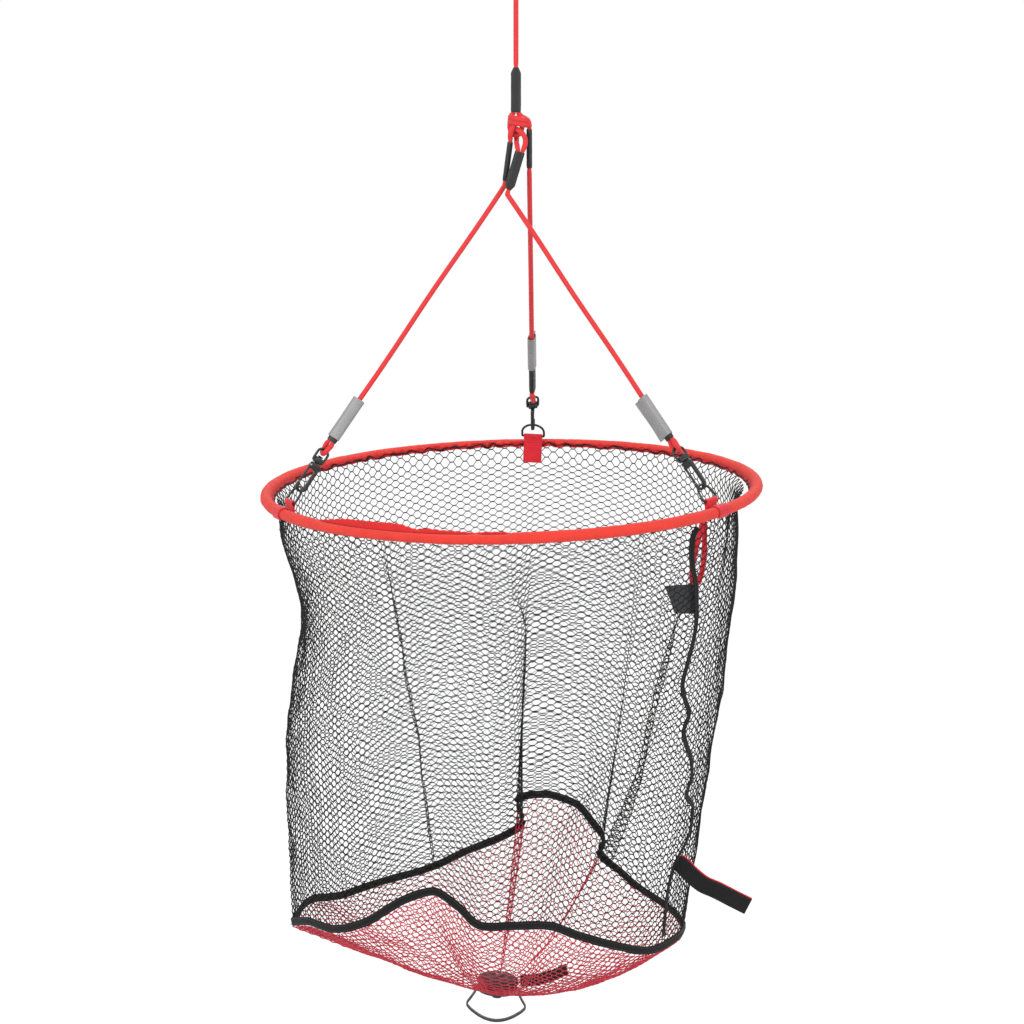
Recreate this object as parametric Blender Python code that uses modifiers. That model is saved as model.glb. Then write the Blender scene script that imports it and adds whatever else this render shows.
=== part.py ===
"""Drop net: a sprung hoop and mesh bag slung from three rope legs on swivel snap hooks.

Run with: blender --background --python part.py
Units are metres, +Z is up, +X is to the viewer's right and +Y is away from the viewer.
The origin is the inside top of the hand loop, where a hand or a hook holds the net up.
"""

import math

import bmesh
import bpy
from mathutils import Matrix, Vector

# Clearances
TOUCH_GAP = 0.0003
RUNNING_GAP = 0.0003
NET_EDGE_GAP = 0.0018

# Rope
ROPE_RADIUS = 0.003
SLEEVED_ROPE_RADIUS = 0.0024
SHRINK_WALL = 0.0008
ROPE_POINT_SPACING = 0.015
LEG_POINT_SPACING = 0.090

# Main line, from the top down
HAND_LOOP_LENGTH = 0.115
HAND_LOOP_HALF_WIDTH = 0.027
HAND_SLEEVE_LENGTH = 0.050
MAIN_RUN = 0.099
MAIN_SLEEVE_LENGTH = 0.052
MAIN_EYE_LENGTH = 0.030
JUNCTION_HEIGHT = 0.4183

# Leg ends
TOP_SLEEVE_LENGTH = 0.046
SLEEVE_LEAD = 0.006
BOTTOM_SLEEVE_LENGTH = 0.055
BOTTOM_EYE_LENGTH = 0.012
WRAP_LENGTH = 0.054
WRAP_WALL = 0.0008

# Hoop and its fabric sleeve
HOOP_RADIUS = 0.293
HOOP_WIRE_RADIUS = 0.00175
RIM_SLEEVE_RADIUS = 0.007
RIM_SLEEVE_WALL = 0.0015
RIM_CENTRE_X = -0.0052
RIM_LEAN = math.radians(1.4)
CUFF_OFFSET = math.radians(2.6)
CUFF_GAP = 0.0006
HOOP_SEGMENTS = 48
FERRULE_LENGTH = 0.034
FERRULE_WALL = 0.0015

# D-rings and their webbing tabs
LEG_AZIMUTHS = {"left": 204.3, "right": 324.3, "back": 84.3}
D_RING_INNER_WIDTH = 0.025
D_RING_DEPTH = 0.0211
D_RING_WIRE_RADIUS = 0.0014
BAR_HEIGHT = 0.0125
TAB_WIDTH = 0.0238
TAB_LAYER = 0.0013
TAB_DROP = 0.022
TAB_CURVE_GAP = 0.0007

# Swivel snap hooks, as lengths up the leg from the D-ring's bar unless said
BOW_REST = 0.0016
BOW_INNER_RADIUS = 0.0038
BOW_WALL = 0.0030
SPINE_WIDTH = 0.0044
HOOK_THICKNESS = 0.0044
SLOT_LENGTH = 0.0235
NOSE_LENGTH = 0.0042
HEAD_LENGTH = 0.0085
GATE_WIDTH = 0.0024
GATE_THICKNESS = 0.0022
GATE_PIN_RADIUS = 0.0008
FORK_WALL = 0.0009
SPRING_WIRE_RADIUS = 0.0002
SPRING_TURNS = 0.85
SHANK_RADIUS = 0.0020
RIVET_HEAD_RADIUS = 0.0034
RIVET_HEAD_HEIGHT = 0.0015
BLOCK_LENGTH = 0.0074
BLOCK_WIDTH = 0.0120
BLOCK_THICKNESS = 0.0086
EYE_WIRE_RADIUS = 0.0015
EYE_HALF_WIDTH = 0.0070
SWIVEL_GAP = 0.0005

# Net bag
NET_THICKNESS = 0.0020
NET_COLUMNS = 48
WALL_LEVELS = (-0.05, 0.0, 0.13, 0.26, 0.39, 0.53, 0.68, 0.84, 1.0)
OPENING_COLUMNS = 2
OPENING_EDGE_LEVEL = 0.011
OPENING_EDGE_SHARE = 0.0030
SEAM_HOLD_SHARE = 0.004
FLOOR_LEVELS = (0.0, 0.30, 0.58, 0.82, 1.0)
HEM_HEIGHT = 0.0080
HEM_THICKNESS = 0.0012
HEM_TOP = -0.0020
BAND_HEIGHT = 0.0090
BAND_THICKNESS = 0.0030
WAIST_LEVEL = 0.28
WAIST_DEPTH = 0.016
WAIST_BIAS = 0.013
LIP_DEPTH = 0.012
LIP_LEVEL = 0.12
TAB_HOLD = math.radians(7.4)
TAB_RELEASE = math.radians(14)
FLOOR_STEEPNESS = 1.55
FLOOR_BIAS = 0.25

# Seam tape, label, webbing loop and storage strap
TAPE_WIDTH = 0.0065
TAPE_THICKNESS = 0.0012
TAPE_GAP = 0.0011
LABEL_THICKNESS = 0.0008
LOOP_WEB_WIDTH = 0.006
LOOP_WEB_THICKNESS = 0.0012
STRAP_WIDTH = 0.020
STRAP_THICKNESS = 0.003

# Base
BASE_OFFSET_X = -0.0172
BASE_DEPTH = 0.6230
BASE_LEAN = math.radians(4)
BASE_WEIGHT_RADIUS = 0.0255
BASE_WEIGHT_HEIGHT = 0.0110
BASE_PLATE_RADIUS = 0.0250
BASE_PLATE_HEIGHT = 0.0060
BOLT_RADIUS = 0.003
BOLT_HEAD_RADIUS = 0.0080
BOLT_HEAD_HEIGHT = 0.0080
NUT_RADIUS = 0.0058
BAIL_WIDTH = 0.009
BAIL_EYE_RADIUS = 0.0032
BAIL_THICKNESS = 0.002
BAIL_CORNER_SPREAD = 0.0105
BAIL_CORNER_DROP = 0.023
BAIL_DROP = 0.0415
BAIL_PIN_RADIUS = 0.0014
BAIL_PIN_HEAD_RADIUS = 0.0028
BAIL_PIN_HEAD_HEIGHT = 0.0012
BAIL_PIN_DEPTH = 0.006
INNER_STRAP_WIDTH = 0.022
INNER_STRAP_THICKNESS = 0.0018

# Levels that follow from the lengths above
HAND_SLEEVE_TOP = -HAND_LOOP_LENGTH
HAND_SLEEVE_BOTTOM = HAND_SLEEVE_TOP - HAND_SLEEVE_LENGTH
MAIN_SLEEVE_TOP = HAND_SLEEVE_BOTTOM - MAIN_RUN
MAIN_SLEEVE_BOTTOM = MAIN_SLEEVE_TOP - MAIN_SLEEVE_LENGTH
JUNCTION_Z = MAIN_SLEEVE_BOTTOM - MAIN_EYE_LENGTH + ROPE_RADIUS
RIM_Z = JUNCTION_Z - ROPE_RADIUS - JUNCTION_HEIGHT

# Half the distance between the two strands in a shrink sleeve
STRAND_OFFSET = SLEEVED_ROPE_RADIUS + TOUCH_GAP / 2
SLEEVE_BORE_RADIUS = SLEEVED_ROPE_RADIUS + TOUCH_GAP
SLEEVE_RADIUS = SLEEVE_BORE_RADIUS + SHRINK_WALL

# Radii at the rim, from the hoop inwards
HEM_RADIUS = HOOP_RADIUS - RIM_SLEEVE_RADIUS - TOUCH_GAP - HEM_THICKNESS / 2
BAR_RADIUS = HEM_RADIUS - NET_THICKNESS / 2 - TOUCH_GAP - TAB_CURVE_GAP - TAB_LAYER
WALL_TOP = HEM_TOP - HEM_HEIGHT - NET_EDGE_GAP
TAB_FOOT = -TAB_DROP - NET_EDGE_GAP

# Snap hook levels along the leg
BOW_CENTRE = D_RING_DEPTH + BOW_INNER_RADIUS - D_RING_WIRE_RADIUS - BOW_REST
HEAD_FOOT = BOW_CENTRE + SLOT_LENGTH
HEAD_TOP = HEAD_FOOT + HEAD_LENGTH
BLOCK_FOOT = HEAD_TOP + SWIVEL_GAP
BLOCK_TOP = BLOCK_FOOT + BLOCK_LENGTH
RIVET_FOOT = BLOCK_TOP + SWIVEL_GAP
RIVET_TOP = RIVET_FOOT + RIVET_HEAD_HEIGHT
EYE_BAR = RIVET_TOP + SWIVEL_GAP + 2 * ROPE_RADIUS + TOUCH_GAP + EYE_WIRE_RADIUS + 0.001
BIGHT_RADIUS = ROPE_RADIUS + EYE_WIRE_RADIUS + 2 * TOUCH_GAP
BOTTOM_SLEEVE_FOOT = EYE_BAR + BOTTOM_EYE_LENGTH
BOTTOM_SLEEVE_TOP = BOTTOM_SLEEVE_FOOT + BOTTOM_SLEEVE_LENGTH
GATE_OFFSET = BOW_INNER_RADIUS + GATE_WIDTH / 2
GATE_PIN_LEVEL = HEAD_FOOT + HEAD_LENGTH / 2
NOSE_TOP = BOW_CENTRE + NOSE_LENGTH
FORK_SLOT = HOOK_THICKNESS - 2 * FORK_WALL

# Base levels from the middle of the clamped net
NET_CLAMP_RADIUS = 0.012
NET_FLAT_RADIUS = BASE_WEIGHT_RADIUS + 0.003
PLATE_TOP = -NET_THICKNESS / 2 - TOUCH_GAP
PLATE_FOOT = PLATE_TOP - BASE_PLATE_HEIGHT
WEIGHT_FOOT = NET_THICKNESS / 2 + TOUCH_GAP
WEIGHT_TOP = WEIGHT_FOOT + BASE_WEIGHT_HEIGHT
BAIL_PIVOT_LEVEL = -NET_THICKNESS / 2 - 0.0006 - BAIL_EYE_RADIUS
BAIL_LEG_X = BASE_PLATE_RADIUS + RUNNING_GAP + BAIL_THICKNESS / 2

# The band between wall and floor, as points from the hoop's centre (x, y, z): the back from
# left to right, then the front from right to left.
BAND_BACK = (
    (-0.269, 0.000, -0.542),
    (-0.251, 0.060, -0.534),
    (-0.216, 0.120, -0.547),
    (-0.168, 0.165, -0.544),
    (-0.105, 0.200, -0.536),
    (-0.060, 0.215, -0.521),
    (-0.015, 0.222, -0.506),
    (0.006, 0.222, -0.486),
    (0.022, 0.220, -0.456),
    (0.047, 0.228, -0.449),
    (0.075, 0.225, -0.456),
    (0.098, 0.212, -0.471),
    (0.116, 0.199, -0.490),
    (0.124, 0.184, -0.510),
    (0.136, 0.168, -0.531),
    (0.163, 0.140, -0.544),
    (0.196, 0.075, -0.548),
    (0.213, 0.010, -0.550),
)
BAND_FRONT = (
    (0.213, 0.010, -0.550),
    (0.201, -0.045, -0.546),
    (0.165, -0.110, -0.541),
    (0.122, -0.155, -0.520),
    (0.080, -0.185, -0.498),
    (0.045, -0.205, -0.479),
    (0.004, -0.222, -0.473),
    (-0.036, -0.225, -0.472),
    (-0.060, -0.218, -0.453),
    (-0.077, -0.212, -0.441),
    (-0.094, -0.208, -0.436),
    (-0.130, -0.195, -0.453),
    (-0.172, -0.165, -0.488),
    (-0.210, -0.120, -0.511),
    (-0.246, -0.055, -0.523),
    (-0.269, 0.000, -0.542),
)

COLOURS = {
    "rope_red": ((0.72, 0.045, 0.045), 0.75, 0.0),
    "shrink_black": ((0.025, 0.025, 0.027), 0.45, 0.0),
    "reflective_grey": ((0.36, 0.36, 0.37), 0.35, 0.1),
    "hook_black": ((0.02, 0.02, 0.022), 0.35, 0.2),
    "blackened_steel": ((0.03, 0.03, 0.032), 0.35, 0.9),
    "bright_steel": ((0.55, 0.55, 0.56), 0.3, 1.0),
    "fabric_red": ((0.80, 0.045, 0.035), 0.8, 0.0),
    "net_black": ((0.02, 0.02, 0.02), 0.8, 0.0),
    "net_red": ((0.62, 0.04, 0.06), 0.8, 0.0),
    "tape_black": ((0.012, 0.011, 0.012), 0.85, 0.0),
    "label_grey": ((0.05, 0.05, 0.055), 0.8, 0.0),
    "base_rubber": ((0.02, 0.02, 0.02), 0.6, 0.0),
    "bail_grey": ((0.06, 0.06, 0.065), 0.4, 0.3),
}

for item in list(bpy.data.objects):
    bpy.data.objects.remove(item, do_unlink=True)

parts = bpy.data.collections.new("drop_net")
cutters = bpy.data.collections.new("cutters")
bpy.context.scene.collection.children.link(parts)
bpy.context.scene.collection.children.link(cutters)


def material(name):
    """The named finish, made once."""
    found = bpy.data.materials.get(name)
    if found:
        return found
    colour, roughness, metallic = COLOURS[name]
    made = bpy.data.materials.new(name)
    made.use_nodes = True
    shader = made.node_tree.nodes["Principled BSDF"]
    shader.inputs["Base Color"].default_value = (*colour, 1.0)
    shader.inputs["Roughness"].default_value = roughness
    shader.inputs["Metallic"].default_value = metallic
    return made


def add_empty(name, matrix, parent=None):
    """A frame that pieces hang from."""
    empty = bpy.data.objects.new(name, None)
    empty.empty_display_size = 0.02
    parts.objects.link(empty)
    if parent:
        empty.parent = parent
    empty.matrix_local = matrix
    bpy.context.view_layer.update()
    return empty


def add_object(name, data, finish, parent=None, matrix=None, collection=None):
    """Links a mesh or curve as a part, or as a cutter when that collection is given."""
    piece = bpy.data.objects.new(name, data)
    (collection or parts).objects.link(piece)
    if finish:
        data.materials.append(material(finish))
    if parent:
        piece.parent = parent
    if matrix is not None:
        piece.matrix_local = matrix
    if collection is cutters:
        piece.hide_render = True
        piece.display_type = "WIRE"
    return piece


def mesh_from(bm, name, smooth_angle=40):
    """A mesh data block from a bmesh, shaded smooth except at its sharp edges."""
    data = bpy.data.meshes.new(name)
    bm.to_mesh(data)
    bm.free()
    data.shade_smooth()
    data.set_sharp_from_angle(angle=math.radians(smooth_angle))
    return data


def smooth_path(points, spacing):
    """Points along a Catmull-Rom curve through the chosen ones; a fourth value is carried along."""
    count = len(points)
    path = []
    for i in range(count - 1):
        before = points[max(i - 1, 0)]
        start = points[i]
        end = points[i + 1]
        after = points[min(i + 2, count - 1)]
        steps = max(1, round((Vector(end[:3]) - Vector(start[:3])).length / spacing))
        for step in range(steps):
            t = step / steps
            path.append(
                tuple(
                    0.5
                    * (
                        2 * b
                        + (c - a) * t
                        + (2 * a - 5 * b + 4 * c - d) * t * t
                        + (3 * b - a - 3 * c + d) * t * t * t
                    )
                    for a, b, c, d in zip(before, start, end, after)
                )
            )
    path.append(tuple(points[-1]))
    return path


def tube(name, path, radius, finish, parent=None, cyclic=False, resolution=2, matrix=None):
    """A round wire or rope along the path; a path point's fourth value scales its radius."""
    data = bpy.data.curves.new(name, "CURVE")
    data.dimensions = "3D"
    data.bevel_depth = radius
    data.bevel_resolution = resolution
    data.use_fill_caps = not cyclic
    spline = data.splines.new("POLY")
    spline.points.add(len(path) - 1)
    for point, place in zip(spline.points, path):
        point.co = (*place[:3], 1.0)
        point.radius = place[3] if len(place) > 3 else 1.0
    spline.use_cyclic_u = cyclic
    return add_object(name, data, finish, parent, matrix)


def plate(name, outlines, thickness, finish, parent=None, matrix=None):
    """A flat outline, holes included, given half its thickness to each side."""
    data = bpy.data.curves.new(name, "CURVE")
    data.dimensions = "2D"
    data.fill_mode = "BOTH"
    data.extrude = thickness / 2
    for outline in outlines:
        spline = data.splines.new("POLY")
        spline.points.add(len(outline) - 1)
        for point, (x, y) in zip(spline.points, outline):
            point.co = (x, y, 0.0, 1.0)
        spline.use_cyclic_u = True
    return add_object(name, data, finish, parent, matrix)


def as_mesh(curve_object, smooth_angle=40):
    """Turns a curve object into a mesh one with welded caps, in the same place."""
    bpy.context.view_layer.update()
    graph = bpy.context.evaluated_depsgraph_get()
    data = bpy.data.meshes.new_from_object(curve_object.evaluated_get(graph))
    bm = bmesh.new()
    bm.from_mesh(data)
    bmesh.ops.remove_doubles(bm, verts=bm.verts, dist=1e-6)
    bm.to_mesh(data)
    bm.free()
    data.shade_smooth()
    data.set_sharp_from_angle(angle=math.radians(smooth_angle))
    name = curve_object.name
    parent = curve_object.parent
    local = curve_object.matrix_local.copy()
    collection = curve_object.users_collection[0]
    bpy.data.objects.remove(curve_object, do_unlink=True)
    made = bpy.data.objects.new(name, data)
    collection.objects.link(made)
    made.parent = parent
    made.matrix_local = local
    return made


def cylinder_data(name, radius, start, end, axis="Z", sides=16, end_radius=None):
    """A cylinder or cone along X, Y or Z between two levels."""
    bm = bmesh.new()
    bmesh.ops.create_cone(
        bm,
        cap_ends=True,
        segments=sides,
        radius1=radius,
        radius2=radius if end_radius is None else end_radius,
        depth=end - start,
    )
    bmesh.ops.translate(bm, verts=bm.verts, vec=(0, 0, (start + end) / 2))
    turn = {
        "X": Matrix.Rotation(math.radians(90), 3, "Y"),
        "Y": Matrix.Rotation(math.radians(-90), 3, "X"),
        "Z": Matrix.Identity(3),
    }[axis]
    bmesh.ops.rotate(bm, verts=bm.verts, matrix=turn)
    return mesh_from(bm, name)


def box_data(name, low, high):
    """An upright box between two corners."""
    bm = bmesh.new()
    bmesh.ops.create_cube(bm, size=1.0)
    size = Vector(high) - Vector(low)
    bmesh.ops.scale(bm, verts=bm.verts, vec=size)
    bmesh.ops.translate(bm, verts=bm.verts, vec=(Vector(high) + Vector(low)) / 2)
    return mesh_from(bm, name)


def turned_data(name, profile, steps=24):
    """A turned solid: a profile of (radius, height) from top to bottom, spun round Z."""
    bm = bmesh.new()
    verts = [bm.verts.new((radius, 0, height)) for radius, height in profile]
    edges = [bm.edges.new(pair) for pair in zip(verts, verts[1:])]
    bmesh.ops.spin(
        bm,
        geom=verts + edges,
        cent=(0, 0, 0),
        axis=(0, 0, 1),
        angle=math.tau,
        steps=steps,
        use_merge=True,
    )
    bmesh.ops.remove_doubles(bm, verts=bm.verts, dist=1e-6)
    bmesh.ops.recalc_face_normals(bm, faces=bm.faces)
    return mesh_from(bm, name)


def boolean(target, other, operation):
    """Cuts the other object from the target, or joins it on."""
    modifier = target.modifiers.new(operation.lower(), "BOOLEAN")
    modifier.operation = operation
    modifier.solver = "EXACT"
    modifier.object = other


def tool_object(name, data, parent=None, matrix=None):
    """A hidden solid that a Boolean uses."""
    return add_object(name, data, None, parent, matrix, cutters)


def rounded(target, width, segments=1, angle=50):
    """Rounds the target's sharp edges."""
    modifier = target.modifiers.new("rounding", "BEVEL")
    modifier.width = width
    modifier.segments = segments
    modifier.limit_method = "ANGLE"
    modifier.angle_limit = math.radians(angle)


def sheet(name, rows, thickness, finish, parent=None, closed=False, openings=()):
    """Cloth, webbing or net: a grid of points given a thickness, half to each side, less its openings."""
    bm = bmesh.new()
    grid = [[bm.verts.new(place) for place in row] for row in rows]
    columns = len(grid[0])
    for row, (upper, lower) in enumerate(zip(grid, grid[1:])):
        for i in range(columns if closed else columns - 1):
            j = (i + 1) % columns
            if (row, i) not in openings:
                bm.faces.new((upper[i], upper[j], lower[j], lower[i]))
    bmesh.ops.recalc_face_normals(bm, faces=bm.faces)
    piece = add_object(name, mesh_from(bm, name), finish, parent)
    solidify = piece.modifiers.new("thickness", "SOLIDIFY")
    solidify.thickness = thickness
    solidify.offset = 0.0
    solidify.use_even_offset = False
    return piece


def ribbon(name, path, across, width, thickness, finish, parent=None, closed=False):
    """A flat strap along a path; its width and the way it lies are one, or one for each point."""
    directions = across if isinstance(across, list) else [across] * len(path)
    widths = width if isinstance(width, list) else [width] * len(path)
    sides = [Vector(d).normalized() * w / 2 for d, w in zip(directions, widths)]
    upper = [Vector(p) + side for p, side in zip(path, sides)]
    lower = [Vector(p) - side for p, side in zip(path, sides)]
    return sheet(name, [upper, lower], thickness, finish, parent, closed)


def hollow_loft(name, outer, inner, finish, parent=None):
    """A tube with a bore: rings of points along its outside and its bore, joined at both ends."""
    bm = bmesh.new()
    out_rings = [[bm.verts.new(place) for place in ring] for ring in outer]
    in_rings = [[bm.verts.new(place) for place in ring] for ring in inner]
    sides = len(out_rings[0])
    for rings in (out_rings, in_rings):
        for first, second in zip(rings, rings[1:]):
            for i in range(sides):
                j = (i + 1) % sides
                bm.faces.new((first[i], first[j], second[j], second[i]))
    for end in (0, -1):
        for i in range(sides):
            j = (i + 1) % sides
            bm.faces.new((out_rings[end][i], out_rings[end][j], in_rings[end][j], in_rings[end][i]))
    bmesh.ops.recalc_face_normals(bm, faces=bm.faces)
    return add_object(name, mesh_from(bm, name, 60), finish, parent)


def stadium(centre, wide, thin, spread, radius, sides=16):
    """A ring of points round two strands that lie a spread apart on each side of the centre."""
    ring = []
    for i in range(sides):
        angle = math.tau * (i + 0.5) / sides
        shift = spread if math.cos(angle) > 0 else -spread
        ring.append(
            centre
            + wide * (shift + radius * math.cos(angle))
            + thin * radius * math.sin(angle)
        )
    return ring


# Each leg's top eye, hand-placed from the main eye's lowest point: the shrink sleeve's top and
# foot, the direction in which its two strands lie side by side, and the points of the bight.
TOP_EYES = {
    "left": {
        "top": (-0.0066, 0.0, -0.0080),
        "foot": (-0.0126, 0.0, -0.0535),
        "wide": (0, 1, 0),
        "bight": (
            (-0.0066, 0.0040, -0.0035),
            (-0.0064, 0.0066, 0.0020),
            (-0.0046, 0.0076, 0.0080),
            (-0.0018, 0.0054, 0.0122),
            (0.0, 0.0, 0.0132),
            (-0.0018, -0.0054, 0.0122),
            (-0.0046, -0.0076, 0.0080),
            (-0.0064, -0.0066, 0.0020),
            (-0.0066, -0.0040, -0.0035),
        ),
    },
    "right": {
        "top": (0.0048, -0.0118, -0.0185),
        "foot": (-0.0084, -0.0118, -0.0625),
        "wide": (0.958, 0, -0.286),
        "bight": (
            (0.0090, -0.0118, -0.0150),
            (0.0110, -0.0118, -0.0080),
            (0.0100, -0.0118, -0.0010),
            (0.0062, -0.0104, 0.0044),
            (0.0028, -0.0070, 0.0066),
            (0.0010, -0.0034, 0.0070),
            (0.0, 0.0, 0.0066),
            (0.0002, 0.0050, 0.0048),
            (0.0006, 0.0068, 0.0),
            (0.0008, 0.0050, -0.0052),
            (0.0008, -0.0010, -0.0086),
            (0.0012, -0.0078, -0.0104),
            (0.0018, -0.0118, -0.0140),
        ),
    },
    "back": {
        "top": (0.0156, 0.0005, 0.0070),
        "foot": (0.0158, 0.0040, -0.0375),
        "wide": (0, 1, 0.079),
        "bight": (
            (0.0156, 0.0042, 0.0112),
            (0.0146, 0.0056, 0.0158),
            (0.0112, 0.0064, 0.0190),
            (0.0070, 0.0066, 0.0198),
            (0.0030, 0.0056, 0.0198),
            (0.0006, 0.0032, 0.0196),
            (0.0, 0.0, 0.0196),
            (0.0006, -0.0032, 0.0196),
            (0.0030, -0.0056, 0.0198),
            (0.0070, -0.0066, 0.0198),
            (0.0112, -0.0062, 0.0190),
            (0.0146, -0.0048, 0.0158),
            (0.0156, -0.0034, 0.0112),
        ),
    },
}


class Leg:
    """One rope leg: where its hook hangs on the rim, and the hook's own directions."""

    def __init__(self, name, spine_side, swivel_turn, sleeve_turn, wrap_lift, flag):
        self.name = name
        self.azimuth = math.radians(LEG_AZIMUTHS[name])
        self.spine_side = spine_side
        self.swivel_turn = math.radians(swivel_turn)
        self.sleeve_turn = math.radians(sleeve_turn)
        self.wrap_lift = wrap_lift
        self.flag = flag
        eye = TOP_EYES[name]
        self.upper_end = Vector((0, 0, JUNCTION_Z)) + Vector(eye["top"])
        down = (Vector(eye["foot"]) - Vector(eye["top"])).normalized()
        self.sleeve_foot = self.upper_end + down * TOP_SLEEVE_LENGTH
        self.lower_end = self.sleeve_foot + down * SLEEVE_LEAD
        self.bar = rim_point(self.azimuth, BAR_RADIUS, BAR_HEIGHT)
        self.along = (self.lower_end - self.bar).normalized()
        outward = Vector((math.cos(self.azimuth), math.sin(self.azimuth), 0))
        tangent = Vector((-outward.y, outward.x, 0))
        across = (tangent - self.along * tangent.dot(self.along)).normalized()
        in_plane = self.along.cross(across)
        if in_plane.dot(outward) * spine_side < 0:
            across = -across
            in_plane = -in_plane
        self.across = across
        self.in_plane = in_plane
        self.length = (self.lower_end - self.bar).length

    def frame(self):
        """X in the hook's plane towards its spine, Y up the leg, Z across the hook."""
        columns = (self.in_plane, self.along, self.across)
        return Matrix.Translation(self.bar) @ Matrix(columns).transposed().to_4x4()

    def side(self, turn):
        """The direction at an angle about the leg, from the hook's plane."""
        return self.in_plane * math.cos(turn) + self.across * math.sin(turn)

    def at(self, level, turn=0.0, offset=0.0):
        """A point up the leg, moved sideways."""
        return self.bar + self.along * level + self.side(turn) * offset


rim_matrix = Matrix.Translation((RIM_CENTRE_X, 0, RIM_Z)) @ Matrix.Rotation(-RIM_LEAN, 4, "Y")


def rim_point(azimuth, radius, height):
    """A point by its angle and radius about the hoop, and its height over the hoop's plane."""
    return rim_matrix @ Vector((radius * math.cos(azimuth), radius * math.sin(azimuth), height))


def bag_point(x, y, z):
    """A point given from the hoop's centre, upright."""
    return Vector((RIM_CENTRE_X + x, y, RIM_Z + z))


LEGS = (
    Leg("left", -1, 0, 35, 0.005, -0.0006),
    Leg("right", 1, -60, 10, 0.005, -0.0075),
    Leg("back", -1, 75, 15, 0.042, -0.0045),
)

def sleeve_rings(top, foot, wide, taper_at_foot, bore_sides=16):
    """Rings of a shrink sleeve: wide over both strands, drawn in round one at its far end."""
    axis = (foot - top).normalized()
    wide = (wide - axis * wide.dot(axis)).normalized()
    thin = axis.cross(wide)
    length = (foot - top).length
    outer = []
    inner = []
    for share, spread in ((0.0, 1.0), (0.70, 1.0), (0.85, 0.5), (1.0, 0.0)):
        level = share if taper_at_foot else 1 - share
        centre = top + axis * (level * length)
        outer.append(stadium(centre, wide, thin, STRAND_OFFSET * spread, SLEEVE_RADIUS, bore_sides))
        inner.append(stadium(centre, wide, thin, STRAND_OFFSET * spread, SLEEVE_BORE_RADIUS, bore_sides))
    return outer, inner


SQUEEZE = SLEEVED_ROPE_RADIUS / ROPE_RADIUS


def strand_points(top, foot, wide, sign, taper_at_foot, live):
    """One strand's points through a sleeve from just outside its mouth; the tail stops part way."""
    mouth, far = (top, foot) if taper_at_foot else (foot, top)
    axis = (far - mouth).normalized()
    wide = (wide - axis * wide.dot(axis)).normalized()
    length = (far - mouth).length
    stops = [(-0.03, 1.0), (0.0, 1.0), (0.67, 1.0)]
    if live:
        stops += [(0.70, 1.0), (0.85, 0.5), (1.0, 0.0)]
    return [
        (*(mouth + axis * (share * length) + wide * (sign * STRAND_OFFSET * spread)), SQUEEZE)
        for share, spread in stops
    ]


def make_main_line():
    """The main rope with its hand loop and its eye, and the two shrink sleeves."""
    hand_top = Vector((0, 0, HAND_SLEEVE_TOP))
    hand_foot = Vector((0, 0, HAND_SLEEVE_BOTTOM))
    main_top = Vector((0, 0, MAIN_SLEEVE_TOP))
    main_foot = Vector((0, 0, MAIN_SLEEVE_BOTTOM))
    wide = Vector((1, 0, 0))
    half = HAND_LOOP_HALF_WIDTH
    loop_side = [
        (0.0052, HAND_SLEEVE_TOP + 0.008),
        (0.55 * half, HAND_SLEEVE_TOP + 0.027),
        (half, HAND_SLEEVE_TOP + 0.065),
        (0.93 * half, -0.023),
        (0.58 * half, -0.003),
    ]
    loop = [(-x, 0, z, 1.0) for x, z in loop_side]
    loop.append((0, 0, ROPE_RADIUS, 1.0))
    loop += [(x, 0, z, 1.0) for x, z in reversed(loop_side)]
    eye_side = [
        (0.0044, 0.0242),
        (0.0060, 0.0214),
        (0.0068, 0.0172),
        (0.0072, 0.0115),
        (0.0068, 0.0066),
        (0.0048, 0.0022),
        (0.0024, 0.0004),
    ]
    eye = [(x, 0, JUNCTION_Z + z, 1.0) for x, z in eye_side]
    eye.append((0, 0, JUNCTION_Z, 1.0))
    eye += [(-x, 0, JUNCTION_Z + z, 1.0) for x, z in reversed(eye_side)]

    tail_in = strand_points(hand_top, hand_foot, wide, -1, True, False)
    line_in = strand_points(hand_top, hand_foot, wide, 1, True, True)
    line_out = strand_points(main_top, main_foot, wide, 1, False, True)
    tail_out = strand_points(main_top, main_foot, wide, -1, False, False)
    route = list(reversed(tail_in[1:]))
    route += smooth_path([tail_in[0]] + loop + [line_in[0]], ROPE_POINT_SPACING)
    route += line_in[1:]
    route += [(0, 0, HAND_SLEEVE_BOTTOM - 0.006, 1.0), (0, 0, MAIN_SLEEVE_TOP + 0.006, 1.0)]
    route += list(reversed(line_out)) + eye + tail_out
    tube("main_rope", route, ROPE_RADIUS, "rope_red")
    outer, inner = sleeve_rings(hand_top, hand_foot, wide, True)
    hollow_loft("hand_loop_sleeve", outer, inner, "shrink_black")
    outer, inner = sleeve_rings(main_top, main_foot, wide, False)
    hollow_loft("main_rope_sleeve", outer, inner, "shrink_black")


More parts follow.
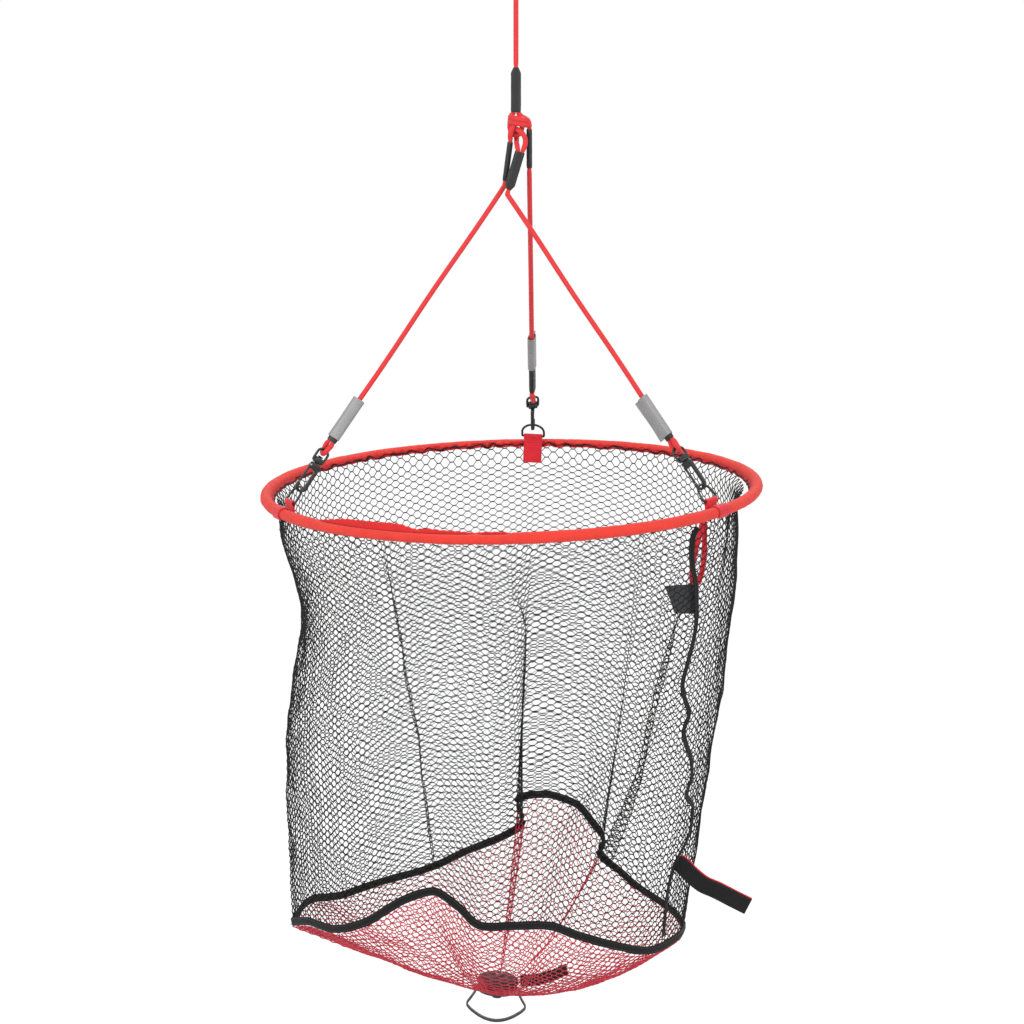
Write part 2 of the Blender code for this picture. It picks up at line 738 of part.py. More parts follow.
def make_leg_rope(leg):
    """A leg's rope from its top eye to the eye round the swivel, with its sleeves and wrap."""
    junction = Vector((0, 0, JUNCTION_Z))
    eye = TOP_EYES[leg.name]
    top = leg.upper_end
    foot = leg.sleeve_foot
    wide = Vector(eye["wide"])
    low_foot = leg.at(BOTTOM_SLEEVE_FOOT)
    low_top = leg.at(BOTTOM_SLEEVE_TOP)
    low_wide = leg.side(leg.sleeve_turn)
    loop_turn = leg.swivel_turn + math.pi / 2
    if abs(loop_turn - leg.sleeve_turn) > math.pi / 2:
        loop_turn -= math.pi
    half_turn = (loop_turn + leg.sleeve_turn) / 2
    route = list(reversed(strand_points(top, foot, wide, 1, True, False)))
    route += [(*(junction + Vector(place)), 1.0) for place in eye["bight"]]
    route += strand_points(top, foot, wide, -1, True, True)
    start = leg.length
    runs = max(2, round((start - BOTTOM_SLEEVE_TOP) / LEG_POINT_SPACING))
    for step in range(runs + 1):
        level = start + (BOTTOM_SLEEVE_TOP + 0.006 - start) * step / runs
        route.append((*leg.at(level), 1.0))
    route += list(reversed(strand_points(low_top, low_foot, low_wide, 1, False, True)))
    lead = STRAND_OFFSET + 0.6 * (BIGHT_RADIUS - STRAND_OFFSET)
    route.append((*leg.at(BOTTOM_SLEEVE_FOOT - 0.0042, half_turn, lead), 1.0))
    for degrees in (0, 36, 72, 108, 144, 180):
        angle = math.radians(degrees)
        level = EYE_BAR - BIGHT_RADIUS * math.sin(angle)
        route.append((*leg.at(level, loop_turn, BIGHT_RADIUS * math.cos(angle)), 1.0))
    route.append((*leg.at(BOTTOM_SLEEVE_FOOT - 0.0042, half_turn, -lead), 1.0))
    route += strand_points(low_top, low_foot, low_wide, -1, False, False)
    tube(f"leg_rope_{leg.name}", route, ROPE_RADIUS, "rope_red")

    outer, inner = sleeve_rings(top, foot, wide, True)
    hollow_loft(f"top_sleeve_{leg.name}", outer, inner, "shrink_black")
    outer, inner = sleeve_rings(low_top, low_foot, low_wide, False)
    hollow_loft(f"bottom_sleeve_{leg.name}", outer, inner, "shrink_black")
    make_wrap(leg, low_wide)


def make_wrap(leg, wide):
    """The reflective wrap: a loose turn of tape round the sleeve, its ends stuck as a flag."""
    thin = leg.along.cross(wide)
    bore = SLEEVE_RADIUS + TOUCH_GAP
    outer = []
    inner = []
    for level in (0.0, WRAP_LENGTH / 2, WRAP_LENGTH):
        centre = leg.at(BOTTOM_SLEEVE_FOOT + leg.wrap_lift + level)
        inside = stadium(centre, wide, thin, STRAND_OFFSET, bore)
        outside = stadium(centre, wide, thin, STRAND_OFFSET, bore + WRAP_WALL)
        flag_end = centre - wide * (STRAND_OFFSET + bore + WRAP_WALL - leg.flag)
        middle = len(outside) // 2
        for index, sign in ((middle - 1, 1), (middle, -1)):
            outside[index] = flag_end + thin * (sign * WRAP_WALL)
        outer.append(outside)
        inner.append(inside)
    hollow_loft(f"reflective_wrap_{leg.name}", outer, inner, "reflective_grey")


def arc(centre, radius, start, end, steps):
    """Points of a plane arc by its start and end angles in degrees."""
    points = []
    for step in range(steps + 1):
        angle = math.radians(start + (end - start) * step / steps)
        points.append((centre[0] + radius * math.cos(angle), centre[1] + radius * math.sin(angle)))
    return points


def hook_outline():
    """The snap hook's body in its own plane: nose, bow, spine and head, round the open slot."""
    inner = BOW_INNER_RADIUS
    spine_outer = inner + SPINE_WIDTH
    nose_outer = inner + BOW_WALL
    outline = [(-inner, NOSE_TOP)]
    outline += arc((0, BOW_CENTRE), inner, 180, 360, 10)
    outline += [(inner, HEAD_FOOT), (-inner - GATE_WIDTH, HEAD_FOOT)]
    outline += [(-inner - GATE_WIDTH, HEAD_TOP - 0.002), (-inner - GATE_WIDTH + 0.002, HEAD_TOP)]
    outline += [(spine_outer - 0.003, HEAD_TOP), (spine_outer, HEAD_TOP - 0.003)]
    steps = 12
    for step in range(steps + 1):
        angle = math.radians(-180 * step / steps)
        radius_x = spine_outer + (nose_outer - spine_outer) * step / steps
        outline.append((radius_x * math.cos(angle), BOW_CENTRE + (inner + BOW_WALL) * math.sin(angle)))
    outline.append((-nose_outer, NOSE_TOP - 0.001))
    outline.append((-nose_outer + 0.001, NOSE_TOP))
    return outline


def make_snap_hook(leg, frame):
    """The hook that hangs in the swivel, its sprung gate, the gate's pin and its spring."""
    name = leg.name
    body = as_mesh(plate(f"snap_hook_{name}", [hook_outline()], HOOK_THICKNESS, "hook_black", frame))
    shank = tool_object(
        f"shank_{name}",
        cylinder_data(f"shank_{name}", SHANK_RADIUS, HEAD_TOP - 0.001, RIVET_FOOT + 0.0002, "Y"),
        frame,
    )
    rivet = tool_object(
        f"rivet_{name}",
        cylinder_data(
            f"rivet_{name}",
            RIVET_HEAD_RADIUS,
            RIVET_FOOT,
            RIVET_TOP,
            "Y",
            end_radius=RIVET_HEAD_RADIUS * 0.7,
        ),
        frame,
    )
    slot = tool_object(
        f"fork_slot_{name}",
        box_data(
            f"fork_slot_{name}",
            (-GATE_OFFSET - GATE_WIDTH, HEAD_FOOT - 0.001, -FORK_SLOT / 2),
            (-GATE_OFFSET + GATE_WIDTH + 0.0002, HEAD_TOP - 0.0015, FORK_SLOT / 2),
        ),
        frame,
    )
    bore = tool_object(
        f"pin_bore_{name}",
        cylinder_data(
            f"pin_bore_{name}",
            GATE_PIN_RADIUS + TOUCH_GAP / 2,
            -HOOK_THICKNESS,
            HOOK_THICKNESS,
            sides=10,
        ),
        frame,
        Matrix.Translation((-GATE_OFFSET, GATE_PIN_LEVEL, 0)),
    )
    rounded(body, 0.0004)
    boolean(body, slot, "DIFFERENCE")
    boolean(body, bore, "DIFFERENCE")
    boolean(body, shank, "UNION")
    boolean(body, rivet, "UNION")

    hinge = Matrix.Translation((-GATE_OFFSET, GATE_PIN_LEVEL, 0))
    tip = NOSE_TOP + 0.0005 - GATE_PIN_LEVEL
    half = GATE_WIDTH / 2
    knuckle = GATE_PIN_RADIUS + 0.0011
    bar_outline = [(half, tip), (half, -HEAD_LENGTH / 2 + 0.0006), (0.0006, 0), (-0.0006, 0)]
    bar_outline += [(-half, -HEAD_LENGTH / 2 + 0.0006), (-half, tip)]
    gate = as_mesh(plate(f"snap_gate_{name}", [bar_outline], GATE_THICKNESS, "hook_black", frame, hinge))
    spring_room = tool_object(
        f"spring_room_{name}",
        cylinder_data(
            f"spring_room_{name}",
            knuckle + 0.0006,
            0.0,
            FORK_SLOT,
            sides=12,
        ),
        frame,
        hinge,
    )
    boss = tool_object(
        f"gate_boss_{name}",
        cylinder_data(f"gate_boss_{name}", knuckle, -GATE_THICKNESS / 2, -0.0001, sides=14),
        frame,
        hinge,
    )
    pin_room = tool_object(
        f"gate_bore_{name}",
        cylinder_data(
            f"gate_bore_{name}",
            GATE_PIN_RADIUS + TOUCH_GAP / 2,
            -HOOK_THICKNESS,
            HOOK_THICKNESS,
            sides=10,
        ),
        frame,
        hinge,
    )
    boolean(gate, boss, "UNION")
    boolean(gate, spring_room, "DIFFERENCE")
    boolean(gate, pin_room, "DIFFERENCE")

    add_object(
        f"gate_pin_{name}",
        cylinder_data(
            f"gate_pin_{name}",
            GATE_PIN_RADIUS,
            -HOOK_THICKNESS / 2 + 0.0001,
            HOOK_THICKNESS / 2 - 0.0001,
            sides=10,
        ),
        "bright_steel",
        frame,
        hinge,
    )
    coil_radius = GATE_PIN_RADIUS + TOUCH_GAP + 2 * SPRING_WIRE_RADIUS
    steps = round(12 * SPRING_TURNS)
    start = 0.0003 + SPRING_WIRE_RADIUS
    rise = FORK_SLOT / 2 - 0.0006 - 2 * SPRING_WIRE_RADIUS
    coil = []
    for step in range(steps + 1):
        angle = math.tau * SPRING_TURNS * step / steps
        level = start + rise * step / steps
        coil.append((coil_radius * math.cos(angle), coil_radius * math.sin(angle), level))
    tube(
        f"gate_spring_{name}",
        coil,
        SPRING_WIRE_RADIUS,
        "bright_steel",
        frame,
        resolution=0,
        matrix=hinge,
    )


def make_swivel_eye(leg, frame):
    """The swivel's block and the bail above it that the rope's eye runs round."""
    turn = Matrix.Rotation(-leg.swivel_turn, 4, "Y")
    arms = [(-EYE_HALF_WIDTH, BLOCK_FOOT + 0.0015, 0)]
    arms += [(-EYE_HALF_WIDTH, BLOCK_TOP, 0), (-EYE_HALF_WIDTH, EYE_BAR - 0.0055, 0)]
    steps = 8
    for step in range(1, steps):
        angle = math.pi * (1 - step / steps)
        arms.append((EYE_HALF_WIDTH * math.cos(angle), EYE_BAR - 0.0055 + 0.0055 * math.sin(angle), 0))
    arms += [(EYE_HALF_WIDTH, EYE_BAR - 0.0055, 0), (EYE_HALF_WIDTH, BLOCK_TOP, 0)]
    arms += [(EYE_HALF_WIDTH, BLOCK_FOOT + 0.0015, 0)]
    name = leg.name
    block = add_object(
        f"swivel_eye_{name}",
        box_data(
            f"swivel_eye_{name}",
            (-BLOCK_WIDTH / 2, BLOCK_FOOT, -BLOCK_THICKNESS / 2),
            (BLOCK_WIDTH / 2, BLOCK_TOP, BLOCK_THICKNESS / 2),
        ),
        "hook_black",
        frame,
        turn,
    )
    rounded(block, 0.001)
    wire = tube(f"swivel_bail_{name}", arms, EYE_WIRE_RADIUS, None, frame, resolution=1, matrix=turn)
    bail = as_mesh(wire)
    parts.objects.unlink(bail)
    cutters.objects.link(bail)
    bail.hide_render = True
    bail.display_type = "WIRE"
    boolean(block, bail, "UNION")
    bore = tool_object(
        f"swivel_bore_{name}",
        cylinder_data(
            f"swivel_bore_{name}",
            SHANK_RADIUS + RUNNING_GAP,
            BLOCK_FOOT - 0.001,
            BLOCK_TOP + 0.001,
            "Y",
        ),
        frame,
    )
    boolean(block, bore, "DIFFERENCE")


def make_d_ring(leg, frame):
    """A D-ring: a straight bar in the tab and a round bow in the snap hook."""
    half = D_RING_INNER_WIDTH / 2 + D_RING_WIRE_RADIUS
    shoulder = D_RING_DEPTH - half
    path = [(0, 0, -half + 0.0015), (0, 0, 0), (0, 0, half - 0.0015), (0, 0.0006, half - 0.0004)]
    path += [(0, 0.0018, half)]
    steps = 12
    for step in range(steps + 1):
        angle = math.pi * step / steps
        path.append((0, shoulder + half * math.sin(angle), half * math.cos(angle)))
    path += [(0, 0.0018, -half), (0, 0.0006, -half + 0.0004)]
    name = f"d_ring_{leg.name}"
    tube(name, path, D_RING_WIRE_RADIUS, "blackened_steel", frame, cyclic=True, resolution=1)


def make_ring_tab(leg):
    """The webbing tab: a loop round the D-ring's bar and two layers hanging inside the rim."""
    bore = D_RING_WIRE_RADIUS + RUNNING_GAP
    outline = arc((0, 0), bore + TAB_LAYER, -40, 220, 12)
    foot = -BAR_HEIGHT - TAB_DROP
    outline += [(-TAB_LAYER, -0.0055), (-TAB_LAYER, foot), (TAB_LAYER, foot), (TAB_LAYER, -0.0055)]
    hole = arc((0, 0), bore, 0, 360, 12)[:-1]
    outward = rim_matrix.to_3x3() @ Vector((math.cos(leg.azimuth), math.sin(leg.azimuth), 0))
    outward = (outward - leg.across * outward.dot(leg.across)).normalized()
    across = leg.across if leg.across.cross(outward).z > 0 else -leg.across
    columns = (outward, across.cross(outward), across)
    place = Matrix.Translation(leg.bar) @ Matrix(columns).transposed().to_4x4()
    plate(f"ring_tab_{leg.name}", [outline, hole], TAB_WIDTH, "fabric_red", matrix=place)


def hoop_ring(azimuth, radius, sides):
    """A ring of points round the hoop's wire, in the rim's own frame."""
    outward = Vector((math.cos(azimuth), math.sin(azimuth), 0))
    ring = []
    for i in range(sides):
        angle = math.tau * i / sides
        ring.append(
            outward * (HOOP_RADIUS + radius * math.cos(angle)) + Vector((0, 0, radius * math.sin(angle)))
        )
    return ring


def make_hoop(rim):
    """The sprung wire hoop, the ferrule that joins its ends and its three fabric sleeves."""
    bpy.ops.mesh.primitive_torus_add(
        major_segments=HOOP_SEGMENTS,
        minor_segments=6,
        major_radius=HOOP_RADIUS,
        minor_radius=HOOP_WIRE_RADIUS,
    )
    hoop = bpy.context.object
    hoop.name = "hoop_wire"
    hoop.data.shade_smooth()
    hoop.data.materials.append(material("bright_steel"))
    for collection in hoop.users_collection:
        collection.objects.unlink(hoop)
    parts.objects.link(hoop)
    hoop.parent = rim

    segment = math.tau / HOOP_SEGMENTS
    azimuth = 2.5 * segment
    outward = Vector((math.cos(azimuth), math.sin(azimuth), 0))
    along = Vector((-outward.y, outward.x, 0))
    middle = outward * (HOOP_RADIUS * math.cos(segment / 2))
    rings = {}
    bore, outside = HOOP_WIRE_RADIUS + RUNNING_GAP, HOOP_WIRE_RADIUS + FERRULE_WALL
    for side, radius in (("bore", bore), ("outside", outside)):
        rings[side] = []
        for end in (-FERRULE_LENGTH / 2, FERRULE_LENGTH / 2):
            ring = []
            for i in range(12):
                angle = math.tau * i / 12
                spoke = outward * math.cos(angle) + Vector((0, 0, math.sin(angle)))
                ring.append(middle + along * end + spoke * radius)
            rings[side].append(ring)
    hollow_loft("hoop_ferrule", rings["outside"], rings["bore"], "bright_steel", rim)
    cuffs = sorted(math.radians(degrees) + CUFF_OFFSET for degrees in LEG_AZIMUTHS.values())
    gap = CUFF_GAP / 2 / HOOP_RADIUS
    steps = 15
    for index, name in enumerate(("left", "front", "right")):
        start = cuffs[index]
        end = cuffs[index + 1] if index < 2 else cuffs[0] + math.tau
        azimuths = [start + gap + (end - start - 2 * gap) * step / steps for step in range(steps + 1)]
        hollow_loft(
            f"rim_sleeve_{name}",
            [hoop_ring(azimuth, RIM_SLEEVE_RADIUS, 8) for azimuth in azimuths],
            [hoop_ring(azimuth, RIM_SLEEVE_RADIUS - RIM_SLEEVE_WALL, 8) for azimuth in azimuths],
            "fabric_red",
            rim,
        )


def band_curve():
    """The band's centre line at even steps of each half, as a (place, up) pair for each column."""
    places = []
    for points in (BAND_BACK, BAND_FRONT):
        dense = [Vector(place) for place in smooth_path(points, 0.004)]
        lengths = [0.0]
        for first, second in zip(dense, dense[1:]):
            lengths.append(lengths[-1] + (second - first).length)
        count = NET_COLUMNS // 2
        index = 0
        for step in range(count):
            wanted = lengths[-1] * step / count
            while lengths[index + 1] < wanted:
                index += 1
            run = lengths[index + 1] - lengths[index]
            places.append(bag_point(*dense[index].lerp(dense[index + 1], (wanted - lengths[index]) / run)))
    line = []
    for index, place in enumerate(places):
        along = (places[(index + 1) % NET_COLUMNS] - places[index - 1]).normalized()
        outward = Vector((along.y, -along.x, 0)).normalized()
        up = along.cross(outward)
        line.append((place, up if up.z > 0 else -up))
    return line


band_line = band_curve()


def band_at(share):
    """The band's place and up direction at any share of the way round."""
    position = share * NET_COLUMNS
    index = int(position)
    place, up = band_line[index % NET_COLUMNS]
    after, after_up = band_line[(index + 1) % NET_COLUMNS]
    return place.lerp(after, position - index), up.lerp(after_up, position - index).normalized()


def tab_release(azimuth):
    """How freely the net falls inwards from the rim: not at all behind a tab, fully away from it."""
    release = 1.0
    for degrees in LEG_AZIMUTHS.values():
        turn = math.degrees(azimuth) - degrees
        apart = math.radians(abs((turn + 180) % 360 - 180))
        release = min(release, max(0.0, (apart - TAB_HOLD) / (TAB_RELEASE - TAB_HOLD)))
    return release


def wall_point(share, level):
    """A point of the net wall by its share of the way round: level 0 is under the tabs, 1 the band."""
    azimuth = math.pi - math.tau * share
    inward = Vector((-math.cos(azimuth), -math.sin(azimuth), 0))
    lip = LIP_DEPTH * tab_release(azimuth)
    if level < 0:
        height = TAB_FOOT + (WALL_TOP - TAB_FOOT) * level / WALL_LEVELS[0]
        return rim_point(azimuth, HEM_RADIUS, height) + inward * lip
    place, up = band_at(share)
    top = rim_point(azimuth, HEM_RADIUS, TAB_FOOT)
    foot = place + up * (BAND_HEIGHT / 2 + NET_EDGE_GAP)
    ratio = level / WAIST_LEVEL
    pull = ratio * math.exp(1 - ratio) * (1 - level) / (1 - WAIST_LEVEL)
    waist = WAIST_DEPTH - WAIST_BIAS * math.cos(azimuth)
    return top.lerp(foot, level) + inward * (waist * pull + lip * math.exp(-level / LIP_LEVEL))


def on_wall(share, level):
    """A point on the flat panels between the wall's rows and columns."""
    row = max(i for i, found in enumerate(WALL_LEVELS[:-1]) if found <= max(level, WALL_LEVELS[0]))
    rise = (level - WALL_LEVELS[row]) / (WALL_LEVELS[row + 1] - WALL_LEVELS[row])
    column = math.floor(share * NET_COLUMNS)
    across = share * NET_COLUMNS - column
    ends = []
    for found in WALL_LEVELS[row : row + 2]:
        here = wall_point(column / NET_COLUMNS, found)
        ends.append(here.lerp(wall_point((column + 1) / NET_COLUMNS, found), across))
    return ends[0].lerp(ends[1], rise)


def floor_point(base, share, level):
    """A point of the red floor from the band, at level 0, to the rim of the base, at 1."""
    place, up = band_at(share)
    start = base.inverted() @ (place - up * (BAND_HEIGHT / 2 + NET_EDGE_GAP))
    outward = Vector((start.x, start.y, 0)).normalized()
    reach = start.xy.length
    radius = reach + (NET_FLAT_RADIUS - reach) * level
    steepness = FLOOR_STEEPNESS + FLOOR_BIAS * outward.x
    return base @ (outward * radius + Vector((0, 0, start.z * (1 - level) ** steepness)))


def wall_grid():
    """The wall's rows and columns: the edges of its openings, and the column at each one's middle."""
    levels = list(WALL_LEVELS[:2])
    for upper, lower in zip(WALL_LEVELS[1:], WALL_LEVELS[2:]):
        levels += [upper + OPENING_EDGE_LEVEL, lower - OPENING_EDGE_LEVEL]
    levels.append(WALL_LEVELS[-1])
    step = OPENING_COLUMNS / NET_COLUMNS
    shares = []
    for index in range(NET_COLUMNS // OPENING_COLUMNS):
        start = index * step
        shares += [start + OPENING_EDGE_SHARE, start + step / 2, start + step - OPENING_EDGE_SHARE]
    return levels, shares


def wall_openings(levels, shares):
    """The faces left out of the wall, as rows and columns: all but the panels that carry the seam."""
    openings = set()
    for row in range(2, len(levels) - 1, 2):
        seam = seam_share((levels[row] + levels[row + 1]) / 2)
        for first in range(0, len(shares), 3):
            beside = shares[first] - SEAM_HOLD_SHARE < seam < shares[first + 2] + SEAM_HOLD_SHARE
            if not beside:
                openings.update({(row, first), (row, first + 1)})
    return openings


def make_net(bag, base):
    """The bag: hem, black wall, black band and red floor, each a closed sheet."""
    shares = [column / NET_COLUMNS for column in range(NET_COLUMNS)]
    azimuths = [math.pi - math.tau * share for share in shares]
    place = bag.matrix_world.inverted()
    hem = []
    for height, lip in ((HEM_TOP, 0.0), (HEM_TOP - HEM_HEIGHT, LIP_DEPTH)):
        hem.append(
            [place @ rim_point(turn, HEM_RADIUS - lip * tab_release(turn), height) for turn in azimuths]
        )
    sheet("net_hem", hem, HEM_THICKNESS, "tape_black", bag, closed=True)
    levels, wall_shares = wall_grid()
    wall = []
    for level in levels:
        wall.append([place @ on_wall(share, level) for share in wall_shares])
    openings = wall_openings(levels, wall_shares)
    sheet("net_wall", wall, NET_THICKNESS, "net_black", bag, closed=True, openings=openings)
    band = []
    for sign in (1, -1):
        band.append([place @ (low + up * (sign * BAND_HEIGHT / 2)) for low, up in band_line])
    sheet("net_band", band, BAND_THICKNESS, "tape_black", bag, closed=True)
    floor = []
    for level in FLOOR_LEVELS:
        floor.append([place @ floor_point(base, share, level) for share in shares])
    inner = []
    for share in shares:
        edge = base.inverted() @ floor_point(base, share, 1.0)
        inner.append(place @ base @ (edge.normalized() * NET_CLAMP_RADIUS))
    floor.append(inner)
    sheet("net_floor", floor, NET_THICKNESS, "net_red", bag, closed=True)


# The seam tape's wander down the wall: how far down, and the share of the way round.
SEAM = (
    (-0.045, 0.6180),
    (0.00, 0.6215),
    (0.06, 0.6190),
    (0.12, 0.6100),
    (0.20, 0.6010),
    (0.29, 0.5980),
    (0.37, 0.5960),
    (0.45, 0.5890),
    (0.53, 0.5800),
    (0.61, 0.5670),
    (0.69, 0.5540),
    (0.75, 0.5545),
    (0.80, 0.5710),
    (0.84, 0.5755),
    (0.89, 0.5755),
    (0.985, 0.5700),
)


def seam_share(level):
    """The share of the way round at which the seam lies, at a level."""
    for (upper, start), (lower, end) in zip(SEAM, SEAM[1:]):
        if level <= lower:
            return start + (end - start) * (level - upper) / (lower - upper)
    return SEAM[-1][1]


def seam_frame(level, share, lift):
    """A point of the seam lifted off the wall, with the directions round and out of the wall."""
    here = on_wall(share, level)
    ahead = on_wall(share + 0.003, level)
    below = on_wall(share, level + 0.01)
    around = (ahead - here).normalized()
    outward = (below - here).cross(around).normalized()
    if outward.x < 0:
        outward = -outward
    return here + outward * lift, around, outward


def make_seam_tape(bag):
    """The binding tape down the wall's seam, outside the net."""
    place = bag.matrix_world.inverted()
    lift = NET_THICKNESS / 2 + TAPE_THICKNESS / 2 + TAPE_GAP
    frames = [seam_frame(level, share, lift) for level, share in SEAM]
    path = [place @ centre for centre, _, _ in frames]
    across = [around for _, around, _ in frames]
    ribbon("seam_tape", path, across, TAPE_WIDTH, TAPE_THICKNESS, "tape_black", bag)


def make_label(bag):
    """A bare care label, sewn into the seam and lying inside the wall."""
    place = bag.matrix_world.inverted()
    rows = []
    for level, left, right in ((0.120, 0.6340, 0.6040), (0.185, 0.6230, 0.6020)):
        row = []
        for share in (left, (left + right) / 2, right):
            row.append(place @ seam_frame(level, share, -NET_THICKNESS / 2 - 0.0035)[0])
        rows.append(row)
    sheet("care_label", rows, LABEL_THICKNESS, "label_grey", bag)


def make_webbing_loop(bag):
    """The red webbing loop that hangs from the rim inside the net, beside the right hook."""
    place = bag.matrix_world.inverted()
    azimuth = math.radians(LEG_AZIMUTHS["right"]) - 0.060
    outward = Vector((math.cos(azimuth), math.sin(azimuth), 0))
    around = Vector((-outward.y, outward.x, 0))
    top = rim_point(azimuth, HEM_RADIUS - 0.0115, -0.0105)
    shape = (
        (0.0022, 0.000),
        (0.0050, -0.012),
        (0.0078, -0.030),
        (0.0080, -0.048),
        (0.0048, -0.060),
        (0.0, -0.064),
        (-0.0048, -0.060),
        (-0.0080, -0.048),
        (-0.0078, -0.030),
        (-0.0050, -0.012),
        (-0.0022, 0.000),
    )
    hang = Vector((0, 0, 1)) + outward * 0.22
    path = [place @ (top + around * side + hang * drop) for side, drop in shape]
    sizes = LOOP_WEB_WIDTH, LOOP_WEB_THICKNESS
    ribbon("webbing_loop", path, outward, *sizes, "fabric_red", bag, closed=True)


# The storage strap's course from its sewn end, as steps right, back and up, and the direction
# across it at each step.
STRAP_COURSE = (
    ((0.000, 0.000, 0.000), (0.09, 0.18, 0.98)),
    ((0.006, -0.005, -0.003), (0.36, 0.16, 0.92)),
    ((0.014, -0.008, -0.011), (0.58, 0.10, 0.80)),
    ((0.029, -0.011, -0.023), (0.60, 0.10, 0.80)),
    ((0.046, -0.011, -0.031), (0.58, 0.20, 0.78)),
    ((0.065, -0.008, -0.042), (0.55, 0.28, 0.80)),
    ((0.084, -0.004, -0.053), (0.60, 0.20, 0.77)),
)
STRAP_LEVEL = 0.80
STRAP_SHARE = 0.5730


def make_storage_strap():
    """The hook-and-loop strap that ties the folded net, sewn at one end to the seam tape."""
    lift = NET_THICKNESS / 2 + TAPE_GAP + TAPE_THICKNESS + STRAP_THICKNESS / 2 + 0.0008
    root = seam_frame(STRAP_LEVEL, STRAP_SHARE, lift)[0]
    frame = add_empty("strap_frame", Matrix.Translation(root))
    path = [step for step, _ in STRAP_COURSE]
    across = [Vector(direction) for _, direction in STRAP_COURSE]
    ribbon("storage_strap", path, across, STRAP_WIDTH, STRAP_THICKNESS, "tape_black", frame)


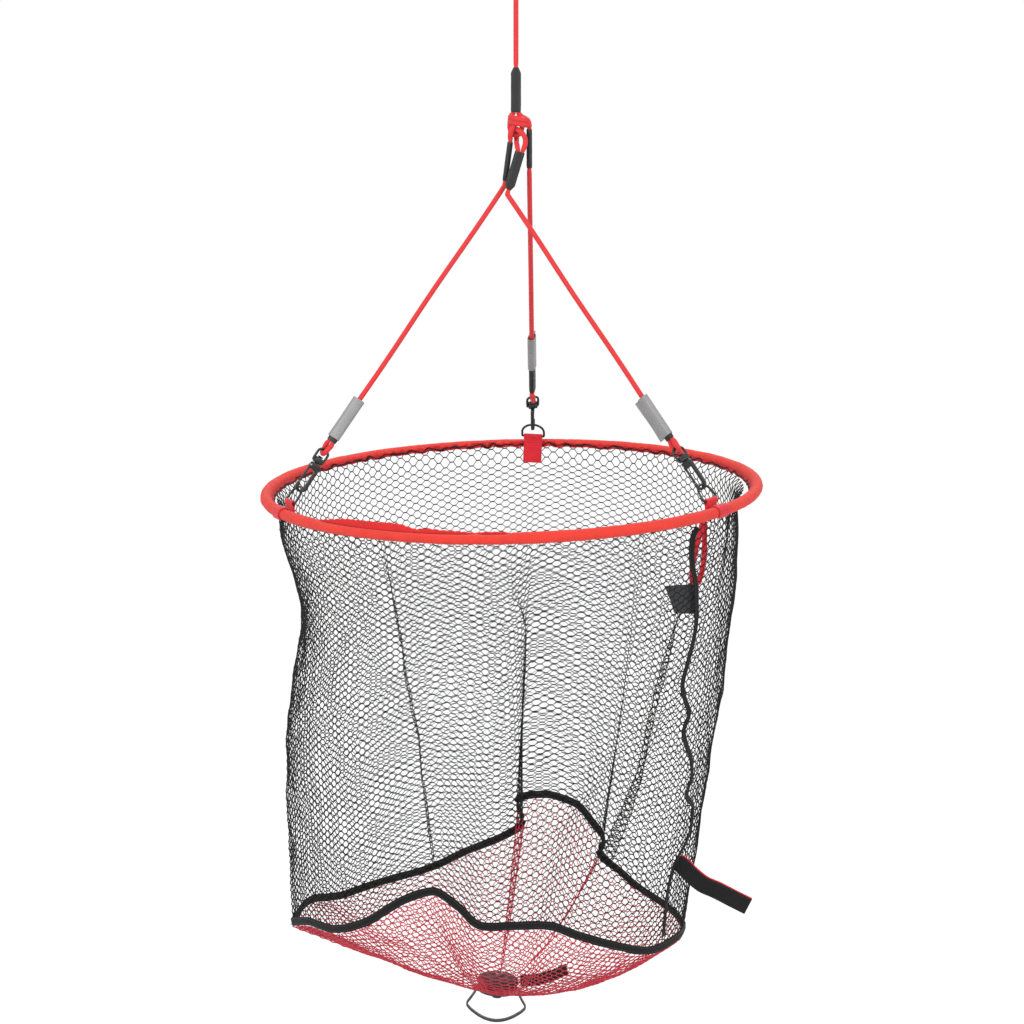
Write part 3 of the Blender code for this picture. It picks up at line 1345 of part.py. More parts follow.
def make_base(base):
    """The weighted base that clamps the floor's middle, with its bolt, nut, bail and pins."""
    through = BOLT_RADIUS + RUNNING_GAP
    weight_profile = [
        (through, WEIGHT_TOP),
        (BASE_WEIGHT_RADIUS * 0.62, WEIGHT_TOP),
        (BASE_WEIGHT_RADIUS * 0.86, WEIGHT_TOP - BASE_WEIGHT_HEIGHT * 0.18),
        (BASE_WEIGHT_RADIUS * 0.98, WEIGHT_TOP - BASE_WEIGHT_HEIGHT * 0.5),
        (BASE_WEIGHT_RADIUS, WEIGHT_FOOT + 0.002),
        (BASE_WEIGHT_RADIUS - 0.001, WEIGHT_FOOT),
        (through, WEIGHT_FOOT),
        (through, WEIGHT_TOP),
    ]
    add_object("base_weight", turned_data("base_weight", weight_profile), "base_rubber", base)
    plate_profile = [
        (through, PLATE_TOP),
        (BASE_PLATE_RADIUS - 0.0006, PLATE_TOP),
        (BASE_PLATE_RADIUS, PLATE_TOP - 0.0006),
        (BASE_PLATE_RADIUS, PLATE_FOOT + 0.0015),
        (BASE_PLATE_RADIUS - 0.0025, PLATE_FOOT),
        (through, PLATE_FOOT),
        (through, PLATE_TOP),
    ]
    base_plate = add_object("base_plate", turned_data("base_plate", plate_profile), "base_rubber", base)
    bolt_profile = [
        (0.0, WEIGHT_TOP + 0.0045),
        (BOLT_RADIUS, WEIGHT_TOP + 0.0045),
        (BOLT_RADIUS, PLATE_FOOT - TOUCH_GAP),
        (BOLT_HEAD_RADIUS, PLATE_FOOT - TOUCH_GAP),
        (BOLT_HEAD_RADIUS * 0.72, PLATE_FOOT - TOUCH_GAP - BOLT_HEAD_HEIGHT),
        (0.0, PLATE_FOOT - TOUCH_GAP - BOLT_HEAD_HEIGHT),
    ]
    add_object("base_bolt", turned_data("base_bolt", bolt_profile, 16), "base_rubber", base)
    nut_foot = WEIGHT_TOP + TOUCH_GAP
    nut_bore = through / math.cos(math.pi / 6)
    nut_profile = [
        (nut_bore, nut_foot + 0.0036),
        (NUT_RADIUS, nut_foot + 0.0036),
        (NUT_RADIUS, nut_foot),
        (nut_bore, nut_foot),
        (nut_bore, nut_foot + 0.0036),
    ]
    add_object("base_nut", turned_data("base_nut", nut_profile, 6), "bright_steel", base)

    pivot = Matrix.Translation((0, 0, BAIL_PIVOT_LEVEL))
    frame = add_empty("bail_frame", pivot, base)
    leg_x = BAIL_LEG_X
    corner_x = leg_x + BAIL_CORNER_SPREAD
    eye = BAIL_EYE_RADIUS
    path = [(-leg_x, 0, eye), (-leg_x, 0, 0.6 * eye), (-leg_x, 0, 0), (-leg_x, 0, -1.2 * eye)]
    path.append((-corner_x + 0.0008, 0, 0.0016 - BAIL_CORNER_DROP))
    path.append((-corner_x, 0, -BAIL_CORNER_DROP))
    widths = [0.9 * eye, 1.7 * eye, 2 * eye, BAIL_WIDTH, BAIL_WIDTH, BAIL_WIDTH]
    steps = 8
    sagitta = BAIL_DROP - BAIL_CORNER_DROP
    for step in range(1, steps):
        x = -corner_x + 2 * corner_x * step / steps
        path.append((x, 0, -BAIL_CORNER_DROP - sagitta * (1 - (x / corner_x) ** 2)))
        widths.append(BAIL_WIDTH)
    path += [(-x, y, z) for x, y, z in reversed(path[:6])]
    widths += list(reversed(widths[:6]))
    bail = ribbon("base_bail", path, Vector((0, 1, 0)), widths, BAIL_THICKNESS, "bail_grey", frame)
    bore = BAIL_PIN_RADIUS + RUNNING_GAP
    reach = BASE_PLATE_RADIUS + BAIL_THICKNESS + 0.004
    bail_bore = tool_object("bail_bore", cylinder_data("bail_bore", bore, -reach, reach, "X", 12), frame)
    boolean(bail, bail_bore, "DIFFERENCE")
    pin_start = BASE_PLATE_RADIUS - BAIL_PIN_DEPTH
    head_start = BASE_PLATE_RADIUS + 2 * RUNNING_GAP + BAIL_THICKNESS
    for side, sign in (("left", -1), ("right", 1)):
        socket = tool_object(
            f"pin_socket_{side}",
            cylinder_data(
                f"pin_socket_{side}",
                BAIL_PIN_RADIUS + TOUCH_GAP / 2,
                pin_start - TOUCH_GAP,
                BASE_PLATE_RADIUS + 0.002,
                "Z",
                12,
            ),
            frame,
            Matrix.Rotation(math.radians(90 * sign), 4, "Y"),
        )
        boolean(base_plate, socket, "DIFFERENCE")
        profile = [
            (0.0, head_start + BAIL_PIN_HEAD_HEIGHT),
            (BAIL_PIN_HEAD_RADIUS * 0.7, head_start + BAIL_PIN_HEAD_HEIGHT),
            (BAIL_PIN_HEAD_RADIUS, head_start),
            (BAIL_PIN_RADIUS, head_start),
            (BAIL_PIN_RADIUS, pin_start),
            (0.0, pin_start),
        ]
        add_object(
            f"bail_pin_{side}",
            turned_data(f"bail_pin_{side}", profile, 12),
            "blackened_steel",
            frame,
            Matrix.Rotation(math.radians(90 * sign), 4, "Y"),
        )
    strap_path = [
        (0.0275, 0.0, WEIGHT_FOOT + 0.0060),
        (0.0400, 0.0, WEIGHT_FOOT + 0.0072),
        (0.0540, 0.0, WEIGHT_FOOT + 0.0105),
        (0.0690, 0.0, WEIGHT_FOOT + 0.0165),
        (0.0840, 0.0, WEIGHT_FOOT + 0.0250),
    ]
    across = Vector((0, 0.93, 0.36))
    ribbon("inner_strap", strap_path, across, INNER_STRAP_WIDTH, INNER_STRAP_THICKNESS, "tape_black", base)


def main():
    """Builds every sub-part in turn."""
    rim = add_empty("rim_frame", rim_matrix)
    bag = add_empty("bag_frame", Matrix.Translation((RIM_CENTRE_X, 0, RIM_Z)))
    make_main_line()
    for leg in LEGS:
        frame = add_empty(f"hook_frame_{leg.name}", leg.frame())
        make_leg_rope(leg)
        make_swivel_eye(leg, frame)
        make_snap_hook(leg, frame)
        make_d_ring(leg, frame)
        make_ring_tab(leg)
    make_hoop(rim)
    base_lean = Matrix.Rotation(BASE_LEAN, 4, "Y")
    base = add_empty("base_frame", Matrix.Translation((BASE_OFFSET_X, 0, -BASE_DEPTH)) @ base_lean, bag)
    make_net(bag, base.matrix_world)
    make_seam_tape(bag)
    make_label(bag)
    make_webbing_loop(bag)
    make_storage_strap()
    make_base(base)


main()
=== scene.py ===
"""The drop net, dressed: braided ropes, knotless mesh, cloth, webbing and hardware.

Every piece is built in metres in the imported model's own frame, with its place in its mesh, and rides on
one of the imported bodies. +Z is up, +X is to the right and +Y is away from the camera. The origin is the
inside top of the hand loop.
"""

from __future__ import annotations

import logging
import math
import sys
from dataclasses import dataclass
from enum import Enum
from typing import Sequence
import bmesh
import bpy
import numpy as np
from mathutils import Matrix, Vector, noise


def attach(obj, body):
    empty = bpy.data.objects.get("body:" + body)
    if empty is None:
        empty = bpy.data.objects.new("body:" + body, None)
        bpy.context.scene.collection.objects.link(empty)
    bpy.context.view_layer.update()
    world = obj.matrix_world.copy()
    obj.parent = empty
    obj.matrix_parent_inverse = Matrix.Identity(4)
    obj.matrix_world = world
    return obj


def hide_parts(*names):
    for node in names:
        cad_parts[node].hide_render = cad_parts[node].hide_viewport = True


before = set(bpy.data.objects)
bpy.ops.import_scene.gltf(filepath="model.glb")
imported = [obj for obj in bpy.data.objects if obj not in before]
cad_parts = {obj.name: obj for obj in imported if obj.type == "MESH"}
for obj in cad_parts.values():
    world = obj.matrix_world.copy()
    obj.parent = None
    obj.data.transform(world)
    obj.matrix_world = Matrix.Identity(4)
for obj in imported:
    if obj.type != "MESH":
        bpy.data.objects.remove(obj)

Pair = tuple[float, float]
Triple = tuple[float, float, float]
Socket = tuple[bpy.types.Node, str | int]

LOG = logging.getLogger("drop_net")
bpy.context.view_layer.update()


class Body(Enum):
    """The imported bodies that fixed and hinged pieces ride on."""

    NET = "net"
    BAIL = "bail"
    STRAP = "strap"


class Side(Enum):
    """Where a leg meets the hoop."""

    LEFT = "left"
    RIGHT = "right"
    BACK = "back"


class Texture(Enum):
    """How a cloth is woven."""

    PLAIN = "plain"
    RIBBED = "ribbed"


# Small geometry helpers


def smooth_route(points: Sequence[Sequence[float]], spacing: float) -> np.ndarray:
    """Points of a Catmull-Rom curve through chosen ones.

    Args:
        points: The chosen places; values after the third are carried along.
        spacing: The step wanted, in metres.

    Returns:
        One row for each point of the curve.
    """
    given = np.asarray(points, float)
    rows = []
    for i in range(len(given) - 1):
        before, start, end = given[max(i - 1, 0)], given[i], given[i + 1]
        after = given[min(i + 2, len(given) - 1)]
        steps = max(1, round(float(np.linalg.norm(end[:3] - start[:3])) / spacing))
        t = (np.arange(steps) / steps)[:, None]
        rows.append(
            0.5
            * (
                2 * start
                + (end - before) * t
                + (2 * before - 5 * start + 4 * end - after) * t**2
                + (3 * start - before - 3 * end + after) * t**3
            )
        )
    rows.append(given[-1:])
    return np.vstack(rows)


def even_route(points: np.ndarray, step: float) -> np.ndarray:
    """The same line with its points an even step apart.

    Args:
        points: The line's points, one row each.
        step: The distance between the new points.

    Returns:
        The new rows, with every column carried along.
    """
    gaps = np.linalg.norm(np.diff(points[:, :3], axis=0), axis=1)
    lengths = np.concatenate([[0.0], np.cumsum(gaps)])
    wanted = np.linspace(0.0, lengths[-1], max(3, round(lengths[-1] / step)))
    return np.column_stack([np.interp(wanted, lengths, points[:, k]) for k in range(points.shape[1])])


def unit(vectors: np.ndarray) -> np.ndarray:
    """Vectors made one long."""
    return vectors / np.maximum(np.linalg.norm(vectors, axis=-1, keepdims=True), 1e-12)


def placed(points: np.ndarray, place: Matrix) -> np.ndarray:
    """Points moved to a place."""
    return points @ np.array(place.to_3x3()).T + np.array(place.translation)


def carried_axes(path: np.ndarray) -> tuple[np.ndarray, np.ndarray]:
    """Two directions square to a line, carried along it without twisting.

    Args:
        path: The line's points.

    Returns:
        The two directions at each point.
    """
    tangents = unit(np.gradient(path, axis=0))
    seed = np.array([0.0, 0.0, 1.0]) if abs(tangents[0][2]) < 0.9 else np.array([1.0, 0.0, 0.0])
    first = np.cross(tangents[0], seed)
    axes = []
    for tangent in tangents:
        first = first - tangent * np.dot(first, tangent)
        first = first / np.linalg.norm(first)
        axes.append(first)
    firsts = np.array(axes)
    return firsts, np.cross(tangents, firsts)


def ripple(places: np.ndarray, scale: float, seed: float) -> np.ndarray:
    """Smooth noise from -1 to 1 at each place.

    Args:
        places: The places, one row each.
        scale: Waves in a metre.
        seed: Which noise.

    Returns:
        One value for each row.
    """
    flat = places.reshape(-1, 3) * scale
    found = [noise.noise(Vector((x + seed, y - seed, z + 0.5 * seed))) for x, y, z in flat]
    return np.array(found).reshape(places.shape[:-1])


def skin(rings: np.ndarray, loop: bool = False, lay: np.ndarray | None = None) -> bpy.types.Mesh:
    """A closed skin over rings of points, with a UV map in metres round and along.

    Args:
        rings: The points, as rows of rings.
        loop: Whether the last ring joins the first, as on a hollow sleeve; otherwise the ends are capped.
        lay: A value for each point, kept as the attribute "lay".

    Returns:
        The mesh, facing outwards.
    """
    rows, sides = rings.shape[:2]
    points = rings.reshape(-1, 3)
    row = np.arange(rows if loop else rows - 1)[:, None]
    side = np.arange(sides)[None, :]
    after, beside = (row + 1) % rows, (side + 1) % sides
    square = (row * sides + side, row * sides + beside, after * sides + beside, after * sides + side)
    quads = np.stack(square, -1)
    faces = quads.reshape(-1, 4).tolist()
    middle = rings[rows // 2]
    around = np.concatenate([[0.0], np.cumsum(np.linalg.norm(np.roll(middle, -1, 0) - middle, axis=1))])
    centres = rings.mean(axis=1)
    shift = np.linalg.norm(np.diff(np.vstack([rings, rings[:1]]), axis=0), axis=2).mean(axis=1)
    along = np.concatenate([[0.0], np.cumsum(shift)])
    u = np.stack([around[side], around[side + 1], around[side + 1], around[side]], -1)
    v = np.stack([along[row], along[row], along[row + 1], along[row + 1]], -1)
    uvs = np.stack([np.broadcast_to(u, quads.shape), np.broadcast_to(v, quads.shape)], -1).reshape(-1, 2)
    if not loop:
        points = np.vstack([points, centres[:1], centres[-1:]])
        hub = rows * sides
        ring = list(range(sides))
        faces += [[hub, (k + 1) % sides, k] for k in ring]
        faces += [[hub + 1, hub - sides + k, hub - sides + (k + 1) % sides] for k in ring]
        uvs = np.vstack([uvs, np.zeros((6 * sides, 2))])
    corners = points[np.array([f[:3] for f in faces])]
    volume = np.linalg.det(corners).sum()
    corners = points[np.array([[f[0], f[2], f[-1]] for f in faces if len(f) == 4])]
    if volume + np.linalg.det(corners).sum() < 0:
        faces = [face[::-1] for face in faces]
        counts = np.array([len(face) for face in faces])
        starts = np.concatenate([[0], np.cumsum(counts)[:-1]])
        order = np.concatenate([np.arange(s + n - 1, s - 1, -1) for s, n in zip(starts, counts)])
        uvs = uvs[order]
    mesh = bpy.data.meshes.new("skin")
    mesh.from_pydata(points.tolist(), [], faces)
    mesh.uv_layers.new(name="UVMap").data.foreach_set("uv", uvs.astype(np.float32).ravel())
    if lay is not None:
        values = np.concatenate([lay.ravel(), np.zeros(len(points) - lay.size)])
        mesh.attributes.new("lay", "FLOAT", "POINT").data.foreach_set("value", values.astype(np.float32))
    mesh.shade_smooth()
    mesh.set_sharp_from_angle(angle=math.radians(50))
    return mesh


def tube_rings(path: np.ndarray, radii: np.ndarray, sides: int) -> np.ndarray:
    """Rings round a line.

    Args:
        path: The line's points.
        radii: The radius at each point, or at each point and side.
        sides: The points in a ring.

    Returns:
        The rings.
    """
    first, second = carried_axes(path)
    angles = np.arange(sides) * math.tau / sides
    spokes = first[:, None] * np.cos(angles)[None, :, None] + second[:, None] * np.sin(angles)[None, :, None]
    wide = radii[:, None] if radii.ndim == 1 else radii
    return path[:, None] + spokes * (wide * np.ones((len(path), sides)))[..., None]


def strip_rings(
    path: np.ndarray, across: np.ndarray, widths: np.ndarray, thickness: float, corner: int = 2
) -> np.ndarray:
    """Rings of a flat strip with rounded edges.

    Args:
        path: The strip's centre line.
        across: The direction across the strip at each point.
        widths: The width at each point.
        thickness: The strip's thickness.
        corner: Steps in each rounded edge's half.

    Returns:
        The rings.
    """
    tangents = unit(np.gradient(path, axis=0))
    across = unit(across - tangents * np.sum(across * tangents, axis=1, keepdims=True))
    lift = np.cross(tangents, across)
    half = thickness / 2
    turns = np.linspace(-math.pi / 2, math.pi / 2, 2 * corner + 1)
    edge = [(math.cos(turn), math.sin(turn)) for turn in turns]
    fill = (-0.5, 0.0, 0.5)
    rings = []
    for place, side, up, width in zip(path, across, lift, widths):
        flat = width / 2 - half
        ring = [place + side * (flat + half * c) + up * (half * s) for c, s in edge]
        ring += [place - side * (flat * f) + up * half for f in fill]
        ring += [place - side * (flat + half * c) + up * (half * s) for c, s in reversed(edge)]
        ring += [place + side * (flat * f) - up * half for f in fill]
        rings.append(ring)
    return np.array(rings)


def sheet_rings(starts: np.ndarray, ends: np.ndarray, thickness: float) -> np.ndarray:
    """Rings of a thin sheet between two edges, which needn't be square to its rows.

    Args:
        starts: The points along one edge.
        ends: The points along the other edge.
        thickness: The sheet's thickness.

    Returns:
        The rings.
    """
    across = ends - starts
    lift = unit(np.cross(across, np.gradient(starts + across / 2, axis=0))) * (thickness / 2)
    face = [starts + across * share for share in (0.0, 0.25, 0.5, 0.75, 1.0)]
    return np.stack([place + lift for place in face] + [place - lift for place in reversed(face)], axis=1)


def stadium(
    centre: Vector, wide: Vector, thin: Vector, spread: float, radius: float, sides: int
) -> list[Vector]:
    """A ring round two strands that lie side by side.

    Args:
        centre: The ring's middle.
        wide: The direction from one strand to the other.
        thin: The direction square to it.
        spread: Half the distance between the strands' middles.
        radius: The ring's radius round each strand.
        sides: The points in the ring.

    Returns:
        The ring's points.
    """
    ring = []
    for i in range(sides):
        angle = math.tau * (i + 0.5) / sides
        shift = spread * max(-1.0, min(1.0, 2.5 * math.cos(angle)))
        ring.append(centre + wide * (shift + radius * math.cos(angle)) + thin * (radius * math.sin(angle)))
    return ring


def turned(profile: Sequence[Pair], place: Matrix, steps: int) -> bpy.types.Mesh:
    """A turned solid about its own Z.

    Args:
        profile: Pairs of radius and height, from one end to the other.
        place: The solid's place.
        steps: The points round it.

    Returns:
        The mesh.
    """
    rings = []
    for radius, height in profile:
        ring = []
        for i in range(steps):
            angle = math.tau * i / steps
            ring.append(place @ Vector((radius * math.cos(angle), radius * math.sin(angle), height)))
        rings.append(ring)
    mesh = skin(np.array(rings))
    mesh.set_sharp_from_angle(angle=math.radians(35))
    return mesh


def plate(outline: Sequence[Pair], thickness: float, edge: float, place: Matrix) -> bpy.types.Mesh:
    """A flat piece of one thickness with rounded edges.

    Args:
        outline: A closed outline in the piece's own XY plane.
        thickness: Its thickness along Z.
        edge: The radius of its edges.
        place: Its place.

    Returns:
        The mesh.
    """
    curve = bpy.data.curves.new("plate", "CURVE")
    curve.dimensions = "2D"
    curve.fill_mode = "BOTH"
    curve.extrude = thickness / 2 - edge
    curve.bevel_depth = edge
    curve.bevel_resolution = 2
    curve.offset = -edge
    spline = curve.splines.new("POLY")
    spline.points.add(len(outline) - 1)
    for point, (x, y) in zip(spline.points, outline):
        point.co = (x, y, 0, 1)
    spline.use_cyclic_u = True
    flat = bpy.data.objects.new("plate", curve)
    bpy.context.scene.collection.objects.link(flat)
    mesh = settled(flat)
    mesh.transform(place)
    work = bmesh.new()
    work.from_mesh(mesh)
    bmesh.ops.remove_doubles(work, verts=work.verts, dist=1e-6)
    bmesh.ops.recalc_face_normals(work, faces=work.faces)
    work.to_mesh(mesh)
    work.free()
    mesh.shade_smooth()
    mesh.set_sharp_from_angle(angle=math.radians(40))
    return mesh


def settled(thing: bpy.types.Object) -> bpy.types.Mesh:
    """The object's mesh with its modifiers applied; the object itself is removed.

    Args:
        thing: The object.

    Returns:
        The mesh, with its modifiers applied.
    """
    graph = bpy.context.evaluated_depsgraph_get()
    mesh = bpy.data.meshes.new_from_object(thing.evaluated_get(graph), depsgraph=graph)
    bpy.data.objects.remove(thing)
    return mesh


def joined(first: bpy.types.Mesh, others: Sequence[bpy.types.Mesh], operation: str) -> bpy.types.Mesh:
    """A mesh joined with others, or cut by them.

    Args:
        first: The mesh that is kept.
        others: The meshes that join or cut it.
        operation: UNION or DIFFERENCE.

    Returns:
        The new mesh.
    """
    kept = bpy.data.objects.new(first.name, first)
    bpy.context.scene.collection.objects.link(kept)
    tools = []
    for other in others:
        tool = bpy.data.objects.new(other.name, other)
        bpy.context.scene.collection.objects.link(tool)
        modifier = kept.modifiers.new(other.name, "BOOLEAN")
        modifier.operation = operation
        modifier.object = tool
        tools.append(tool)
    mesh = settled(kept)
    for tool in tools:
        bpy.data.objects.remove(tool)
    mesh.shade_smooth()
    mesh.set_sharp_from_angle(angle=math.radians(40))
    return mesh


# Finishes


class Bench:
    """One material's node tree, and the short calls that fill it."""

    def __init__(self, name: str) -> None:
        """Starts a material with a shader and its output.

        Args:
            name: The material's name.
        """
        self.material = bpy.data.materials.new(name)
        self.material.use_nodes = True
        self.tree = self.material.node_tree
        self.tree.nodes.clear()
        self.shader = self.add("ShaderNodeBsdfPrincipled")
        output = self.add("ShaderNodeOutputMaterial")
        self.join(self.shader, "BSDF", output, "Surface")

    def add(self, kind: str, **settings: object) -> bpy.types.Node:
        """Adds a node and sets its properties.

        Args:
            kind: The node's type.
            settings: Its properties and values.

        Returns:
            The node.
        """
        node = self.tree.nodes.new(kind)
        for key, value in settings.items():
            setattr(node, key, value)
        return node

    def join(
        self, source: bpy.types.Node, output: str | int, target: bpy.types.Node, socket: str | int
    ) -> None:
        """Joins an output to an input."""
        self.tree.links.new(source.outputs[output], target.inputs[socket])

    def set(self, **values: object) -> None:
        """Sets the shader's own sockets, with underscores for the spaces in their names."""
        for key, value in values.items():
            self.shader.inputs[key.replace("_", " ")].default_value = value

    def maths(self, operation: str, first: object, second: object = None) -> Socket:
        """Adds a Math node.

        Args:
            operation: What it does.
            first: A number, or a node and the output to read.
            second: The same, where the operation takes two.

        Returns:
            The node and its output's index.
        """
        node = self.add("ShaderNodeMath", operation=operation)
        for index, value in enumerate((first, second)):
            if isinstance(value, tuple):
                self.join(value[0], value[1], node, index)
            elif value is not None:
                node.inputs[index].default_value = value
        return node, 0

    def mixed(self, first: Socket, share: float, second: Socket) -> Socket:
        """A share of the first value and the rest of the second."""
        rest = self.maths("MULTIPLY", second, 1 - share)
        return self.maths("ADD", self.maths("MULTIPLY", first, share), rest)

    def mottle(self, scale: float, detail: float) -> bpy.types.Node:
        """A noise over the piece's own coordinates.

        Args:
            scale: How fine the noise is.
            detail: How much detail it has.

        Returns:
            The noise node.
        """
        where = self.add("ShaderNodeTexCoord")
        found = self.add("ShaderNodeTexNoise")
        found.inputs["Scale"].default_value = scale
        found.inputs["Detail"].default_value = detail
        self.join(where, "Object", found, "Vector")
        return found

    def blend(self, factor: Socket, stops: Sequence[tuple[float, Triple]]) -> None:
        """A colour ramp into the shader's base colour.

        Args:
            factor: The output that drives it.
            stops: The ramp's places and colours.
        """
        ramp = self.add("ShaderNodeValToRGB")
        elements = ramp.color_ramp.elements
        while len(elements) < len(stops):
            elements.new(0.5)
        for element, (place, colour) in zip(elements, stops):
            element.position = place
            element.color = (*colour, 1.0)
        self.join(factor[0], factor[1], ramp, 0)
        self.join(ramp, 0, self.shader, "Base Color")

    def relief(self, height: Socket, depth: float, strength: float = 1.0) -> None:
        """Bump from a height, its depth in metres.

        Args:
            height: The output that gives the height.
            depth: The bump's depth.
            strength: The bump's strength.
        """
        bump = self.add("ShaderNodeBump")
        bump.inputs["Strength"].default_value = strength
        bump.inputs["Distance"].default_value = depth
        self.join(height[0], height[1], bump, "Height")
        self.join(bump, "Normal", self.shader, "Normal")

    def spread(self, factor: Socket, low: float, high: float, target: str) -> None:
        """A value between two limits into one of the shader's sockets.

        Args:
            factor: The output that drives it.
            low: The value at the low end.
            high: The value at the high end.
            target: The shader's socket.
        """
        range_node = self.add("ShaderNodeMapRange")
        range_node.inputs["From Min"].default_value = 0.3
        range_node.inputs["From Max"].default_value = 0.7
        range_node.inputs["To Min"].default_value = low
        range_node.inputs["To Max"].default_value = high
        self.join(factor[0], factor[1], range_node, "Value")
        self.join(range_node, "Result", self.shader, target)


def shade(colour: Triple, share: float) -> Triple:
    """The colour made darker or lighter by a share."""
    return tuple(min(1.0, c * share) for c in colour)


@dataclass(frozen=True)
class Cloth:
    """Woven cloth, drawn on the piece's UV map in metres, with painted shade between its threads and a
    painted highlight on their crowns.
    """

    name: str
    colour: Triple
    thread: float
    texture: Texture = Texture.PLAIN
    roughness: float = 0.85
    sheen: float = 0.25
    rib: float = 0.0

    def build(self) -> bpy.types.Material:
        """Makes the material.

        Returns:
            The material.
        """
        bench = Bench(self.name)
        bench.set(Roughness=self.roughness, Sheen_Weight=self.sheen, Specular_IOR_Level=0.25)
        where = bench.add("ShaderNodeTexCoord")
        split = bench.add("ShaderNodeSeparateXYZ")
        bench.join(where, "UV", split, 0)
        rise = 1.0 if self.texture is Texture.PLAIN else 3.0
        across = bench.maths("MULTIPLY", (split, 0), math.pi / self.thread)
        along = bench.maths("MULTIPLY", (split, 1), math.pi / (self.thread * rise))
        warp = bench.maths("ABSOLUTE", bench.maths("SINE", across))
        weft = bench.maths("ABSOLUTE", bench.maths("SINE", along))
        side = bench.maths("MULTIPLY", bench.maths("SINE", across), bench.maths("SINE", along))
        over = bench.maths("GREATER_THAN", side, 0.0)
        thread = bench.maths("MULTIPLY", over, warp)
        under = bench.maths("MULTIPLY", bench.maths("SUBTRACT", 1.0, over), weft)
        weave = bench.maths("ADD", thread, under)
        patch = bench.mottle(55.0, 4.0)
        fibre = bench.mottle(900.0, 2.0)
        # Colour: partly the weave's height, as painted shade between threads and painted highlight on crowns;
        # the rest is random mottle.
        tone = bench.mixed(weave, 0.35, (patch, "Fac"))
        stops = ((0.15, shade(self.colour, 0.72)), (0.5, self.colour), (0.85, shade(self.colour, 1.12)))
        bench.blend(tone, stops)
        height = bench.maths("ADD", weave, bench.maths("MULTIPLY", (fibre, "Fac"), 0.5))
        if self.rib:
            wander = bench.maths("MULTIPLY", (patch, "Fac"), 5.0)
            turn = bench.maths("ADD", bench.maths("MULTIPLY", (split, 1), math.pi / self.rib), wander)
            ribs = bench.maths("ABSOLUTE", bench.maths("SINE", turn))
            height = bench.maths("ADD", height, bench.maths("MULTIPLY", ribs, 4.5))
        bench.relief(height, 0.25 * self.thread, 0.6)
        return bench.material


@dataclass(frozen=True)
class Braid:
    """Braided cord: painted shade where the strands dive under and a painted highlight on their crowns, with
    a faint random mottle.
    """

    name: str
    colour: Triple

    def build(self) -> bpy.types.Material:
        """Makes the material.

        Returns:
            The material.
        """
        bench = Bench(self.name)
        bench.set(Roughness=0.62, Sheen_Weight=0.2, Specular_IOR_Level=0.35)
        lay = bench.add("ShaderNodeAttribute", attribute_name="lay")
        patch = bench.mottle(140.0, 3.0)
        # The braid's height sets most of the colour: painted shade in its grooves, painted highlight on its
        # crowns.
        tone = bench.mixed((lay, "Fac"), 0.7, (patch, "Fac"))
        stops = ((0.1, shade(self.colour, 0.45)), (0.45, self.colour), (0.9, shade(self.colour, 1.15)))
        bench.blend(tone, stops)
        fibre = bench.mottle(2500.0, 2.0)
        bench.relief((fibre, "Fac"), 0.0002, 0.5)
        return bench.material


@dataclass(frozen=True)
class Twine:
    """Thin twisted twine, as in the mesh and the stitches."""

    name: str
    colour: Triple
    roughness: float = 0.6
    sheen: float = 0.15

    def build(self) -> bpy.types.Material:
        """Makes the material.

        Returns:
            The material.
        """
        bench = Bench(self.name)
        bench.set(Roughness=self.roughness, Sheen_Weight=self.sheen, Specular_IOR_Level=0.3)
        patch = bench.mottle(60.0, 3.0)
        stops = ((0.3, shade(self.colour, 0.75)), (0.6, self.colour), (0.8, shade(self.colour, 1.2)))
        bench.blend((patch, "Fac"), stops)
        fibre = bench.mottle(1800.0, 2.0)
        bench.relief((fibre, "Fac"), 0.0002, 0.6)
        return bench.material


@dataclass(frozen=True)
class Moulding:
    """Moulded plastic, rubber or shrink tube: fine grain, uneven gloss and faint rubbed patches."""

    name: str
    colour: Triple
    rubbed: Triple
    roughness: Pair
    grain: float
    depth: float
    coat: float = 0.0

    def build(self) -> bpy.types.Material:
        """Makes the material.

        Returns:
            The material.
        """
        bench = Bench(self.name)
        bench.set(Coat_Weight=self.coat, Coat_Roughness=0.35)
        patch = bench.mottle(70.0, 5.0)
        stops = ((0.35, shade(self.colour, 0.85)), (0.58, self.colour), (0.78, self.rubbed))
        bench.blend((patch, "Fac"), stops)
        cloud = bench.mottle(160.0, 3.0)
        bench.spread((cloud, "Fac"), *self.roughness, "Roughness")
        grain = bench.mottle(self.grain, 3.0)
        bench.relief((grain, "Fac"), self.depth, 0.5)
        return bench.material


@dataclass(frozen=True)
class Metal:
    """Steel wire or plate, bare or blackened, with worn patches, uneven gloss and a fine noise bump."""

    name: str
    colour: Triple
    worn: Triple
    metallic: float
    roughness: Pair

    def build(self) -> bpy.types.Material:
        """Makes the material.

        Returns:
            The material.
        """
        bench = Bench(self.name)
        bench.set(Metallic=self.metallic)
        patch = bench.mottle(220.0, 5.0)
        bench.blend((patch, "Fac"), ((0.45, self.colour), (0.75, self.worn)))
        cloud = bench.mottle(400.0, 4.0)
        bench.spread((cloud, "Fac"), *self.roughness, "Roughness")
        bench.relief((cloud, "Fac"), 0.0001, 0.35)
        return bench.material


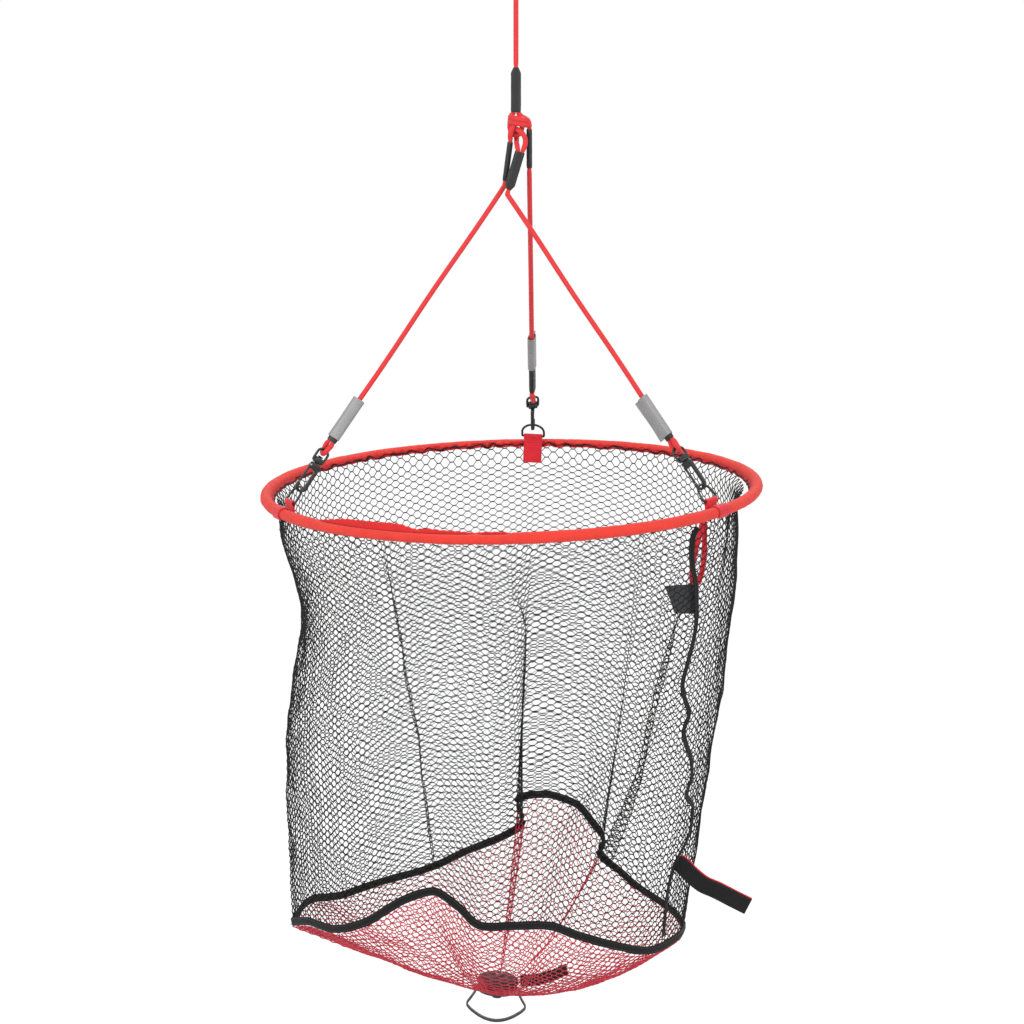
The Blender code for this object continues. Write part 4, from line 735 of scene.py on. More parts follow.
@dataclass(frozen=True)
class Reflector:
    """Grey reflective tape: a fine honeycomb of cells under a clear face."""

    name: str
    colour: Triple
    cell: float = 0.0011

    def build(self) -> bpy.types.Material:
        """Makes the material.

        Returns:
            The material.
        """
        bench = Bench(self.name)
        bench.set(Roughness=0.5, Coat_Weight=0.25, Coat_Roughness=0.3, Specular_IOR_Level=0.45)
        where = bench.add("ShaderNodeTexCoord")
        cells = bench.add("ShaderNodeTexVoronoi", feature="DISTANCE_TO_EDGE")
        cells.inputs["Scale"].default_value = 1.0 / self.cell
        cells.inputs["Randomness"].default_value = 0.25
        bench.join(where, "Object", cells, "Vector")
        patch = bench.mottle(45.0, 3.0)
        edge = bench.maths("MINIMUM", bench.maths("MULTIPLY", (cells, "Distance"), 6.0), 1.0)
        tone = bench.mixed(edge, 0.35, (patch, "Fac"))
        stops = ((0.2, shade(self.colour, 0.75)), (0.6, self.colour), (0.9, shade(self.colour, 1.15)))
        bench.blend(tone, stops)
        bench.relief(edge, 0.0001, 0.4)
        return bench.material


class Finishes:
    """Every finish of the net, made once."""

    def __init__(self) -> None:
        """Builds the materials."""
        red, dark_red = (0.95, 0.058, 0.040), (0.80, 0.034, 0.038)
        self.rope = Braid("red braided cord", dark_red).build()
        self.casing = Cloth("red casing cloth", red, 0.0007, sheen=0.12, rib=0.0019).build()
        # The seam allowance is the casing's own red cloth, darkened as painted shade in its gathers.
        self.casing_edge_painted_shade = Cloth("red casing edge in painted shade", (0.62, 0.018, 0.026), 0.0007, sheen=0.12).build()
        # The folded edge is the casing's own red cloth, darkened as painted shade where it stands behind the
        # tube.
        self.casing_fold_painted_shade = Cloth("red casing fold in painted shade", (0.78, 0.034, 0.032), 0.0007, sheen=0.12).build()
        self.red_webbing = Cloth("red webbing", (0.80, 0.021, 0.038), 0.0012, Texture.RIBBED, 0.75).build()
        black = (0.009, 0.0086, 0.009)
        self.black_tape = Cloth("black binding tape", black, 0.0009, Texture.RIBBED, 0.8, 0.03).build()
        self.label = Cloth("bare grey label", (0.055, 0.056, 0.062), 0.0004).build()
        self.black_twine = Twine("black mesh twine", (0.006, 0.006, 0.0065), 0.75, 0.02).build()
        self.red_twine = Twine("red mesh twine", (0.74, 0.036, 0.072), 0.7, 0.08).build()
        self.red_thread = Twine("red stitching", (0.62, 0.02, 0.02), 0.5).build()
        # Real stitching on the fold's seam, made dark so that it also paints the shade in the crease under
        # the fold.
        self.dark_stitches_and_crease_shade = Twine("dark red stitching and painted crease shade", (0.20, 0.006, 0.010), 0.7).build()
        self.black_thread = Twine("black stitching", (0.03, 0.03, 0.032), 0.5).build()
        self.shrink = Moulding(
            "black shrink tube", (0.012, 0.0118, 0.012), (0.024, 0.024, 0.0245), (0.40, 0.58), 900.0, 0.0002
        ).build()
        self.hook = Moulding(
            "black hook", (0.009, 0.009, 0.0095), (0.026, 0.026, 0.027), (0.30, 0.48), 1200.0, 0.0001, 0.1
        ).build()
        self.rubber = Moulding(
            "black rubber", (0.018, 0.018, 0.0185), (0.036, 0.036, 0.037), (0.5, 0.7), 700.0, 0.0003
        ).build()
        self.bail = Moulding(
            "dark strap", (0.036, 0.037, 0.041), (0.075, 0.077, 0.083), (0.36, 0.5), 800.0, 0.0002
        ).build()
        self.black_steel = Metal(
            "blackened steel", (0.022, 0.022, 0.023), (0.10, 0.10, 0.105), 0.6, (0.3, 0.5)
        ).build()
        self.steel = Metal("bright steel", (0.50, 0.50, 0.51), (0.72, 0.72, 0.72), 1.0, (0.22, 0.4)).build()
        self.reflector = Reflector("grey reflective tape", (0.33, 0.33, 0.332)).build()


# Geometry Nodes


class NodeShop:
    """Geometry Nodes trees for the net's twine and for stitches, each with named inputs."""

    def __init__(self) -> None:
        """Builds both trees."""
        sizes = (("Radius", "Float"), ("Sides", "Int"), ("Finish", "Material"))
        self.twine = self._tree("twine along wires", sizes)
        self._wire_twine()
        sizes = (("Pitch", "Float"), ("Length", "Float"), ("Thread", "Float"), ("Finish", "Material"))
        self.stitch = self._tree("stitches along a line", sizes)
        self._wire_stitch()

    def _tree(self, name: str, inputs: Sequence[tuple[str, str]]) -> bpy.types.NodeTree:
        """Starts a tree with its geometry and the named inputs.

        Args:
            name: The tree's name.
            inputs: Its inputs' names and types.

        Returns:
            The tree.
        """
        tree = bpy.data.node_groups.new(name, "GeometryNodeTree")
        tree.interface.new_socket("Geometry", in_out="INPUT", socket_type="NodeSocketGeometry")
        for label, kind in inputs:
            tree.interface.new_socket(label, in_out="INPUT", socket_type=f"NodeSocket{kind}")
        tree.interface.new_socket("Geometry", in_out="OUTPUT", socket_type="NodeSocketGeometry")
        return tree

    def _end(self, tree: bpy.types.NodeTree, given: bpy.types.Node, made: bpy.types.NodeSocket) -> None:
        """Smooths what a tree has made, gives it its finish and hands it out.

        Args:
            tree: The tree.
            given: The node with its inputs.
            made: The output with what it has made.
        """
        for kind in ("GeometryNodeSetShadeSmooth", "GeometryNodeRealizeInstances", "GeometryNodeSetMaterial"):
            node = tree.nodes.new(kind)
            tree.links.new(made, node.inputs["Geometry"])
            made = node.outputs["Geometry"]
        tree.links.new(given.outputs["Finish"], node.inputs["Material"])
        tree.links.new(made, tree.nodes.new("NodeGroupOutput").inputs["Geometry"])

    def _wire_twine(self) -> None:
        """Sweeps a round profile along every line of a wire mesh."""
        tree = self.twine
        given = tree.nodes.new("NodeGroupInput")
        lines = tree.nodes.new("GeometryNodeMeshToCurve")
        ring = tree.nodes.new("GeometryNodeCurvePrimitiveCircle")
        sweep = tree.nodes.new("GeometryNodeCurveToMesh")
        sweep.inputs["Fill Caps"].default_value = True
        links = tree.links
        links.new(given.outputs["Geometry"], lines.inputs["Mesh"])
        links.new(given.outputs["Sides"], ring.inputs["Resolution"])
        links.new(given.outputs["Radius"], ring.inputs["Radius"])
        links.new(lines.outputs["Curve"], sweep.inputs["Curve"])
        links.new(ring.outputs["Curve"], sweep.inputs["Profile Curve"])
        self._end(tree, given, sweep.outputs["Mesh"])

    def _wire_stitch(self) -> None:
        """Sets a small pointed thread at even steps along a line."""
        tree = self.stitch
        given = tree.nodes.new("NodeGroupInput")
        lines = tree.nodes.new("GeometryNodeMeshToCurve")
        steps = tree.nodes.new("GeometryNodeResampleCurve")
        steps.mode = "LENGTH"
        bead = tree.nodes.new("GeometryNodeMeshUVSphere")
        for label, value in (("Segments", 6), ("Rings", 4), ("Radius", 1.0)):
            bead.inputs[label].default_value = value
        shape = tree.nodes.new("ShaderNodeCombineXYZ")
        thread = tree.nodes.new("GeometryNodeTransform")
        tangent = tree.nodes.new("GeometryNodeInputTangent")
        turn = tree.nodes.new("FunctionNodeAlignRotationToVector")
        turn.axis = "Z"
        place = tree.nodes.new("GeometryNodeInstanceOnPoints")
        links = tree.links
        links.new(given.outputs["Geometry"], lines.inputs["Mesh"])
        links.new(lines.outputs["Curve"], steps.inputs["Curve"])
        links.new(given.outputs["Pitch"], steps.inputs["Length"])
        for axis, source in (("X", "Thread"), ("Y", "Thread"), ("Z", "Length")):
            links.new(given.outputs[source], shape.inputs[axis])
        links.new(bead.outputs["Mesh"], thread.inputs["Geometry"])
        links.new(shape.outputs["Vector"], thread.inputs["Scale"])
        links.new(tangent.outputs["Tangent"], turn.inputs["Vector"])
        links.new(steps.outputs["Curve"], place.inputs["Points"])
        links.new(thread.outputs["Geometry"], place.inputs["Instance"])
        links.new(turn.outputs["Rotation"], place.inputs["Rotation"])
        self._end(tree, given, place.outputs["Instances"])

    def run(self, tree: bpy.types.NodeTree, lines: Sequence[np.ndarray], **values: object) -> bpy.types.Mesh:
        """Runs a tree over open lines of points.

        Args:
            tree: One of this shop's trees.
            lines: The lines, each an array of points.
            values: The tree's inputs by name.

        Returns:
            The plain mesh that the tree makes.
        """
        points = np.vstack(lines)
        edges = []
        start = 0
        for line in lines:
            edges += [(start + k, start + k + 1) for k in range(len(line) - 1)]
            start += len(line)
        wires = bpy.data.meshes.new("wires")
        wires.from_pydata(points.tolist(), edges, [])
        holder = bpy.data.objects.new("wires", wires)
        bpy.context.scene.collection.objects.link(holder)
        modifier = holder.modifiers.new("run", "NODES")
        modifier.node_group = tree
        for item in tree.interface.items_tree:
            if item.in_out == "INPUT" and item.name in values:
                modifier[item.identifier] = values[item.name]
        mesh = settled(holder)
        bpy.data.meshes.remove(wires)
        return mesh


# The workshop


class Workshop:
    """Finishes, node trees and the shelf that every piece goes through."""

    def __init__(self) -> None:
        """Makes the finishes, the trees and the collection."""
        self.finish = Finishes()
        self.nodes = NodeShop()
        self.shelf = bpy.data.collections.new("drop net dressed")
        bpy.context.scene.collection.children.link(self.shelf)

    def add(
        self,
        name: str,
        mesh: bpy.types.Mesh,
        finish: bpy.types.Material,
        slot: str,
        node: str = "",
        body: str = Body.NET.value,
    ) -> bpy.types.Object:
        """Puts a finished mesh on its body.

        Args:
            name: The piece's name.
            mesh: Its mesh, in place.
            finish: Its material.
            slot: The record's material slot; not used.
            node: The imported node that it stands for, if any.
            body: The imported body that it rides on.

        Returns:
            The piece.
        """
        mesh.name = name
        mesh.materials.clear()
        mesh.materials.append(finish)
        piece = bpy.data.objects.new(name, mesh)
        self.shelf.objects.link(piece)
        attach(piece, body)
        if node:
            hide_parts(node)
        LOG.info("%s: %d faces on %s", name, len(mesh.polygons), body)
        return piece

    def stitches(
        self, name: str, lines: Sequence[np.ndarray], finish: bpy.types.Material, slot: str, pitch: float
    ) -> None:
        """Adds a row of stitches along each line, riding on the net.

        Args:
            name: The piece's name.
            lines: The lines, each an array of points.
            finish: The thread's material.
            slot: The record's material slot.
            pitch: The step from stitch to stitch.
        """
        sizes = {"Pitch": pitch, "Length": 0.42 * pitch, "Thread": 0.00035}
        mesh = self.nodes.run(self.nodes.stitch, lines, Finish=finish, **sizes)
        self.add(name, mesh, finish, slot)

    def repaint(self, finish: bpy.types.Material, *nodes: str) -> None:
        """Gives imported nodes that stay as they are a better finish.

        Args:
            finish: The material.
            nodes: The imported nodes.
        """
        for node in nodes:
            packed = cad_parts[node]
            packed.data.materials.clear()
            packed.data.materials.append(finish)
            LOG.info("%s: packed node kept, %s", node, finish.name)


# Places shared by the pieces


@dataclass(frozen=True)
class Rim:
    """The hoop's place: its centre, its lean to the left, and where the legs meet it."""

    centre_x: float = -0.0052
    height: float = -0.7643
    lean: float = math.radians(1.4)
    radius: float = 0.293
    casing_radius: float = 0.007
    bar_radius: float = 0.2818
    bar_height: float = 0.0125
    azimuths: Triple = (204.3, 324.3, 84.3)

    def matrix(self) -> Matrix:
        """The hoop's place as a matrix."""
        return Matrix.Translation((self.centre_x, 0, self.height)) @ Matrix.Rotation(-self.lean, 4, "Y")

    def point(self, azimuth: float, radius: float, height: float) -> Vector:
        """A point by its angle and radius about the hoop and its height over the hoop's plane."""
        return self.matrix() @ Vector((radius * math.cos(azimuth), radius * math.sin(azimuth), height))

    def points(
        self, azimuth: np.ndarray, radius: np.ndarray | float, height: np.ndarray | float
    ) -> np.ndarray:
        """The same for many points.

        Args:
            azimuth: The angles round the hoop.
            radius: The distance from the hoop's axis.
            height: The height over the hoop's plane.

        Returns:
            The points.
        """
        turn = np.array(self.matrix().to_3x3())
        level = height * np.ones_like(azimuth)
        local = np.stack([radius * np.cos(azimuth), radius * np.sin(azimuth), level], -1)
        return local @ turn.T + np.array([self.centre_x, 0, self.height])

    def azimuth(self, side: Side) -> float:
        """The angle at which a leg meets the hoop."""
        return math.radians(self.azimuths[list(Side).index(side)])


@dataclass(frozen=True)
class Crease:
    """A line where the net is gathered: its course from row to row, its reach and how hard it is pinched."""

    course: tuple[Pair, ...]
    behind: bool
    reach: float
    pinch: float
    depth: float
    tuck: float = 0.0


@dataclass(frozen=True)
class BagForm:
    """The bag's surface, by the share of the way round and the share of the way down."""

    rim: Rim = Rim()
    hem_radius: float = 0.2851
    wall_top: float = -0.0118
    tab_foot: float = -0.0238
    neck_level: float = -0.05
    lip_depth: float = 0.012
    lip_level: float = 0.12
    waist_depth: float = 0.0125
    waist_bias: float = 0.0125
    waist_level: float = 0.28
    tab_hold: float = 7.4
    tab_release: float = 14.0
    band_height: float = 0.0090
    edge_gap: float = 0.0018
    base_offset: float = -0.0172
    base_depth: float = 0.6230
    base_lean: float = math.radians(4)
    flat_radius: float = 0.0285
    steepness: float = 1.55
    bias: float = 0.25
    columns: int = 672
    band_back: tuple[Triple, ...] = (
        (-0.269, 0.000, -0.542), (-0.251, 0.060, -0.534), (-0.216, 0.120, -0.547),
        (-0.168, 0.165, -0.544), (-0.105, 0.200, -0.536), (-0.060, 0.215, -0.519),
        (-0.022, 0.220, -0.505), (0.000, 0.220, -0.494), (0.0105, 0.214, -0.485),
        (0.0145, 0.210, -0.474), (0.0095, 0.222, -0.463), (0.0085, 0.226, -0.453),
        (0.020, 0.222, -0.446), (0.047, 0.226, -0.446), (0.070, 0.222, -0.451),
        (0.088, 0.215, -0.459), (0.101, 0.208, -0.474), (0.113, 0.203, -0.488),
        (0.119, 0.190, -0.497), (0.112, 0.182, -0.506), (0.118, 0.180, -0.517),
        (0.137, 0.170, -0.530), (0.163, 0.140, -0.544), (0.196, 0.075, -0.548),
        (0.213, 0.010, -0.550),
    )
    band_front: tuple[Triple, ...] = (
        (0.213, 0.010, -0.550), (0.201, -0.045, -0.546), (0.165, -0.110, -0.541),
        (0.122, -0.155, -0.520), (0.080, -0.185, -0.498), (0.045, -0.205, -0.479),
        (0.004, -0.222, -0.473), (-0.036, -0.225, -0.472), (-0.060, -0.218, -0.453),
        (-0.077, -0.212, -0.441), (-0.094, -0.208, -0.436), (-0.130, -0.195, -0.453),
        (-0.172, -0.165, -0.488), (-0.210, -0.120, -0.511), (-0.246, -0.055, -0.523),
        (-0.269, 0.000, -0.542),
    )

    def centre(self) -> np.ndarray:
        """The hoop's centre."""
        return np.array([self.rim.centre_x, 0, self.rim.height])

    def base(self) -> Matrix:
        """The weighted base's place, leaning down to the right."""
        x, z = self.rim.centre_x + self.base_offset, self.rim.height - self.base_depth
        return Matrix.Translation((x, 0, z)) @ Matrix.Rotation(self.base_lean, 4, "Y")

    def band_line(self) -> tuple[np.ndarray, np.ndarray]:
        """The band's centre line and its upward direction, at even steps of each half.

        Returns:
            The points, and which way is up there.
        """
        places = []
        for points in (self.band_back, self.band_front):
            dense = smooth_route(points, 0.002)
            lengths = np.concatenate([[0.0], np.cumsum(np.linalg.norm(np.diff(dense, axis=0), axis=1))])
            wanted = lengths[-1] * np.arange(self.columns // 2) / (self.columns // 2)
            places.append(np.column_stack([np.interp(wanted, lengths, dense[:, k]) for k in range(3)]))
        line = np.vstack(places) + self.centre()
        along = unit(np.roll(line, -1, 0) - np.roll(line, 1, 0))
        outward = unit(np.column_stack([along[:, 1], -along[:, 0], np.zeros(len(along))]))
        up = np.cross(along, outward)
        up[up[:, 2] < 0] *= -1
        steep = np.clip((0.55 - up[:, 2]) / 0.25, 0, 1)[:, None]
        middle = unit(self.centre() + np.array([0, 0, line[:, 2].mean() - self.centre()[2]]) - line)
        up = unit(up * (1 - steep) + (0.75 * np.array([0, 0, 1.0]) - 0.66 * middle) * steep)
        calm = np.ones(9) / 9
        loop = np.vstack([up[-4:], up, up[:4]])
        up = unit(np.column_stack([np.convolve(loop[:, k], calm, "valid") for k in range(3)]))
        return line, up

    def band_at(self, shares: np.ndarray) -> tuple[np.ndarray, np.ndarray]:
        """The band's places and upward directions at any shares of the way round.

        Args:
            shares: The shares of the way round.

        Returns:
            The places, and which way is up there.
        """
        line, up = self.band_line()
        position = (shares % 1.0) * self.columns
        index = np.floor(position).astype(int) % self.columns
        rest = (position - np.floor(position))[..., None]
        after = (index + 1) % self.columns
        return line[index] * (1 - rest) + line[after] * rest, unit(up[index] * (1 - rest) + up[after] * rest)

    def release(self, azimuths: np.ndarray) -> np.ndarray:
        """How freely the net falls inwards from the hoop: not at all behind a tab, fully away from it.

        Args:
            azimuths: The angles round the hoop.

        Returns:
            How free the wall is, from 0 to 1.
        """
        free = np.ones_like(azimuths)
        for degrees in self.rim.azimuths:
            apart = np.abs((np.degrees(azimuths) - degrees + 180) % 360 - 180)
            share = (apart - self.tab_hold) / (self.tab_release - self.tab_hold)
            free = np.minimum(free, np.clip(share, 0, 1))
        return free

    def wall(self, shares: np.ndarray, levels: np.ndarray) -> np.ndarray:
        """Points of the black wall: level 0 is under the tabs and 1 is the band.

        Args:
            shares: The shares of the way round.
            levels: The levels down the net.

        Returns:
            The wall's points.
        """
        azimuth = math.pi - math.tau * shares
        inward = np.stack([-np.cos(azimuth), -np.sin(azimuth), np.zeros_like(azimuth)], -1)
        lip = self.lip_depth * self.release(azimuth) * (0.85 + 0.55 * np.clip(np.cos(azimuth), 0, 1) ** 2)
        place, up = self.band_at(shares)
        top = self.rim.points(azimuth, self.hem_radius, self.tab_foot)
        foot = place + up * (self.band_height / 2 + self.edge_gap)
        level = np.maximum(levels, 0.0)
        ratio = (level / self.waist_level) ** 2
        pull = ratio * np.exp(1 - ratio) * (1 - level) / (1 - self.waist_level)
        waist = self.waist_depth - self.waist_bias * np.cos(azimuth)
        body = top * (1 - level[..., None]) + foot * level[..., None]
        body = body + inward * (waist * pull + lip * np.exp(-level / self.lip_level))[..., None]
        height = self.tab_foot + (self.wall_top - self.tab_foot) * levels / self.neck_level
        lip = lip * np.clip(0.30 - height / 0.014, 0, 1)
        low = np.clip(levels / self.neck_level, 0, 1)
        height = height + 0.0046 * np.clip(np.sin(azimuth), 0, 1) ** 1.5 * low
        neck = self.rim.points(azimuth, self.hem_radius, height) + inward * lip[..., None]
        return np.where((levels < 0)[..., None], neck, body)

    def floor(self, shares: np.ndarray, levels: np.ndarray) -> np.ndarray:
        """Points of the red floor: level 0 is the band and 1 is the edge of the base.

        Args:
            shares: The shares of the way round.
            levels: The levels down the net.

        Returns:
            The floor's points.
        """
        place, up = self.band_at(shares)
        base = self.base()
        turn = np.array(base.to_3x3())
        start = (place - up * (self.band_height / 2 + self.edge_gap) - np.array(base.translation)) @ turn
        reach = np.linalg.norm(start[..., :2], axis=-1)
        outward = start[..., :2] / reach[..., None]
        radius = reach + (self.flat_radius - reach) * levels
        steep = self.steepness + self.bias * outward[..., 0]
        height = start[..., 2] * np.maximum(1 - levels, 0.0) ** steep
        local = np.concatenate([outward * radius[..., None], height[..., None]], -1)
        return local @ turn.T + np.array(base.translation)

    def seam_frame(
        self, level: float, share: float, lift: float
    ) -> tuple[np.ndarray, np.ndarray, np.ndarray]:
        """A point lifted off the wall, with the directions round and out of it.

        Args:
            level: How far down the wall.
            share: How far round it.
            lift: How far out of it, in metres.

        Returns:
            The point, the direction round the wall and the direction out of it.
        """
        shares, levels = np.array([share, share + 0.003, share]), np.array([level, level, level + 0.01])
        here, ahead, below = self.wall(shares, levels)
        around = unit(ahead - here)
        outward = unit(np.cross(below - here, around))
        if outward[0] < 0:
            outward = -outward
        return here + outward * lift, around, outward

    def share_at(self, level: float, x: float, behind: bool) -> float:
        """The share of the way round at which the wall has an x, behind the bag or in front of it.

        Args:
            level: The level down the wall.
            x: The place across the picture.
            behind: Whether it is on the far side.

        Returns:
            The share of the way round.
        """
        shares = np.linspace(0.0, 0.5, 401) + (0.0 if behind else 0.5)
        found = self.wall(shares, np.full_like(shares, level))[:, 0]
        return float(shares[np.argmin(np.abs(found - x))])


# The wall's seam, as levels down the wall and shares of the way round it
SEAM = (
    (-0.045, 0.6180), (0.00, 0.6215), (0.06, 0.6190), (0.12, 0.6100), (0.20, 0.6020),
    (0.25, 0.6005), (0.31, 0.6030), (0.36, 0.6050), (0.40, 0.5985), (0.435, 0.5905),
    (0.473, 0.5945), (0.51, 0.5875), (0.55, 0.5760), (0.595, 0.5695), (0.625, 0.5725),
    (0.645, 0.5715), (0.67, 0.5590), (0.69, 0.5545), (0.75, 0.5545), (0.80, 0.5710),
    (0.84, 0.5755), (0.89, 0.5755), (0.985, 0.5700),
)


# The three long folds behind: how far down the wall, and the x there
BACK_LEFT_FOLD = ((0.10, -0.180), (0.25, -0.163), (0.45, -0.146), (0.70, -0.126), (1.0, -0.110))
BACK_MIDDLE_FOLD = ((0.24, -0.008), (0.36, 0.002), (0.48, 0.016), (0.62, 0.018), (1.0, 0.011))
BACK_RIGHT_FOLD = ((0.22, 0.222), (0.45, 0.193), (0.65, 0.170), (0.85, 0.145), (1.0, 0.119))


@dataclass(frozen=True)
class TopEye:
    """A leg's upper eye, from the main eye's lowest point: its sleeve, its strands' side and its bight."""

    top: Triple
    foot: Triple
    wide: Triple
    bight: tuple[Triple, ...]


TOP_EYES = {
    Side.LEFT: TopEye(
        (-0.0066, 0.0, -0.0080), (-0.0126, 0.0, -0.0535), (0, 1, 0),
        (
            (-0.0066, 0.0040, -0.0035), (-0.0064, 0.0066, 0.0020), (-0.0046, 0.0076, 0.0080),
            (-0.0018, 0.0054, 0.0122), (0.0, 0.0, 0.0132), (-0.0018, -0.0054, 0.0122),
            (-0.0046, -0.0076, 0.0080), (-0.0064, -0.0066, 0.0020), (-0.0066, -0.0040, -0.0035),
        ),
    ),
    Side.RIGHT: TopEye(
        (0.0048, -0.0118, -0.0185), (-0.0084, -0.0118, -0.0625), (0.958, 0, -0.286),
        (
            (0.0090, -0.0118, -0.0150), (0.0110, -0.0118, -0.0080), (0.0100, -0.0118, -0.0010),
            (0.0062, -0.0104, 0.0044), (0.0028, -0.0070, 0.0066), (0.0010, -0.0034, 0.0070),
            (0.0, 0.0, 0.0066), (0.0002, 0.0050, 0.0048), (0.0006, 0.0068, 0.0),
            (0.0008, 0.0050, -0.0052), (0.0008, -0.0010, -0.0086), (0.0012, -0.0078, -0.0104),
            (0.0018, -0.0118, -0.0140),
        ),
    ),
    Side.BACK: TopEye(
        (0.0156, 0.0005, 0.0070), (0.0158, 0.0040, -0.0375), (0, 1, 0.079),
        (
            (0.0156, 0.0042, 0.0112), (0.0146, 0.0056, 0.0158), (0.0112, 0.0064, 0.0190),
            (0.0070, 0.0066, 0.0198), (0.0030, 0.0056, 0.0198), (0.0006, 0.0032, 0.0196),
            (0.0, 0.0, 0.0196), (0.0006, -0.0032, 0.0196), (0.0030, -0.0056, 0.0198),
            (0.0070, -0.0066, 0.0198), (0.0112, -0.0062, 0.0190), (0.0146, -0.0048, 0.0158),
            (0.0156, -0.0034, 0.0112),
        ),
    ),
}


@dataclass(frozen=True)
class CordSizes:
    """The cord and the shrink sleeves that close its eyes."""

    radius: float = 0.0030
    squeezed: float = 0.0024
    gap: float = 0.0003
    sleeve_wall: float = 0.0008
    top_sleeve: float = 0.046
    sleeve_lead: float = 0.006
    bottom_sleeve: float = 0.055
    bottom_eye: float = 0.012
    junction: float = -0.343
    strands: int = 8
    lay_pitch: float = 0.0026
    swell: float = 0.00030

    @property
    def offset(self) -> float:
        """Half the distance between two strands in a sleeve."""
        return self.squeezed + self.gap / 2

    @property
    def bore(self) -> float:
        """The sleeve's inner radius round each strand."""
        return self.squeezed + self.gap

    def braided(self, route: np.ndarray) -> bpy.types.Mesh:
        """A braided cord along a route whose fourth column is its share of the full radius.

        Args:
            route: The route's points, with the share of the radius.

        Returns:
            The cord's mesh, with the braid's height as the attribute "lay".
        """
        route = even_route(route, 0.00068)
        sides = 5 * self.strands
        gaps = np.linalg.norm(np.diff(route[:, :3], axis=0), axis=1)
        down = np.concatenate([[0.0], np.cumsum(gaps)])[:, None] / self.lay_pitch
        round_share = (np.arange(sides) / sides * self.strands)[None, :]
        one, two = round_share + down, round_share - down
        part_one, part_two = one % 1.0, two % 1.0
        first_over = (np.floor(one) + np.floor(two)) % 2 == 0
        ridge = np.where(
            first_over,
            np.sin(math.pi * part_one) * (0.6 + 0.4 * np.sin(math.pi * part_two)),
            np.sin(math.pi * part_two) * (0.6 + 0.4 * np.sin(math.pi * part_one)),
        )
        radii = route[:, 3:4] * (self.radius - self.swell * 0.75 + self.swell * ridge)
        return skin(tube_rings(route[:, :3], radii, sides), lay=ridge)


@dataclass(frozen=True)
class SleeveForm:
    """One shrink sleeve: its ends, the side on which its strands lie and the end that is drawn in."""

    top: Vector
    foot: Vector
    wide: Vector
    draws_in_at_foot: bool
    sizes: CordSizes

    def axes(self) -> tuple[Vector, Vector, Vector]:
        """The directions down the sleeve, from strand to strand and square to both.

        Returns:
            The sleeve's axes.
        """
        axis = (self.foot - self.top).normalized()
        wide = (self.wide - axis * self.wide.dot(axis)).normalized()
        return axis, wide, axis.cross(wide)

    def mesh(self) -> bpy.types.Mesh:
        """The sleeve: wide over both strands, drawn in round one, a little uneven, with rolled ends.

        Returns:
            The mesh.
        """
        axis, wide, thin = self.axes()
        length = (self.foot - self.top).length
        outer, inner = [], []
        shares = [0.0, 0.015, 0.04] + [0.08 * k for k in range(1, 11)]
        shares += [0.85, 0.88, 0.91, 0.94, 0.965, 0.985, 1.0]
        for share in shares:
            spread = 1.0 if share < 0.86 else max(0.0, 1 - (share - 0.86) / 0.14)
            spread = spread * spread * (3 - 2 * spread)
            level = share if self.draws_in_at_foot else 1 - share
            centre = self.top + axis * (level * length)
            ends = min(share, 1 - share) * length
            curl = 0.00025 * math.exp(-((ends / 0.0012) ** 2))
            radius = self.sizes.bore + self.sizes.sleeve_wall - 0.0001 - curl
            outer.append(stadium(centre, wide, thin, self.sizes.offset * spread, radius, 36))
            inner.append(stadium(centre, wide, thin, self.sizes.offset * spread, self.sizes.bore, 36))
        skin_out = np.array(outer)
        middle = skin_out.mean(axis=1, keepdims=True)
        bumps = 1 + 0.022 * ripple(skin_out, 260.0, 3.0) + 0.02 * ripple(skin_out, 90.0, 8.0)
        skin_out = middle + (skin_out - middle) * np.clip(bumps, 0.96, 1.02)[..., None]
        return skin(np.concatenate([skin_out, np.array(inner)[::-1]]), loop=True)

    def strand(self, sign: int, live: bool) -> list[tuple[float, ...]]:
        """One strand's points from just outside the mouth, each with its share of the radius.

        Args:
            sign: On which side it lies.
            live: Whether it runs right through; the tail stops part way.

        Returns:
            The points.
        """
        mouth, far = (self.top, self.foot) if self.draws_in_at_foot else (self.foot, self.top)
        axis = (far - mouth).normalized()
        wide = (self.wide - axis * self.wide.dot(axis)).normalized()
        length = (far - mouth).length
        stops = [(-0.03, 1.0), (0.0, 1.0), (0.67, 1.0)]
        if live:
            stops += [(0.70, 1.0), (0.85, 0.5), (1.0, 0.0)]
        squeeze = self.sizes.squeezed / self.sizes.radius
        shift = sign * self.sizes.offset
        return [(*(mouth + axis * (s * length) + wide * (shift * spread)), squeeze) for s, spread in stops]


